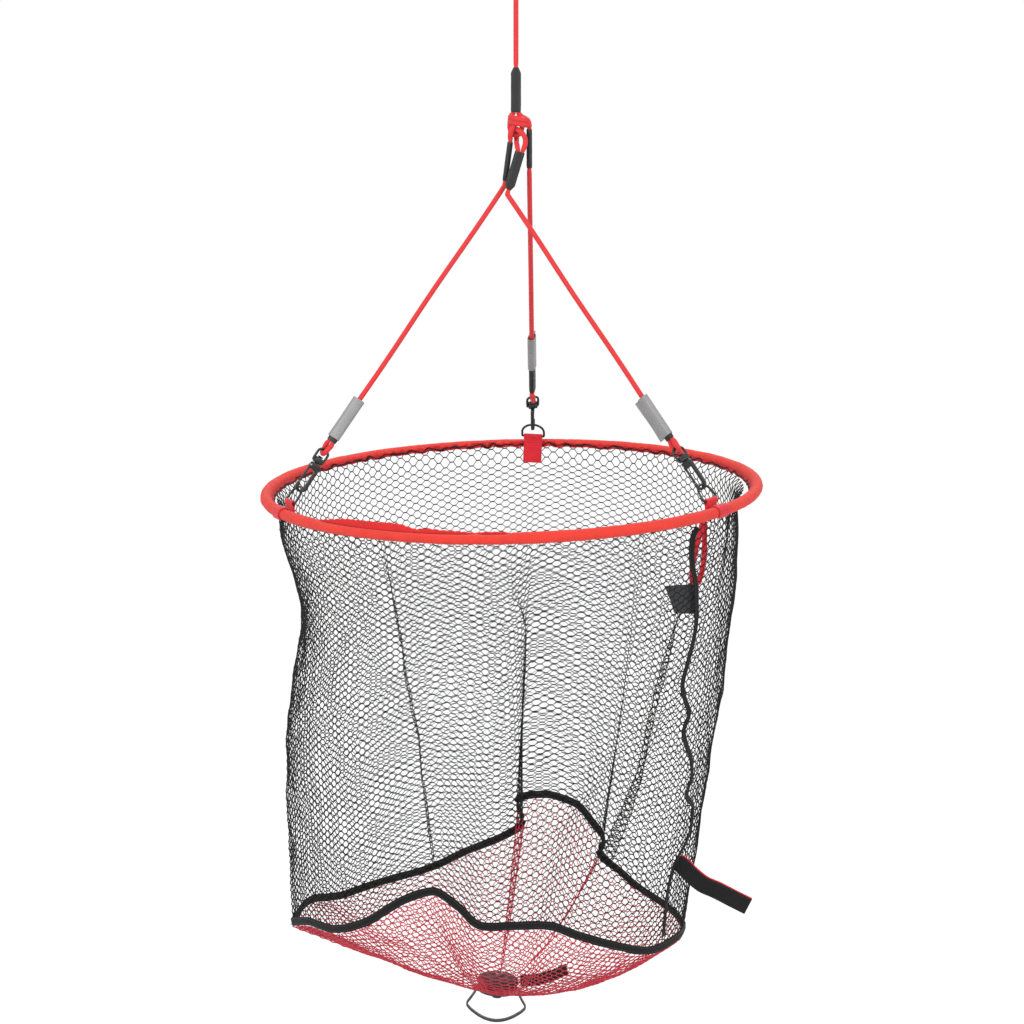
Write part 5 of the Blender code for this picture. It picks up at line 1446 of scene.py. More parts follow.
@dataclass(frozen=True)
class LegLine:
    """One leg's line from the hoop to its upper eye, with the hook's own directions."""

    side: Side
    spine_side: int
    swivel_turn: float
    sleeve_turn: float
    wrap_lift: float
    flag: float
    rim: Rim = Rim()
    cord: CordSizes = CordSizes()

    def sleeve_ends(self) -> tuple[Vector, Vector]:
        """The upper sleeve's top and foot.

        Returns:
            The sleeve's top and its foot.
        """
        eye = TOP_EYES[self.side]
        top = Vector((0, 0, self.cord.junction)) + Vector(eye.top)
        down = (Vector(eye.foot) - Vector(eye.top)).normalized()
        return top, top + down * self.cord.top_sleeve

    def lower_end(self) -> Vector:
        """Where the straight leg leaves the upper sleeve."""
        top, foot = self.sleeve_ends()
        return foot + (foot - top).normalized() * self.cord.sleeve_lead

    def bar(self) -> Vector:
        """The middle of the D-ring's bar."""
        return self.rim.point(self.rim.azimuth(self.side), self.rim.bar_radius, self.rim.bar_height)

    def axes(self) -> tuple[Vector, Vector, Vector]:
        """The directions up the leg, across the hook and in its plane towards its spine.

        Returns:
            The leg's axes.
        """
        along = (self.lower_end() - self.bar()).normalized()
        azimuth = self.rim.azimuth(self.side)
        outward = Vector((math.cos(azimuth), math.sin(azimuth), 0))
        tangent = Vector((-outward.y, outward.x, 0))
        across = (tangent - along * tangent.dot(along)).normalized()
        in_plane = along.cross(across)
        if in_plane.dot(outward) * self.spine_side < 0:
            across, in_plane = -across, -in_plane
        return along, across, in_plane

    def frame(self) -> Matrix:
        """X in the hook's plane towards its spine, Y up the leg, Z across the hook."""
        along, across, in_plane = self.axes()
        return Matrix.Translation(self.bar()) @ Matrix((in_plane, along, across)).transposed().to_4x4()

    def side_at(self, turn: float) -> Vector:
        """The direction at an angle about the leg, in degrees from the hook's plane."""
        _, across, in_plane = self.axes()
        return in_plane * math.cos(math.radians(turn)) + across * math.sin(math.radians(turn))

    def at(self, level: float, turn: float = 0.0, offset: float = 0.0) -> Vector:
        """A point up the leg, moved sideways."""
        return self.bar() + self.axes()[0] * level + self.side_at(turn) * offset


LEG_LINES = (
    LegLine(Side.LEFT, -1, 0, 35, 0.005, -0.0006),
    LegLine(Side.RIGHT, 1, -60, 10, 0.005, -0.0075),
    LegLine(Side.BACK, -1, 75, 15, 0.042, -0.0045),
)


# Sub-assemblies


@dataclass
class MainLine:
    """The main rope with its hand loop above and its eye below, each closed by a shrink sleeve."""

    shop: Workshop
    cord: CordSizes = CordSizes()
    hand_top: float = -0.115
    hand_foot: float = -0.165
    main_top: float = -0.264
    main_foot: float = -0.316
    loop_half_width: float = 0.027
    length: float = 0.606
    hitch_turns: float = 2.0

    def sleeves(self) -> tuple[SleeveForm, SleeveForm]:
        """The hand loop's sleeve and the main eye's.

        Returns:
            The hand loop's sleeve and the main eye's.
        """
        wide = Vector((1, 0, 0))
        hand = Vector((0, 0, self.hand_top)), Vector((0, 0, self.hand_foot))
        main = Vector((0, 0, self.main_top)), Vector((0, 0, self.main_foot))
        return SleeveForm(*hand, wide, True, self.cord), SleeveForm(*main, wide, False, self.cord)

    def route(self) -> np.ndarray:
        """The rope's route, from its tail in the hand loop's sleeve to its tail in the eye's sleeve.

        Returns:
            The rope's middle line, with the share of its radius.
        """
        hand, main = self.sleeves()
        half = self.loop_half_width
        side = [
            (0.0052, self.hand_top + 0.008),
            (0.55 * half, self.hand_top + 0.027),
            (half, self.hand_top + 0.065),
            (0.93 * half, -0.023),
            (0.58 * half, -0.003),
        ]
        loop = [(-x, 0, z, 1.0) for x, z in side]
        loop.append((0, 0, self.cord.radius, 1.0))
        loop += [(x, 0, z, 1.0) for x, z in reversed(side)]
        eye_side = [
            (0.0044, 0.0242), (0.0060, 0.0214), (0.0068, 0.0172), (0.0072, 0.0115),
            (0.0068, 0.0066), (0.0048, 0.0022), (0.0024, 0.0004),
        ]
        low = self.cord.junction
        eye = [(x, 0, low + z, 1.0) for x, z in eye_side]
        eye.append((0, 0, low, 1.0))
        eye += [(-x, 0, low + z, 1.0) for x, z in reversed(eye_side)]
        tail_in = hand.strand(-1, False)
        line_in = hand.strand(1, True)
        line_out = main.strand(1, True)
        tail_out = main.strand(-1, False)
        rows = [np.array(tail_in[:0:-1])]
        rows.append(smooth_route([tail_in[0]] + loop + [line_in[0]], 0.004))
        rows.append(np.array(line_in[1:]))
        rows.append(np.array([(0, 0, self.hand_foot - 0.006, 1.0), (0, 0, self.main_top + 0.006, 1.0)]))
        rows.append(np.array(line_out[:0:-1]))
        rows.append(smooth_route([line_out[0]] + eye + [tail_out[0]], 0.0015))
        rows.append(np.array(tail_out[1:]))
        return np.vstack(rows)

    def hitch_mesh(self) -> bpy.types.Mesh:
        """Two slanting turns of cord that bind the legs' eyes on the main one.

        Returns:
            The mesh.
        """
        points = []
        for k in range(41):
            angle = math.radians(95) + k / 40 * self.hitch_turns * math.tau
            x, y = 0.0102 * math.cos(angle), 0.0112 * math.sin(angle)
            points.append((0.0036 + x, y, self.cord.junction + 0.0115 + 0.0105 * k / 40 - 0.32 * x, 1.0))
        return self.cord.braided(smooth_route(points, 0.0015))

    def build(self) -> None:
        shop, finish = self.shop, self.shop.finish
        hand, main = self.sleeves()
        route = self.route()
        rope = shop.add("main_rope_braid", self.cord.braided(route), finish.rope, "rope_red", "main_rope")
        slot = "shrink_black"
        loop_sleeve = shop.add("hand_loop_shrink", hand.mesh(), finish.shrink, slot, "hand_loop_sleeve")
        eye_sleeve = shop.add("main_eye_shrink", main.mesh(), finish.shrink, slot, "main_rope_sleeve")
        shop.add("hitch_turns", self.hitch_mesh(), finish.rope, "rope_red")


@dataclass
class RopeLeg:
    """One rope leg: the braided rope, its two shrink sleeves and the reflective wrap."""

    shop: Workshop
    line: LegLine
    cord: CordSizes = CordSizes()
    eye_bar: float = 0.0731
    bight_radius: float = 0.0051
    wrap_length: float = 0.054
    wrap_wall: float = 0.0008

    @property
    def sleeve_foot(self) -> float:
        """How far up the leg the lower sleeve starts."""
        return self.eye_bar + self.cord.bottom_eye

    def upper_sleeve(self) -> SleeveForm:
        """The sleeve under the main eye."""
        top, foot = self.line.sleeve_ends()
        return SleeveForm(top, foot, Vector(TOP_EYES[self.line.side].wide), True, self.cord)

    def lower_sleeve(self) -> SleeveForm:
        """The sleeve over the swivel's eye.

        Returns:
            The sleeve.
        """
        top = self.line.at(self.sleeve_foot + self.cord.bottom_sleeve)
        foot = self.line.at(self.sleeve_foot)
        return SleeveForm(top, foot, self.line.side_at(self.line.sleeve_turn), False, self.cord)

    def route(self) -> np.ndarray:
        """The rope's route, from its tail in the upper sleeve to its tail in the lower one.

        Returns:
            The leg's middle line, with the share of its radius.
        """
        line, cord = self.line, self.cord
        upper, lower = self.upper_sleeve(), self.lower_sleeve()
        turn = line.swivel_turn + 90
        if abs(turn - line.sleeve_turn) > 90:
            turn -= 180
        half_turn = (turn + line.sleeve_turn) / 2
        junction = Vector((0, 0, cord.junction))
        first, second = upper.strand(1, False), upper.strand(-1, True)
        bight = [(*(junction + Vector(place)), 1.0) for place in TOP_EYES[line.side].bight]
        rows = [np.array(first[:0:-1])]
        rows.append(smooth_route([first[0]] + bight + [second[0]], 0.0015))
        rows.append(np.array(second[1:]))
        start = (line.lower_end() - line.bar()).length
        levels = np.linspace(start, self.sleeve_foot + cord.bottom_sleeve + 0.006, 9)
        sway = 0.0005 * np.sin(np.linspace(0, 3 * math.pi, 9))
        rows.append(smooth_route([(*line.at(u, 0, s), 1.0) for u, s in zip(levels, sway)], 0.01))
        down, back = lower.strand(1, True), lower.strand(-1, False)
        rows.append(np.array(down[:0:-1]))
        lead = cord.offset + 0.6 * (self.bight_radius - cord.offset)
        loop = [down[0], (*line.at(self.sleeve_foot - 0.0042, half_turn, lead), 1.0)]
        for degrees in (0, 36, 72, 108, 144, 180):
            angle = math.radians(degrees)
            level = self.eye_bar - self.bight_radius * math.sin(angle)
            loop.append((*line.at(level, turn, self.bight_radius * math.cos(angle)), 1.0))
        loop.append((*line.at(self.sleeve_foot - 0.0042, half_turn, -lead), 1.0))
        loop.append(back[0])
        rows.append(smooth_route(loop, 0.0015))
        rows.append(np.array(back[1:]))
        return np.vstack(rows)

    def wrap_mesh(self) -> bpy.types.Mesh:
        """The reflective tape: once round the sleeve, its ends stuck together as a flag.

        Returns:
            The mesh.
        """
        wide = self.line.side_at(self.line.sleeve_turn)
        along = self.line.axes()[0]
        thin = along.cross(wide)
        bore = self.cord.bore + self.cord.sleeve_wall + self.cord.gap
        steps = 14
        outer, inner = [], []
        for k in range(steps + 1):
            share = k / steps
            centre = self.line.at(self.sleeve_foot + self.line.wrap_lift + share * self.wrap_length)
            reach = self.cord.offset + bore + self.wrap_wall - self.line.flag
            start = self.cord.offset + 0.75 * bore
            wave = 0.0006 * math.sin(5.1 * share + self.line.flag * 900)
            ring_out, ring_in = [], []
            for i in range(29):
                angle = math.radians(-150 + 300 * i / 28)
                shift = self.cord.offset * max(-1.0, min(1.0, 2.5 * math.cos(angle)))
                spoke = wide * math.cos(angle) + thin * math.sin(angle)
                ring_out.append(centre + wide * shift + spoke * (bore + self.wrap_wall))
                ring_in.append(centre + wide * shift + spoke * bore)
            for sign, shares in ((1, (0.3, 0.6, 0.8, 1.0)), (-1, (1.0, 0.8, 0.6, 0.3))):
                for f in shares:
                    half = self.wrap_wall * (0.95 + 2.2 * max(0.0, 0.45 - f)) * (0.55 if f == 1.0 else 1.0)
                    side = start + (reach - start) * f
                    ring_out.append(centre - wide * side + thin * (sign * half + wave * f))
                    ring_in.append(centre - wide * (self.cord.offset + 0.97 * bore) + thin * (sign * 0.0003))
            outer.append(ring_out)
            inner.append(ring_in)
        return skin(np.concatenate([np.array(outer), np.array(inner)[::-1]]), loop=True)

    def build(self) -> None:
        """Makes the leg's rope, sleeves and wrap."""
        side, shop, finish = self.line.side.value, self.shop, self.shop.finish
        braid = self.cord.braided(self.route())
        shop.add(f"leg_braid_{side}", braid, finish.rope, "rope_red", f"leg_rope_{side}")
        for part, form in (("top", self.upper_sleeve()), ("bottom", self.lower_sleeve())):
            name, node = f"{part}_shrink_{side}", f"{part}_sleeve_{side}"
            shop.add(name, form.mesh(), finish.shrink, "shrink_black", node)
        name, node = f"reflective_tape_{side}", f"reflective_wrap_{side}"
        shop.add(name, self.wrap_mesh(), finish.reflector, "reflective_grey", node)


@dataclass
class SnapHook:
    """A swivel snap hook: the hook and its gate, the swivel's block and the bail for the rope's eye."""

    shop: Workshop
    line: LegLine
    bow_centre: float = 0.0219
    inner: float = 0.0038
    bow_wall: float = 0.0030
    spine: float = 0.0044
    thickness: float = 0.0044
    nose_top: float = 0.0261
    head_foot: float = 0.0454
    pin_level: float = 0.04965
    head_top: float = 0.0539
    gate_width: float = 0.0024
    gate_thickness: float = 0.0022
    pin_radius: float = 0.0008
    slot: float = 0.0026
    block_foot: float = 0.0544
    block_top: float = 0.0618
    block_width: float = 0.0120
    block_thickness: float = 0.0086
    shank: float = 0.0020
    rivet_head: float = 0.0034
    rivet_top: float = 0.0638
    eye_bar: float = 0.0731
    eye_half_width: float = 0.0070
    eye_wire: float = 0.0015

    def outline(self) -> list[Pair]:
        """The hook's body in its own plane: nose, bow, spine and head, round the open slot.

        Returns:
            The outline's points.
        """
        inner, gate = self.inner, self.gate_width
        outer, nose = inner + self.spine, inner + self.bow_wall
        points = [(-inner, self.nose_top)]
        for i in range(25):
            angle = math.pi * (1 + i / 24)
            points.append((inner * math.cos(angle), self.bow_centre + inner * math.sin(angle)))
        points += [(inner, self.head_foot - 0.0012), (inner - 0.0004, self.head_foot - 0.0003)]
        points += [(inner - 0.0012, self.head_foot), (-inner - gate, self.head_foot)]
        for i in range(5):
            angle = math.pi - math.pi / 2 * i / 4
            reach = 0.0022
            centre = (-inner - gate + reach, self.head_top - reach)
            points.append((centre[0] + reach * math.cos(angle), centre[1] + reach * math.sin(angle)))
        for i in range(5):
            angle = math.pi / 2 - math.pi / 2 * i / 4
            reach = 0.0032
            centre = (outer - reach, self.head_top - reach)
            points.append((centre[0] + reach * math.cos(angle), centre[1] + reach * math.sin(angle)))
        for i in range(33):
            angle = -math.pi * i / 32
            reach = outer + (nose - outer) * i / 32
            height = (inner + self.bow_wall) * math.sin(angle)
            points.append((reach * math.cos(angle), self.bow_centre + height))
        points += [(-nose, self.nose_top - 0.0012), (-nose + 0.0004, self.nose_top - 0.0003)]
        points.append((-nose + 0.0012, self.nose_top))
        return points

    def pin_place(self) -> Matrix:
        """The gate pin's place, its axis along Z."""
        return self.line.frame() @ Matrix.Translation((-self.inner - self.gate_width / 2, self.pin_level, 0))

    def pin_bore(self) -> bpy.types.Mesh:
        """A cutter for the gate pin's hole."""
        return turned([(self.pin_radius + 0.00015, z) for z in (-0.004, 0.004)], self.pin_place(), 20)

    def up(self) -> Matrix:
        """The leg's place with Z up the leg, for turned parts."""
        return self.line.frame() @ Matrix.Rotation(-math.pi / 2, 4, "X")

    def hook_mesh(self) -> bpy.types.Mesh:
        """The hook with its forked head, its shank and the rivet's head.

        Returns:
            The mesh.
        """
        body = plate(self.outline(), self.thickness, 0.0011, self.line.frame())
        middle = -self.inner - self.gate_width / 2
        low, high = self.head_foot - 0.001, self.head_top - 0.0015
        wide = self.gate_width
        fork = [(middle - wide, low), (middle + wide + 0.0002, low), (middle + wide + 0.0002, high)]
        fork.append((middle - wide, high))
        slot = plate(fork, self.slot, 0.0, self.line.frame())
        body = joined(body, [slot, self.pin_bore()], "DIFFERENCE")
        rivet = [
            (self.shank, self.head_top - 0.001),
            (self.shank, self.rivet_top - 0.0014),
            (self.rivet_head - 0.0002, self.rivet_top - 0.0014),
            (self.rivet_head, self.rivet_top - 0.0011),
            (self.rivet_head * 0.93, self.rivet_top - 0.0005),
            (self.rivet_head * 0.72, self.rivet_top - 0.0001),
            (self.rivet_head * 0.40, self.rivet_top),
        ]
        return joined(body, [turned(rivet, self.up(), 28)], "UNION")

    def gate_mesh(self) -> bpy.types.Mesh:
        """The gate: a slim bar with a round knuckle on its pin.

        Returns:
            The mesh.
        """
        tip = self.nose_top + 0.0005 - self.pin_level
        half = self.gate_width / 2
        edge = 0.0006
        outline = [(half, tip + edge), (half, -0.0036), (edge, -edge), (-edge, -edge), (-half, -0.0036)]
        outline += [(-half, tip + edge), (-half + edge, tip), (half - edge, tip)]
        bar = plate(outline, self.gate_thickness, 0.0005, self.pin_place())
        knuckle = self.pin_radius + 0.0011
        boss = turned([(knuckle, z) for z in (-self.gate_thickness / 2, -0.0001)], self.pin_place(), 28)
        bar = joined(bar, [boss], "UNION")
        spring = turned([(knuckle + 0.0006, z) for z in (0.0, self.slot)], self.pin_place(), 28)
        return joined(bar, [spring, self.pin_bore()], "DIFFERENCE")

    def swivel_mesh(self) -> bpy.types.Mesh:
        """The swivel's block with the round bail over it, bored for the shank.

        Returns:
            The mesh.
        """
        turn = self.line.frame() @ Matrix.Rotation(-math.radians(self.line.swivel_turn), 4, "Y")
        half, reach = self.block_width / 2, 0.0022
        corners = [
            (half - reach, self.block_top - reach, 0),
            (-half + reach, self.block_top - reach, 90),
            (-half + reach, self.block_foot + reach, 180),
            (half - reach, self.block_foot + reach, 270),
        ]
        outline = []
        for x, y, start in corners:
            for i in range(6):
                angle = math.radians(start + 90 * i / 5)
                outline.append((x + reach * math.cos(angle), y + reach * math.sin(angle)))
        block = plate(outline, self.block_thickness, 0.0017, turn)
        half = self.eye_half_width
        rise = 0.0055
        arch = self.eye_bar - rise
        side = [(-half + 0.0004, self.block_foot + 0.0016, 0), (-half, self.block_top - 0.001, 0)]
        side.append((-half, arch, 0))
        angles = [math.pi * i / 8 for i in range(1, 8)]
        over = [(half * -math.cos(angle), arch + rise * math.sin(angle), 0) for angle in angles]
        points = side + over + [(-x, y, z) for x, y, z in reversed(side)]
        path = smooth_route([tuple(turn @ Vector(p)) for p in points], 0.0009)
        bail = skin(tube_rings(path, np.full(len(path), self.eye_wire), 16))
        bore = [(self.shank + 0.0003, z) for z in (self.block_foot - 0.001, self.block_top + 0.001)]
        block = joined(block, [bail], "UNION")
        return joined(block, [turned(bore, self.up(), 24)], "DIFFERENCE")

    def build(self) -> None:
        """Makes the hook, gate and swivel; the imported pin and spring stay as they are."""
        side = self.line.side.value
        for name, mesh, node, body in (
            ("hook_body", self.hook_mesh(), "snap_hook", f"hook_{side}"),
            ("hook_gate", self.gate_mesh(), "snap_gate", f"gate_{side}"),
            ("swivel_block", self.swivel_mesh(), "swivel_eye", Body.NET.value),
        ):
            self.shop.add(f"{name}_{side}", mesh, self.shop.finish.hook, "hook_black", f"{node}_{side}", body)
        self.shop.repaint(self.shop.finish.steel, f"gate_pin_{side}", f"gate_spring_{side}")


@dataclass
class RingFitting:
    """A D-ring and the folded webbing tab that holds its bar against the hoop."""

    shop: Workshop
    line: LegLine
    inner_width: float = 0.025
    depth: float = 0.0211
    wire: float = 0.0014
    tab_width: float = 0.0238
    layer: float = 0.0013
    front_drop: float = 0.0065
    back_drop: float = 0.022
    bore_gap: float = 0.0003

    @property
    def drop(self) -> float:
        """How far the tab hangs below the hoop: only the back one shows under it."""
        return self.back_drop if self.line.side is Side.BACK else self.front_drop

    def ring_mesh(self) -> bpy.types.Mesh:
        """The D-ring: a straight bar and a round bow, the wire's ends meeting in the bar.

        Returns:
            The mesh.
        """
        half = self.inner_width / 2 + self.wire
        shoulder = self.depth - half
        points = [(0, 0, z) for z in np.linspace(-half + 0.0016, half - 0.0016, 13)]
        points += [(0, 0.0003, half - 0.0007), (0, 0.0009, half - 0.0002), (0, 0.0018, half)]
        for i in range(41):
            angle = math.pi * i / 40
            points.append((0, shoulder + half * math.sin(angle), half * math.cos(angle)))
        points += [(0, 0.0018, -half), (0, 0.0009, -half + 0.0002), (0, 0.0003, -half + 0.0007)]
        place = self.line.frame()
        path = np.array([tuple(place @ Vector(point)) for point in points])
        across = np.array(place.to_3x3() @ Vector((1, 0, 0)))
        along = unit(np.roll(path, -1, 0) - np.roll(path, 1, 0))
        other = np.cross(along, across)
        angles = np.arange(18) * math.tau / 18
        rings = path[:, None] + self.wire * (
            across * np.cos(angles)[None, :, None] + other[:, None] * np.sin(angles)[None, :, None]
        )
        return skin(rings, loop=True)

    def tab_place(self) -> Matrix:
        """The tab's place: X outwards, Y up the inside of the hoop, Z along the bar.

        Returns:
            The tab's place.
        """
        rim = self.line.rim
        azimuth = rim.azimuth(self.line.side)
        across = self.line.axes()[1]
        outward = rim.matrix().to_3x3() @ Vector((math.cos(azimuth), math.sin(azimuth), 0))
        outward = (outward - across * outward.dot(across)).normalized()
        if across.cross(outward).z < 0:
            across = -across
        columns = (outward, across.cross(outward), across)
        return Matrix.Translation(self.line.bar()) @ Matrix(columns).transposed().to_4x4()

    def tab_path(self) -> np.ndarray:
        """The webbing's middle line: up one layer, round the bar and down the other.

        Returns:
            The path's points.
        """
        foot = -self.line.rim.bar_height - self.drop
        middle = self.layer / 2
        radius = self.wire + self.bore_gap + middle
        points = [(middle * 1.02, foot + 0.0002), (middle * 1.02, 0.55 * foot), (middle * 1.05, -0.0075)]
        points += [(middle * 1.2, -0.0048)]
        for i in range(9):
            angle = math.radians(-35 + 250 * i / 8)
            points.append((radius * math.cos(angle), radius * math.sin(angle)))
        points += [(-middle * 1.2, -0.0048), (-middle * 1.05, -0.0075), (-middle * 1.02, 0.55 * foot)]
        points.append((-middle * 1.02, foot + 0.0002))
        place = self.tab_place()
        return smooth_route([tuple(place @ Vector((x, y, 0))) for x, y in points], 0.0012)

    def over_rings(self) -> np.ndarray:
        """The tab's outer layer, which goes on over the hoop's sleeve to its outer side.

        Returns:
            The rings of points.
        """
        rim = self.line.rim
        azimuth = rim.azimuth(self.line.side)
        reach = rim.casing_radius + 0.0009
        angles = np.radians(np.linspace(150, -48, 34))
        places = [rim.point(azimuth, rim.radius + reach * math.cos(a), reach * math.sin(a)) for a in angles]
        path = np.array([tuple(place) for place in places])
        around = rim.matrix().to_3x3() @ Vector((-math.sin(azimuth), math.cos(azimuth), 0))
        across = np.tile(np.array(around), (len(path), 1))
        widths = self.tab_width - 0.003 + 0.0005 * ripple(path, 140.0, 5.0)
        return strip_rings(path, across, widths, self.layer * 0.8, 3)

    def build(self) -> None:
        """Makes the ring, the tab and the tab's stitching."""
        side, shop, finish = self.line.side.value, self.shop, self.shop.finish
        name, node, body = f"steel_ring_{side}", f"d_ring_{side}", f"ring_{side}"
        shop.add(name, self.ring_mesh(), finish.black_steel, "blackened_steel", node, body)
        place = self.tab_place()
        path = self.tab_path()
        across = np.tile(np.array(place.to_3x3() @ Vector((0, 0, 1))), (len(path), 1))
        wave = 0.0003 * ripple(path, 120.0, 5.0)
        rings = strip_rings(path, across, self.tab_width - 0.0004 + wave, self.layer * 0.97, 3)
        shop.add(f"webbing_tab_{side}", skin(rings), finish.red_webbing, "fabric_red", f"ring_tab_{side}")
        if self.line.side is not Side.BACK:
            shop.add(f"webbing_wrap_{side}", skin(self.over_rings()), finish.red_webbing, "fabric_red")
        half = self.tab_width / 2 - 0.0022
        low = -self.line.rim.bar_height - self.drop + 0.004
        high = -0.0085
        across, down = np.linspace(-half, half, 12), np.linspace(low, high, 10)
        lines = []
        for face in (1, -1):
            x = face * (self.layer + 0.00005)
            for y in (high, low):
                lines.append(np.array([tuple(place @ Vector((x, y, z))) for z in across]))
            for z in (-half, half):
                lines.append(np.array([tuple(place @ Vector((x, y, z))) for y in down]))
        shop.stitches(f"tab_stitches_{side}", lines, finish.red_thread, "fabric_red", 0.0030)


@dataclass
class HoopCasing:
    """The three cloth sleeves round the hoop, with the gathered edge inside them."""

    shop: Workshop
    rim: Rim = Rim()
    wall: float = 0.0015
    cuff_turn: float = math.radians(2.6)
    cuff_gap: float = 0.0006
    sides: int = 44
    step: float = 0.0017
    pinch: float = 0.36
    fold: tuple[Pair, ...] = (
        (-0.2284, 0.0000), (-0.2118, 0.0034), (-0.1905, 0.0074), (-0.1671, 0.0080),
        (-0.1419, 0.0086), (-0.1270, 0.0083), (-0.1157, 0.0051), (-0.1100, 0.0037),
        (-0.0965, 0.0050), (-0.0818, 0.0039), (-0.0573, 0.0030), (-0.0406, 0.0016),
        (-0.0295, 0.0028), (-0.0072, 0.0024), (0.0000, 0.0008), (0.0015, 0.0000),
    )

    def squat(self, azimuth: np.ndarray) -> np.ndarray:
        """How much the sleeve is drawn up by the net behind the hoop: 0 at the front and 1 at the back."""
        return np.clip(np.sin(azimuth), 0, 1) ** 1.5

    def fold_height(self, azimuth: np.ndarray) -> np.ndarray:
        """How far the folded edge stands over the sleeve, on the front left only.

        Args:
            azimuth: The angles round the hoop.

        Returns:
            The fold's height.
        """
        table = np.array(self.fold)
        height = np.interp(self.rim.radius * np.cos(azimuth), table[:, 0], table[:, 1], 0.0, 0.0)
        return height * (np.sin(azimuth) < 0)

    def section(self, azimuth: np.ndarray, radius: np.ndarray, angle: np.ndarray) -> np.ndarray:
        """Points of the sleeve's section, as wide as it is high in front and flatter behind.

        Args:
            azimuth: The angle about the hoop.
            radius: The distance from the section's middle.
            angle: The angle in the section, from outwards over the top.

        Returns:
            The points.
        """
        squat = self.squat(azimuth)
        pinch = self.pinch * np.clip(self.fold_height(azimuth) / 0.0025, 0, 1) * (np.sin(angle) > 0)
        ring = self.rim.radius + radius * np.cos(angle)
        height = radius * np.sin(angle) * (1 - 0.33 * squat - pinch) + 0.0022 * squat
        return self.rim.points(azimuth, ring, height)

    def sleeve_rings(self, start: float, end: float, inside: bool) -> np.ndarray:
        """A sleeve's outer or inner skin, the outer one puckered, creased lengthwise and hemmed at its ends.

        Args:
            start: The angle where it starts.
            end: The angle where it ends.
            inside: Whether it is the inner skin.

        Returns:
            The rings of points.
        """
        count = round((end - start) * self.rim.radius / self.step)
        azimuth = np.linspace(start, end, count)[:, None] * np.ones((1, self.sides))
        angle = np.ones((count, 1)) * (np.arange(self.sides) * math.tau / self.sides)[None, :]
        if inside:
            return self.section(azimuth, np.full_like(angle, self.rim.casing_radius - self.wall), angle)
        along = azimuth * self.rim.radius
        flat = np.stack([along, 0.007 * np.cos(angle), 0.007 * np.sin(angle)], -1)
        slow = ripple(flat * np.array([1.0, 0.7, 0.7]), 45.0, 2.0)
        folds = ripple(flat * np.array([1.0, 0.22, 0.22]), 190.0, 7.0)
        fine = ripple(flat * np.array([1.0, 0.30, 0.30]), 420.0, 4.0)
        radius = self.rim.casing_radius - 0.00030 + 0.00040 * slow + 0.00034 * folds + 0.00018 * fine
        under = np.exp(-(((angle - math.radians(262)) / math.radians(40)) ** 2))
        radius = radius + under * (0.00055 * ripple(flat * np.array([1.0, 0.1, 0.1]), 60.0, 5.0) - 0.0001)
        inner = np.exp(-(((angle - math.radians(190)) / math.radians(36)) ** 2))
        pucker = np.sin(along / 0.0125 * math.tau + 2.6 * slow)
        radius = radius + inner * (0.00032 * pucker - 0.0001)
        ends = np.minimum(np.arange(count), np.arange(count)[::-1])[:, None] * self.step
        radius = radius - 0.00055 * np.exp(-((ends / 0.0020) ** 2))
        radius = radius - 0.00030 * np.exp(-(((ends - 0.008) / 0.0011) ** 2))
        return self.section(azimuth, radius, angle)

    def fold_mesh(self) -> bpy.types.Mesh:
        """The folded edge that stands up behind the front left of the hoop.

        Returns:
            The mesh.
        """
        azimuth = np.arange(math.radians(209), math.radians(271), 0.0011 / self.rim.radius)
        height = self.fold_height(azimuth)
        azimuth, height = azimuth[height > 0.0006], height[height > 0.0006]
        along = azimuth * self.rim.radius
        jag = 0.0005 * np.sin(along / 0.0085 * math.tau + np.sin(along * 90))
        jag = jag + 0.00025 * np.sin(along / 0.0031 * math.tau)
        height = height + jag * np.clip(height / 0.003, 0, 1)
        sway = 0.0012 * np.sin(along / 0.027 * math.tau) + 0.0006 * np.sin(along / 0.0104 * math.tau + 1.3)
        foot = self.rim.points(azimuth, self.rim.radius - 0.0040, 0.0018)
        lean = self.rim.radius - 0.0044 - 0.16 * height + 0.5 * sway * np.clip(height / 0.004, 0, 1)
        top = self.rim.points(azimuth, lean, 0.0042 + height)
        widths = np.linalg.norm(top - foot, axis=1)
        return skin(strip_rings((foot + top) / 2, unit(top - foot), widths, 0.0014, 3))

    def edge_line(self, azimuth: np.ndarray, share: float) -> np.ndarray:
        """A line of the seam allowance inside the hoop: share 0 is its sewn top and 1 its lower edge.

        Args:
            azimuth: The angles round the hoop.
            share: How far down from its sewn top, from 0 to 1.

        Returns:
            The line's points.
        """
        squat = self.squat(azimuth)
        wave = self.gather(azimuth)
        top_radius = self.rim.radius - 0.0052
        top_height = 0.0005 + 0.0042 * squat
        low_radius = self.rim.radius - 0.0104 + 0.0022 * squat
        low_height = -0.0058 + 0.0038 * squat + (0.0007 + 0.0005 * squat) * wave
        radius = top_radius + (low_radius - top_radius) * share + 0.0004 * wave * share
        return self.rim.points(azimuth, radius, top_height + (low_height - top_height) * share)

    def gather(self, azimuth: np.ndarray) -> np.ndarray:
        """The seam's wander as it was gathered, from about -1 to 1, meeting itself after one turn."""
        slow = np.sin(azimuth * 69 + 1.9 * np.sin(azimuth * 8) + 1.1 * np.sin(azimuth * 19))
        return slow * (0.62 + 0.38 * np.sin(azimuth * 23 + 0.7)) + 0.22 * np.sin(azimuth * 148 + 2.0)

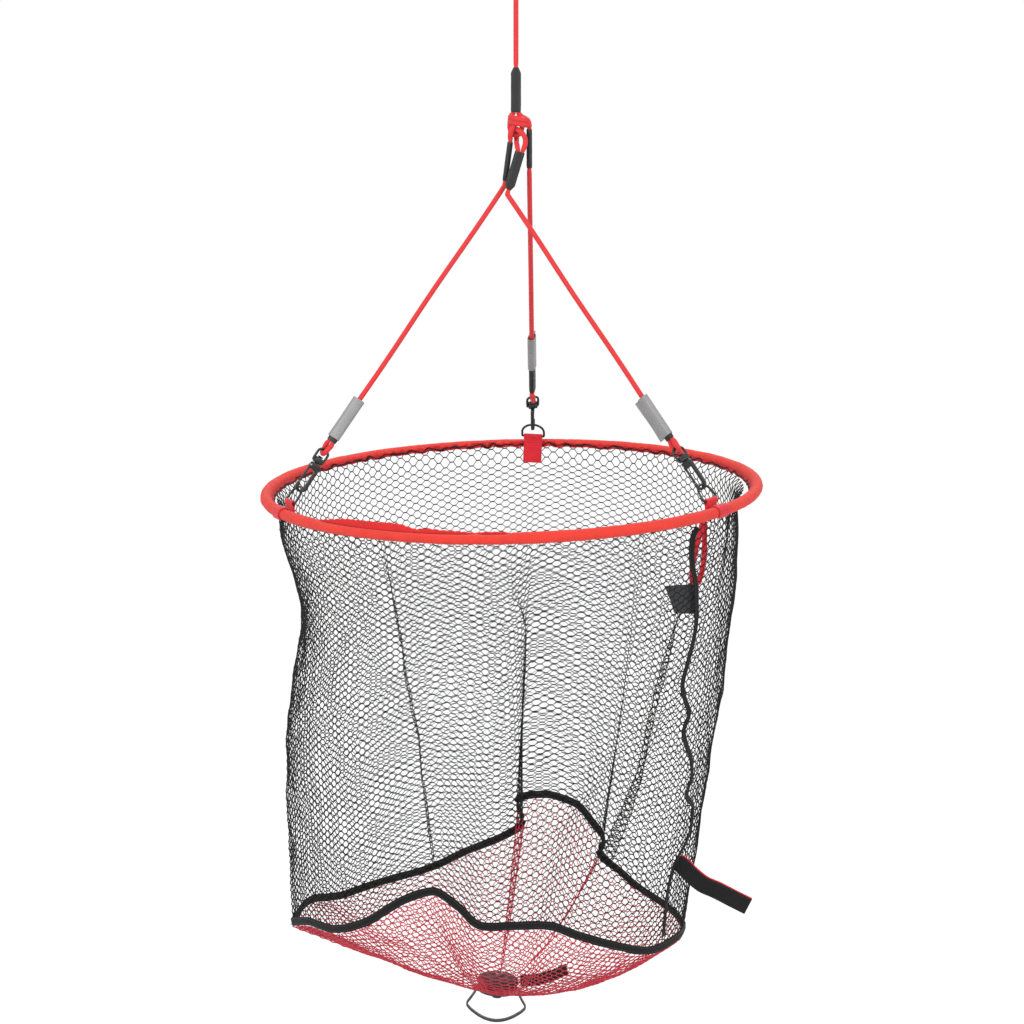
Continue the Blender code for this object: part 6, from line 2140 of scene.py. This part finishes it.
    def edge_mesh(self) -> bpy.types.Mesh:
        """The sleeve's gathered seam allowance, all round inside the hoop.

        Returns:
            The mesh.
        """
        azimuth = np.arange(1100) * math.tau / 1100
        top, low = self.edge_line(azimuth, 0.0), self.edge_line(azimuth, 1.0)
        widths = np.linalg.norm(low - top, axis=1)
        rings = strip_rings((low + top) / 2, unit(top - low), widths, 0.0011, 3)
        return skin(rings, loop=True)

    def binding_mesh(self) -> bpy.types.Mesh:
        """The black binding of the net's top, sewn on along the seam allowance in loose waves.

        Returns:
            The mesh.
        """
        azimuth = np.arange(1500) * math.tau / 1500
        wave = self.gather(azimuth - 0.004)
        top, low = self.edge_line(azimuth, 0.0), self.edge_line(azimuth, 1.0)
        down = low - top
        inward = np.stack([-np.cos(azimuth), -np.sin(azimuth), np.zeros_like(azimuth)], -1)
        squat = self.squat(azimuth)
        share = 0.66 - 0.14 * squat - (0.17 + 0.12 * squat) * wave
        middle = top + down * share[:, None] + inward * (0.0011 + 0.0003 * wave)[:, None]
        widths = 0.0017 + 0.0005 * np.sin(azimuth * 31) + 0.0003 * np.sin(azimuth * 87)
        return skin(strip_rings(middle, unit(down), widths, 0.0011, 2), loop=True)

    def build(self) -> None:
        """Makes the sleeves, the folded edge, the seam allowance with its stitches and the net's binding."""
        shop, finish = self.shop, self.shop.finish
        cuffs = sorted(math.radians(degrees) + self.cuff_turn for degrees in self.rim.azimuths)
        gap = self.cuff_gap / 2 / self.rim.radius
        for index, name in enumerate(("left", "front", "right")):
            start = cuffs[index] + gap
            end = (cuffs[index + 1] if index < 2 else cuffs[0] + math.tau) - gap
            outer, inner = self.sleeve_rings(start, end, False), self.sleeve_rings(start, end, True)
            rings = np.concatenate([outer, inner[::-1]])
            mesh = skin(rings, loop=True)
            shop.add(f"cloth_sleeve_{name}", mesh, finish.casing, "fabric_red", f"rim_sleeve_{name}")
        # Its darker red is painted shade on the folded edge.
        shop.add("sleeve_fold", self.fold_mesh(), finish.casing_fold_painted_shade, "fabric_red")
        # Its darker red is painted shade in the gathers.
        shop.add("sleeve_seam_edge", self.edge_mesh(), finish.casing_edge_painted_shade, "fabric_red")
        shop.add("hem_binding", self.binding_mesh(), finish.black_tape, "tape_black", "net_hem")
        # The fold's seam: dark stitches that also paint the crease's shade.
        azimuth = np.arange(math.radians(212), math.radians(269.5), 0.002)
        seam = self.rim.points(azimuth, self.rim.radius - 0.0026, 0.0044)
        shop.stitches("fold_stitches_and_painted_crease_shade", [seam], finish.dark_stitches_and_crease_shade, "fabric_red", 0.0021)
        shop.repaint(finish.steel, "hoop_wire", "hoop_ferrule")


@dataclass
class NetBag:
    """The bag: gathered hem, black wall, black band and red floor, all of knotted twine or tape."""

    shop: Workshop
    form: BagForm = BagForm()
    strands: int = 200
    wall_rows: int = 116
    knot_share: float = 0.23
    top_rise: float = 0.0088
    tuck_reach: float = 0.010
    twine_radius: float = 0.00060
    knot_radius: float = 0.00080
    twine_sides: int = 5
    floor_pitch: float = 0.0256
    floor_row: float = 0.0235
    floor_hole: float = 0.121
    wall_length: float = 0.550
    band_thickness: float = 0.0030
    creases: tuple[Crease, ...] = (
        Crease(BACK_LEFT_FOLD, True, 0.040, 0.4, 0.008, 1.2),
        Crease(BACK_MIDDLE_FOLD, True, 0.045, 0.45, 0.008, 0.9),
        Crease(BACK_RIGHT_FOLD, True, 0.050, 0.55, 0.008, 1.3),
        Crease(((0.45, 0.215), (0.68, 0.182), (1.0, 0.128)), True, 0.030, 0.35, 0.006, 0.5),
        Crease(((0.45, 0.150), (0.75, 0.060), (1.0, 0.040)), False, 0.045, 0.35, 0.008),
        Crease(((0.30, -0.070), (0.60, -0.020), (1.0, 0.000)), True, 0.040, 0.30, 0.010),
    )
    floor_pleats: tuple[Pair, ...] = ((-0.094, 0.72), (0.048, 0.68), (-0.190, 0.45), (0.150, 0.5))

    def gathered(self, shares: np.ndarray, levels: np.ndarray) -> tuple[np.ndarray, np.ndarray]:
        """The wall's shares drawn in towards its creases, and how far each point folds inwards.

        Args:
            shares: The shares of the way round.
            levels: The levels down the net.

        Returns:
            The shares drawn in, and how far each point folds inwards.
        """
        moved = shares.copy()
        depth = np.zeros_like(shares)
        for crease in self.creases:
            stops = [level for level, _ in crease.course]
            places = [self.form.share_at(level, x, crease.behind) for level, x in crease.course]
            centre = np.interp(levels, stops, places)
            start = np.clip((levels - stops[0]) / 0.22, 0, 1)
            apart = (shares - centre + 0.5) % 1.0 - 0.5
            near = np.exp(-((apart / crease.reach) ** 2)) * start
            tuck = np.exp(-((apart / self.tuck_reach) ** 2)) * start
            moved = moved - apart * (crease.pinch * near + crease.tuck * tuck)
            depth = depth + crease.depth * near * np.exp(-((apart / (0.35 * crease.reach)) ** 2))
            depth = depth + 0.22 * crease.tuck * np.sign(apart) * np.abs(apart) * tuck
        return moved, depth

    def row_levels(self) -> np.ndarray:
        """The wall's levels at every half row, an even length of twine apart in the neck and below it.

        Returns:
            The rows' levels.
        """
        form = self.form
        neck = form.wall_top + self.top_rise - form.tab_foot
        body = self.wall_length
        down = (neck + body * 1.006) * np.arange(self.wall_rows + 1) / self.wall_rows
        neck_levels = form.neck_level * (neck - down) / (form.wall_top - form.tab_foot)
        return np.where(down < neck, neck_levels, (down - neck) / body)

    def wall_nodes(self) -> np.ndarray:
        """The places of every strand at every half row of the wall.

        Returns:
            The wall's knots.
        """
        i = np.arange(self.strands)[:, None]
        j = np.arange(self.wall_rows + 1)[None, :]
        k = self.knot_share
        shares = np.where((i + j) % 2 == 0, i - k, i - 1 + k) / self.strands
        levels = self.row_levels()[None, :] + 0.0 * i
        rough = self.form.wall(shares, levels)
        middle = np.exp(-(((levels - 0.5) / 0.42) ** 4))
        levels = levels + 0.0075 * ripple(rough, 9.0, 4.0) * middle
        moved, depth = self.gathered(shares, levels)
        moved = moved + (0.0035 * ripple(rough, 11.0, 1.0) + 0.0009 * ripple(rough, 60.0, 6.0)) * middle
        places = self.form.wall(moved, levels)
        azimuth = math.pi - math.tau * moved
        inward = np.stack([-np.cos(azimuth), -np.sin(azimuth), np.zeros_like(azimuth)], -1)
        seam_share = np.interp(levels, [s[0] for s in SEAM], [s[1] for s in SEAM])
        apart = np.abs((moved - seam_share + 0.5) % 1.0 - 0.5)
        calm = 1 - np.exp(-((apart / 0.035) ** 2))
        sway = 0.0042 * ripple(rough, 14.0, 9.0) + 0.0016 * ripple(rough, 42.0, 3.0)
        return places + inward * (depth + sway * middle * calm)[..., None]

    def wall_lattice(self) -> tuple[list[np.ndarray], list[np.ndarray]]:
        """The wall's strands, and each strand's knots with the next one.

        Returns:
            The strands and the knots.
        """
        nodes = self.wall_nodes()
        knots = []
        for i in range(self.strands):
            after = nodes[(i + 1) % self.strands]
            knots.append([(nodes[i][j], after[j]) for j in range(i % 2, nodes.shape[1], 2)])
        return list(nodes), knots

    def on_floor(self, flat: np.ndarray) -> np.ndarray:
        """Places on the hanging floor for points of the flat net, whose edge is a circle of radius 1.

        Args:
            flat: The places in the flat net.

        Returns:
            The points on the floor.
        """
        reach = np.clip(np.linalg.norm(flat, axis=-1), self.floor_hole, 1.0)
        shares = ((math.pi - np.arctan2(flat[..., 1], flat[..., 0])) / math.tau) % 1.0
        levels = (1 - reach) / (1 - self.floor_hole)
        line, _ = self.form.band_line()
        half = len(line) // 2
        for x, pinch in self.floor_pleats:
            found = half + int(np.argmin(np.abs(line[half:, 0] - self.form.rim.centre_x - x)))
            apart = (shares - found / len(line) + 0.5) % 1.0 - 0.5
            near = np.exp(-((apart / 0.050) ** 2)) * np.clip(levels / 0.35, 0, 1)
            shares = shares - apart * pinch * near
        places = self.form.floor(shares, levels)
        rough = places.copy()
        middle = np.clip(np.sin(levels * math.pi), 0, 1)
        places[..., 2] += middle * (0.0040 * ripple(rough, 18.0, 5.0) + 0.0014 * ripple(rough, 55.0, 2.0))
        return places

    def floor_lattice(self) -> tuple[list[np.ndarray], list[np.ndarray]]:
        """The floor's strands and knots: a flat net of even cells, cut round and hung from the band.

        Returns:
            The strands and the knots.
        """
        columns = math.ceil(1 / self.floor_pitch) + 1
        rows = math.ceil(1 / self.floor_row) + 1
        i = np.arange(-columns, columns + 1)[:, None]
        j = np.arange(-rows, rows + 1)[None, :]
        k = self.knot_share
        x = np.where((i + j) % 2 == 0, i + 0.5 - k, i - 0.5 + k) * self.floor_pitch
        y = j * self.floor_row + 0.0 * i
        flat = np.stack([x, y], -1)
        flat = flat * (1 + 0.03 * ripple(np.stack([x, y, 0 * x], -1), 3.0, 2.0))[..., None]
        reach = np.linalg.norm(flat, axis=-1)
        kept = (reach < 1 + 0.6 * self.floor_row) & (reach > self.floor_hole - 0.6 * self.floor_row)
        nodes = self.on_floor(flat)
        strands, knots = [], []
        for column in range(len(i)):
            edges = np.flatnonzero(np.diff(np.concatenate([[0], kept[column].astype(int), [0]])))
            spans = zip(edges[::2], edges[1::2])
            strands.append([nodes[column][start:end] for start, end in spans if end - start > 1])
            ties = []
            if column + 1 < len(i):
                both = kept[column] & kept[column + 1] & ((i[column] + j[0]) % 2 == 0)
                ties = [(nodes[column][row], nodes[column + 1][row]) for row in np.flatnonzero(both)]
            knots.append(ties)
        return strands, knots

    def twine(
        self, name: str, net: tuple[list, list], sectors: int, finish: bpy.types.Material, node: str
    ) -> None:
        """Builds the mesh in sectors: long zigzag strands, and a short thick bar at each knot.

        Args:
            name: The pieces' name, before each sector's number.
            net: The strands, and each strand's knots.
            sectors: In how many pieces.
            finish: The twine's material.
            node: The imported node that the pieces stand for.
        """
        shop = self.shop
        slot = "net_black" if node == "net_wall" else "net_red"
        strands, knots = net
        bounds = np.linspace(0, len(strands), sectors + 1).round().astype(int)
        for sector, (start, end) in enumerate(zip(bounds[:-1], bounds[1:])):
            own = []
            for strand in strands[start:end]:
                own.extend([strand] if isinstance(strand, np.ndarray) else strand)
            bars = []
            for first, second in (tie for ties in knots[start:end] for tie in ties):
                reach = (second - first) * 0.08
                bars.append(np.array([first - reach, second + reach]))
            tree, sides = shop.nodes.twine, self.twine_sides
            mesh = shop.nodes.run(tree, own, Radius=self.twine_radius, Sides=sides, Finish=finish)
            tied = shop.nodes.run(tree, bars, Radius=self.knot_radius, Sides=sides, Finish=finish)
            shop.add(f"{name}_{sector + 1}", mesh, finish, slot, node)
            shop.add(f"{name}_knots_{sector + 1}", tied, finish, slot)

    def band_mesh(self) -> bpy.types.Mesh:
        """The black band between the wall and the floor.

        Returns:
            The mesh.
        """
        count = 640
        shares = np.arange(count) / count
        place, up = self.form.band_at(shares)
        place = place + up * (0.0005 * ripple(place, 60.0, 4.0))[:, None]
        widths = 1.14 * self.form.band_height + 0.0006 * ripple(place, 90.0, 8.0)
        rings = strip_rings(place, up, widths, self.band_thickness * 0.85, 3)
        return skin(rings, loop=True)

    def build(self) -> None:
        """Makes the wall, the band and the floor."""
        shop, finish = self.shop, self.shop.finish
        self.twine("wall_twine", self.wall_lattice(), 4, finish.black_twine, "net_wall")
        shop.add("band_webbing", self.band_mesh(), finish.black_tape, "tape_black", "net_band")
        self.twine("floor_twine", self.floor_lattice(), 2, finish.red_twine, "net_floor")
        place, up = self.form.band_at(np.arange(400) / 400)
        along = unit(np.roll(place, -1, 0) - np.roll(place, 1, 0))
        out = unit(np.cross(up, along)) * 0.0014
        for name, edge in (("upper", 0.0029), ("lower", -0.0029)):
            lines = [place + up * edge + out, place + up * edge - out]
            shop.stitches(f"band_stitches_{name}", lines, finish.black_thread, "tape_black", 0.0042)


@dataclass
class SeamFittings:
    """What is sewn to the wall's seam: its tape, a bare label, a red loop and the storage strap."""

    shop: Workshop
    form: BagForm = BagForm()
    tape_width: float = 0.0074
    tape_thickness: float = 0.0012
    tape_lift: float = 0.0027
    label_thickness: float = 0.0008
    label_free: tuple[Pair, Pair] = ((0.1155, 0.6348), (0.1845, 0.6225))
    label_sewn: tuple[Pair, Pair] = ((0.1231, 0.6070), (0.1972, 0.5995))
    loop_turn: float = -0.018
    loop_width: float = 0.0072
    loop_thickness: float = 0.0012
    strap_width: float = 0.020
    strap_layer: float = 0.0014
    strap_level: float = 0.80
    strap_share: float = 0.5730
    strap_lift: float = 0.0066
    strap_course: tuple[tuple[Triple, Triple], ...] = (
        ((0.000, -0.001, 0.0005), (0.14, 0.18, 0.97)),
        ((0.006, -0.005, -0.003), (0.36, 0.16, 0.92)),
        ((0.014, -0.008, -0.011), (0.58, 0.10, 0.80)),
        ((0.029, -0.011, -0.023), (0.60, 0.10, 0.80)),
        ((0.046, -0.011, -0.031), (0.58, 0.20, 0.78)),
        ((0.065, -0.008, -0.042), (0.55, 0.28, 0.80)),
        ((0.084, -0.004, -0.053), (0.60, 0.20, 0.77)),
    )

    def tape(self) -> None:
        """The binding tape down the seam, with a row of stitches near each edge."""
        course = smooth_route([(level, share, 0.0) for level, share in SEAM], 0.01)
        frames = [self.form.seam_frame(level, share, self.tape_lift) for level, share, _ in course]
        centre = np.array([place for place, _, _ in frames])
        around = np.array([turn for _, turn, _ in frames])
        outward = np.array([out for _, _, out in frames])
        columns = np.column_stack([centre, around, outward])
        dense = even_route(columns, 0.0025)
        path, around, outward = dense[:, :3], dense[:, 3:6], unit(dense[:, 6:])
        around = unit(around + 0.12 * ripple(path, 25.0, 3.0)[:, None] * outward)
        widths = self.tape_width + 0.0004 * ripple(path, 60.0, 2.0)
        mesh = skin(strip_rings(path, around, widths, self.tape_thickness, 2))
        shop = self.shop
        shop.add("seam_binding", mesh, shop.finish.black_tape, "tape_black", "seam_tape")
        lift = outward * (self.tape_thickness / 2 + 0.00005)
        lines = [path + around * side + lift for side in (-0.0022, 0.0022)]
        shop.stitches("seam_stitches", lines, shop.finish.black_thread, "tape_black", 0.0038)

    def label(self) -> None:
        """The bare care label inside the wall, a little curled."""
        starts, ends = [], []
        for t in np.linspace(0, 1, 13):
            curl = -0.0045 + 0.0012 * math.sin(2.4 * t)
            free = [self.label_free[0][i] * (1 - t) + self.label_free[1][i] * t for i in (0, 1)]
            sewn = [self.label_sewn[0][i] * (1 - t) + self.label_sewn[1][i] * t for i in (0, 1)]
            starts.append(self.form.seam_frame(*free, curl)[0])
            ends.append(self.form.seam_frame(*sewn, curl)[0])
        starts, ends = np.array(starts), np.array(ends)
        mesh = skin(sheet_rings(starts, ends, self.label_thickness))
        label = self.shop.add("bare_label", mesh, self.shop.finish.label, "label_grey", "care_label")

    def loop(self) -> None:
        """The red webbing loop that hangs from the hoop beside the right hook."""
        rim = self.form.rim
        azimuth = rim.azimuth(Side.RIGHT) + self.loop_turn
        outward = Vector((math.cos(azimuth), math.sin(azimuth), 0))
        around = Vector((-outward.y, outward.x, 0))
        top = rim.point(azimuth, self.form.hem_radius - 0.0115, -0.0205)
        shape = (
            (0.0022, 0.008), (0.0056, -0.010), (0.0102, -0.030), (0.0110, -0.052), (0.0068, -0.067),
            (0.0, -0.071), (-0.0068, -0.067), (-0.0110, -0.052), (-0.0102, -0.030),
            (-0.0056, -0.010), (-0.0022, 0.008),
        )
        hang = Vector((0, 0, 1)) + outward * 0.22 - around * 0.13
        path = smooth_route([tuple(top + around * side + hang * drop) for side, drop in shape], 0.0016)
        across = unit(np.array(outward) + 0.25 * ripple(path, 30.0, 2.0)[:, None] * np.array(around))
        widths = np.full(len(path), self.loop_width)
        mesh = skin(strip_rings(path, across, widths, self.loop_thickness, 2))
        self.shop.add("red_loop", mesh, self.shop.finish.red_webbing, "fabric_red", "webbing_loop")

    def strap(self) -> None:
        """The storage strap: a black face and a red backing, sewn together along their edges."""
        root, _, _ = self.form.seam_frame(self.strap_level, self.strap_share, self.strap_lift)
        course = smooth_route([(*place, *across) for place, across in self.strap_course], 0.0018)
        path, across = course[:, :3] + root, unit(course[:, 3:])
        tangents = unit(np.gradient(path, axis=0))
        normal = unit(np.cross(tangents, across))
        shop, finish, body = self.shop, self.shop.finish, Body.STRAP.value
        shift = normal * (self.strap_layer / 2 + 0.00006)
        if normal[len(normal) // 2][1] >= 0:
            shift = -shift
        widths = self.strap_width - 0.0002 + 0.0004 * ripple(path, 70.0, 3.0)
        face = skin(strip_rings(path + shift, across, widths, self.strap_layer, 2))
        shop.add("strap_face", face, finish.black_tape, "tape_black", "storage_strap", body)
        back = skin(strip_rings(path - shift + across * 0.0013, across, widths + 0.0002, self.strap_layer, 2))
        shop.add("strap_backing", back, finish.red_webbing, "fabric_red", body=body)
        half = self.strap_width / 2 - 0.0018
        lines = [(path + across * side + shift * 2.08)[2:-2] for side in (-half, half)]
        sizes = {"Pitch": 0.0036, "Length": 0.0015, "Thread": 0.0003}
        mesh = shop.nodes.run(shop.nodes.stitch, lines, Finish=finish.black_thread, **sizes)
        shop.add("strap_stitches", mesh, finish.black_thread, "tape_black", body=body)

    def build(self) -> None:
        """Makes all four."""
        self.tape()
        self.label()
        self.loop()
        self.strap()


@dataclass
class BaseWeight:
    """The weighted base: a puck and a plate that clamp the floor, the bail below and a strap inside."""

    shop: Workshop
    form: BagForm = BagForm()
    radius: float = 0.0255
    foot: float = 0.0013
    height: float = 0.0110
    plate_radius: float = 0.0250
    plate_top: float = -0.0013
    plate_height: float = 0.0060
    bolt_bore: float = 0.0033
    pivot: float = -0.0048
    leg_x: float = 0.0263
    corner_spread: float = 0.0105
    corner_drop: float = 0.023
    drop: float = 0.0415
    width: float = 0.009
    eye: float = 0.0032
    thickness: float = 0.002
    pin_bore: float = 0.0017

    def puck(self) -> None:
        """The puck and the plate, with a bore for the bolt."""
        place = self.form.base()
        top = self.foot + self.height
        weight = [
            (self.bolt_bore, top - 0.0002),
            (self.bolt_bore + 0.0003, top),
            (self.radius * 0.56, top),
            (self.radius * 0.62, top - 0.0001),
            (self.radius * 0.72, top - 0.0006),
            (self.radius * 0.82, top - 0.0014),
            (self.radius * 0.88, top - 0.0023),
            (self.radius * 0.93, top - 0.0035),
            (self.radius * 0.965, top - 0.0048),
            (self.radius * 0.985, top - 0.0062),
            (self.radius * 0.998, self.foot + 0.0022),
            (self.radius * 0.995, self.foot + 0.0012),
            (self.radius - 0.0006, self.foot + 0.0003),
            (self.radius - 0.0012, self.foot),
            (self.bolt_bore, self.foot),
        ]
        lower = [
            (self.bolt_bore, self.plate_top),
            (self.plate_radius - 0.0007, self.plate_top),
            (self.plate_radius - 0.0002, self.plate_top - 0.0002),
            (self.plate_radius, self.plate_top - 0.0007),
            (self.plate_radius, self.plate_top - self.plate_height + 0.0018),
            (self.plate_radius - 0.0004, self.plate_top - self.plate_height + 0.0008),
            (self.plate_radius - 0.0013, self.plate_top - self.plate_height + 0.0001),
            (self.plate_radius - 0.0025, self.plate_top - self.plate_height),
            (self.bolt_bore, self.plate_top - self.plate_height),
        ]
        shop = self.shop
        angles = np.arange(72) * math.tau / 72
        for name, node, profile in (
            ("rubber_puck", "base_weight", weight),
            ("rubber_plate", "base_plate", lower),
        ):
            rings = []
            for radius, height in profile:
                local = np.stack([radius * np.cos(angles), radius * np.sin(angles), np.full(72, height)], -1)
                rings.append(placed(local, place))
            mesh = skin(np.array(rings), loop=True)
            mesh.set_sharp_from_angle(angle=math.radians(35))
            shop.add(name, mesh, shop.finish.rubber, "base_rubber", node)

    def bail(self) -> None:
        """The strap bail, bent from one strip, with a hole at each end for its pin."""
        leg, corner, eye = self.leg_x, self.leg_x + self.corner_spread, self.eye
        side = [
            (-leg, 0, eye, 0.9 * eye),
            (-leg, 0, 0.85 * eye, 1.35 * eye),
            (-leg, 0, 0.5 * eye, 1.85 * eye),
            (-leg, 0, 0, 2 * eye),
            (-leg, 0, -1.2 * eye, self.width),
            (-leg - 0.45 * self.corner_spread, 0, -0.5 * self.corner_drop - 0.001, self.width),
            (-corner + 0.0008, 0, 0.0016 - self.corner_drop, self.width),
        ]
        sagitta = self.drop - self.corner_drop
        under = []
        for i in range(1, 16):
            x = -corner + 2 * corner * i / 16
            under.append((x, 0, -self.corner_drop - sagitta * (1 - (x / corner) ** 2), self.width))
        points = side + under + [(-x, y, z, w) for x, y, z, w in reversed(side)]
        place = self.form.base() @ Matrix.Translation((0, 0, self.pivot))
        course = smooth_route(points, 0.0016)
        path = placed(course[:, :3], place)
        across = np.tile(np.array(place.to_3x3()) @ np.array([0, 1, 0]), (len(path), 1))
        strip = skin(strip_rings(path, across, course[:, 3], self.thickness, 2))
        shop = self.shop
        bores = []
        for sign in (-1, 1):
            hole = place @ Matrix.Rotation(math.radians(90 * sign), 4, "Y")
            bores.append(turned([(self.pin_bore, leg - 0.004), (self.pin_bore, leg + 0.004)], hole, 24))
        mesh = joined(strip, bores, "DIFFERENCE")
        shop.add("strap_bail", mesh, shop.finish.bail, "bail_grey", "base_bail", Body.BAIL.value)

    def inner_strap(self) -> None:
        """The black strap that lies inside the bag and is clamped under the puck."""
        start = self.foot
        points = [
            (0.0275, 0.0, start + 0.0060),
            (0.0400, 0.0, start + 0.0072),
            (0.0540, 0.0, start + 0.0105),
            (0.0690, 0.0, start + 0.0165),
            (0.0840, 0.0, start + 0.0250),
        ]
        place = self.form.base()
        path = placed(smooth_route(points, 0.002), place)
        across = np.tile(np.array(place.to_3x3()) @ np.array([0, 0.93, 0.36]), (len(path), 1))
        widths = 0.0218 + 0.0003 * ripple(path, 70.0, 3.0)
        mesh = skin(strip_rings(path, across, widths, 0.0017, 2))
        shop = self.shop
        shop.add("floor_strap", mesh, shop.finish.black_tape, "tape_black", "inner_strap")

    def build(self) -> None:
        """Makes the base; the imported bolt, nut and pins stay as they are."""
        self.puck()
        self.bail()
        self.inner_strap()
        self.shop.repaint(self.shop.finish.rubber, "base_bolt")
        self.shop.repaint(self.shop.finish.steel, "base_nut")
        self.shop.repaint(self.shop.finish.black_steel, "bail_pin_left", "bail_pin_right")


@dataclass
class Studio:
    """The camera at the photograph's angle, soft lamps and a plain white sweep."""

    target: Triple = (-0.0052, 0.0, -0.7643)
    distance: float = 4.0
    elevation: float = math.radians(11)
    lens: float = 117.6
    shift: Pair = (0.0005, -0.0234)
    floor_level: float = -1.80
    floor_shade: float = 0.2
    floor_lift: float = 0.89
    floor_reach: float = 14.0
    ambient: float = 0.55

    def camera(self) -> None:
        """Sets the camera."""
        data = bpy.data.cameras.new("studio camera")
        data.lens = self.lens
        data.sensor_width = 36.0
        data.shift_x, data.shift_y = self.shift
        data.clip_start = 0.05
        data.clip_end = 60.0
        camera = bpy.data.objects.new("studio camera", data)
        away = Vector((0, -math.cos(self.elevation), math.sin(self.elevation))) * self.distance
        camera.location = Vector(self.target) + away
        camera.rotation_euler = (-away).to_track_quat("-Z", "Y").to_euler()
        bpy.context.scene.collection.objects.link(camera)
        bpy.context.scene.camera = camera

    def lamp(self, name: str, place: Triple, size: float, power: float) -> None:
        """Adds a soft square lamp that looks at the net.

        Args:
            name: The lamp's name.
            place: Where it stands.
            size: Its width.
            power: Its power.
        """
        data = bpy.data.lights.new(name, "AREA")
        data.shape = "SQUARE"
        data.size = size
        data.energy = power
        lamp = bpy.data.objects.new(name, data)
        lamp.location = place
        lamp.rotation_euler = (Vector(self.target) - Vector(place)).to_track_quat("-Z", "Y").to_euler()
        bpy.context.scene.collection.objects.link(lamp)

    def seen(self, tree: bpy.types.NodeTree) -> bpy.types.Node:
        """A value of 1 for rays from the camera, from glossy surfaces and through glass.

        Args:
            tree: The node tree that needs it.

        Returns:
            The node that gives it.
        """
        path = tree.nodes.new("ShaderNodeLightPath")
        first = tree.nodes.new("ShaderNodeMath")
        first.operation = "MAXIMUM"
        second = tree.nodes.new("ShaderNodeMath")
        second.operation = "MAXIMUM"
        tree.links.new(path.outputs["Is Camera Ray"], first.inputs[0])
        tree.links.new(path.outputs["Is Glossy Ray"], first.inputs[1])
        tree.links.new(first.outputs[0], second.inputs[0])
        tree.links.new(path.outputs["Is Transmission Ray"], second.inputs[1])
        return second

    def world(self) -> None:
        """A plain grey world that the camera sees as white."""
        world = bpy.data.worlds.new("studio world")
        world.use_nodes = True
        tree = world.node_tree
        tree.nodes.clear()
        light = tree.nodes.new("ShaderNodeBackground")
        light.inputs["Color"].default_value = (1, 1, 1, 1)
        light.inputs["Strength"].default_value = self.ambient
        white = tree.nodes.new("ShaderNodeBackground")
        white.inputs["Color"].default_value = (1, 1, 1, 1)
        white.inputs["Strength"].default_value = 1.0
        mix = tree.nodes.new("ShaderNodeMixShader")
        output = tree.nodes.new("ShaderNodeOutputWorld")
        tree.links.new(self.seen(tree).outputs[0], mix.inputs[0])
        tree.links.new(light.outputs[0], mix.inputs[1])
        tree.links.new(white.outputs[0], mix.inputs[2])
        tree.links.new(mix.outputs[0], output.inputs[0])
        bpy.context.scene.world = world

    def floor(self) -> None:
        """A white floor under the hanging net."""
        mesh = bpy.data.meshes.new("studio floor")
        reach = self.floor_reach
        square = ((-reach, -reach), (reach, -reach), (reach, reach), (-reach, reach))
        mesh.from_pydata([(x, y, self.floor_level) for x, y in square], [], [(0, 1, 2, 3)])
        material = bpy.data.materials.new("white floor")
        material.use_nodes = True
        tree = material.node_tree
        shader = tree.nodes["Principled BSDF"]
        shader.inputs["Base Color"].default_value = (0.8, 0.8, 0.8, 1)
        shader.inputs["Roughness"].default_value = 1.0
        shader.inputs["Specular IOR Level"].default_value = 0.0
        shade_only = tree.nodes.new("ShaderNodeBsdfDiffuse")
        shade_only.inputs["Color"].default_value = (self.floor_shade, self.floor_shade, self.floor_shade, 1)
        glow = tree.nodes.new("ShaderNodeEmission")
        glow.inputs["Strength"].default_value = self.floor_lift
        white = tree.nodes.new("ShaderNodeAddShader")
        mix = tree.nodes.new("ShaderNodeMixShader")
        tree.links.new(shade_only.outputs[0], white.inputs[0])
        tree.links.new(glow.outputs[0], white.inputs[1])
        tree.links.new(self.seen(tree).outputs[0], mix.inputs[0])
        tree.links.new(shader.outputs[0], mix.inputs[1])
        tree.links.new(white.outputs[0], mix.inputs[2])
        tree.links.new(mix.outputs[0], tree.nodes["Material Output"].inputs[0])
        mesh.materials.append(material)
        floor = bpy.data.objects.new("studio floor", mesh)
        bpy.context.scene.collection.objects.link(floor)

    def build(self) -> None:
        """Sets up the camera, the lamps and the surroundings."""
        self.camera()
        self.world()
        self.floor()
        self.lamp("key lamp", (-1.9, -2.6, 1.3), 1.8, 62.0)
        self.lamp("fill lamp", (2.3, -2.2, 0.2), 2.2, 34.0)
        self.lamp("back lamp", (0.4, 2.6, 1.4), 1.6, 30.0)
        bpy.context.scene.view_settings.view_transform = "Standard"


def main() -> None:
    """Builds the studio and each sub-assembly in turn."""
    logging.basicConfig(level=logging.INFO, format="%(name)s: %(message)s", stream=sys.stdout)
    Studio().build()
    shop = Workshop()
    MainLine(shop).build()
    for line in LEG_LINES:
        RopeLeg(shop, line).build()
        SnapHook(shop, line).build()
        RingFitting(shop, line).build()
    HoopCasing(shop).build()
    NetBag(shop).build()
    SeamFittings(shop).build()
    BaseWeight(shop).build()
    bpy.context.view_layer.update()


if __name__ == "__main__":
    main()
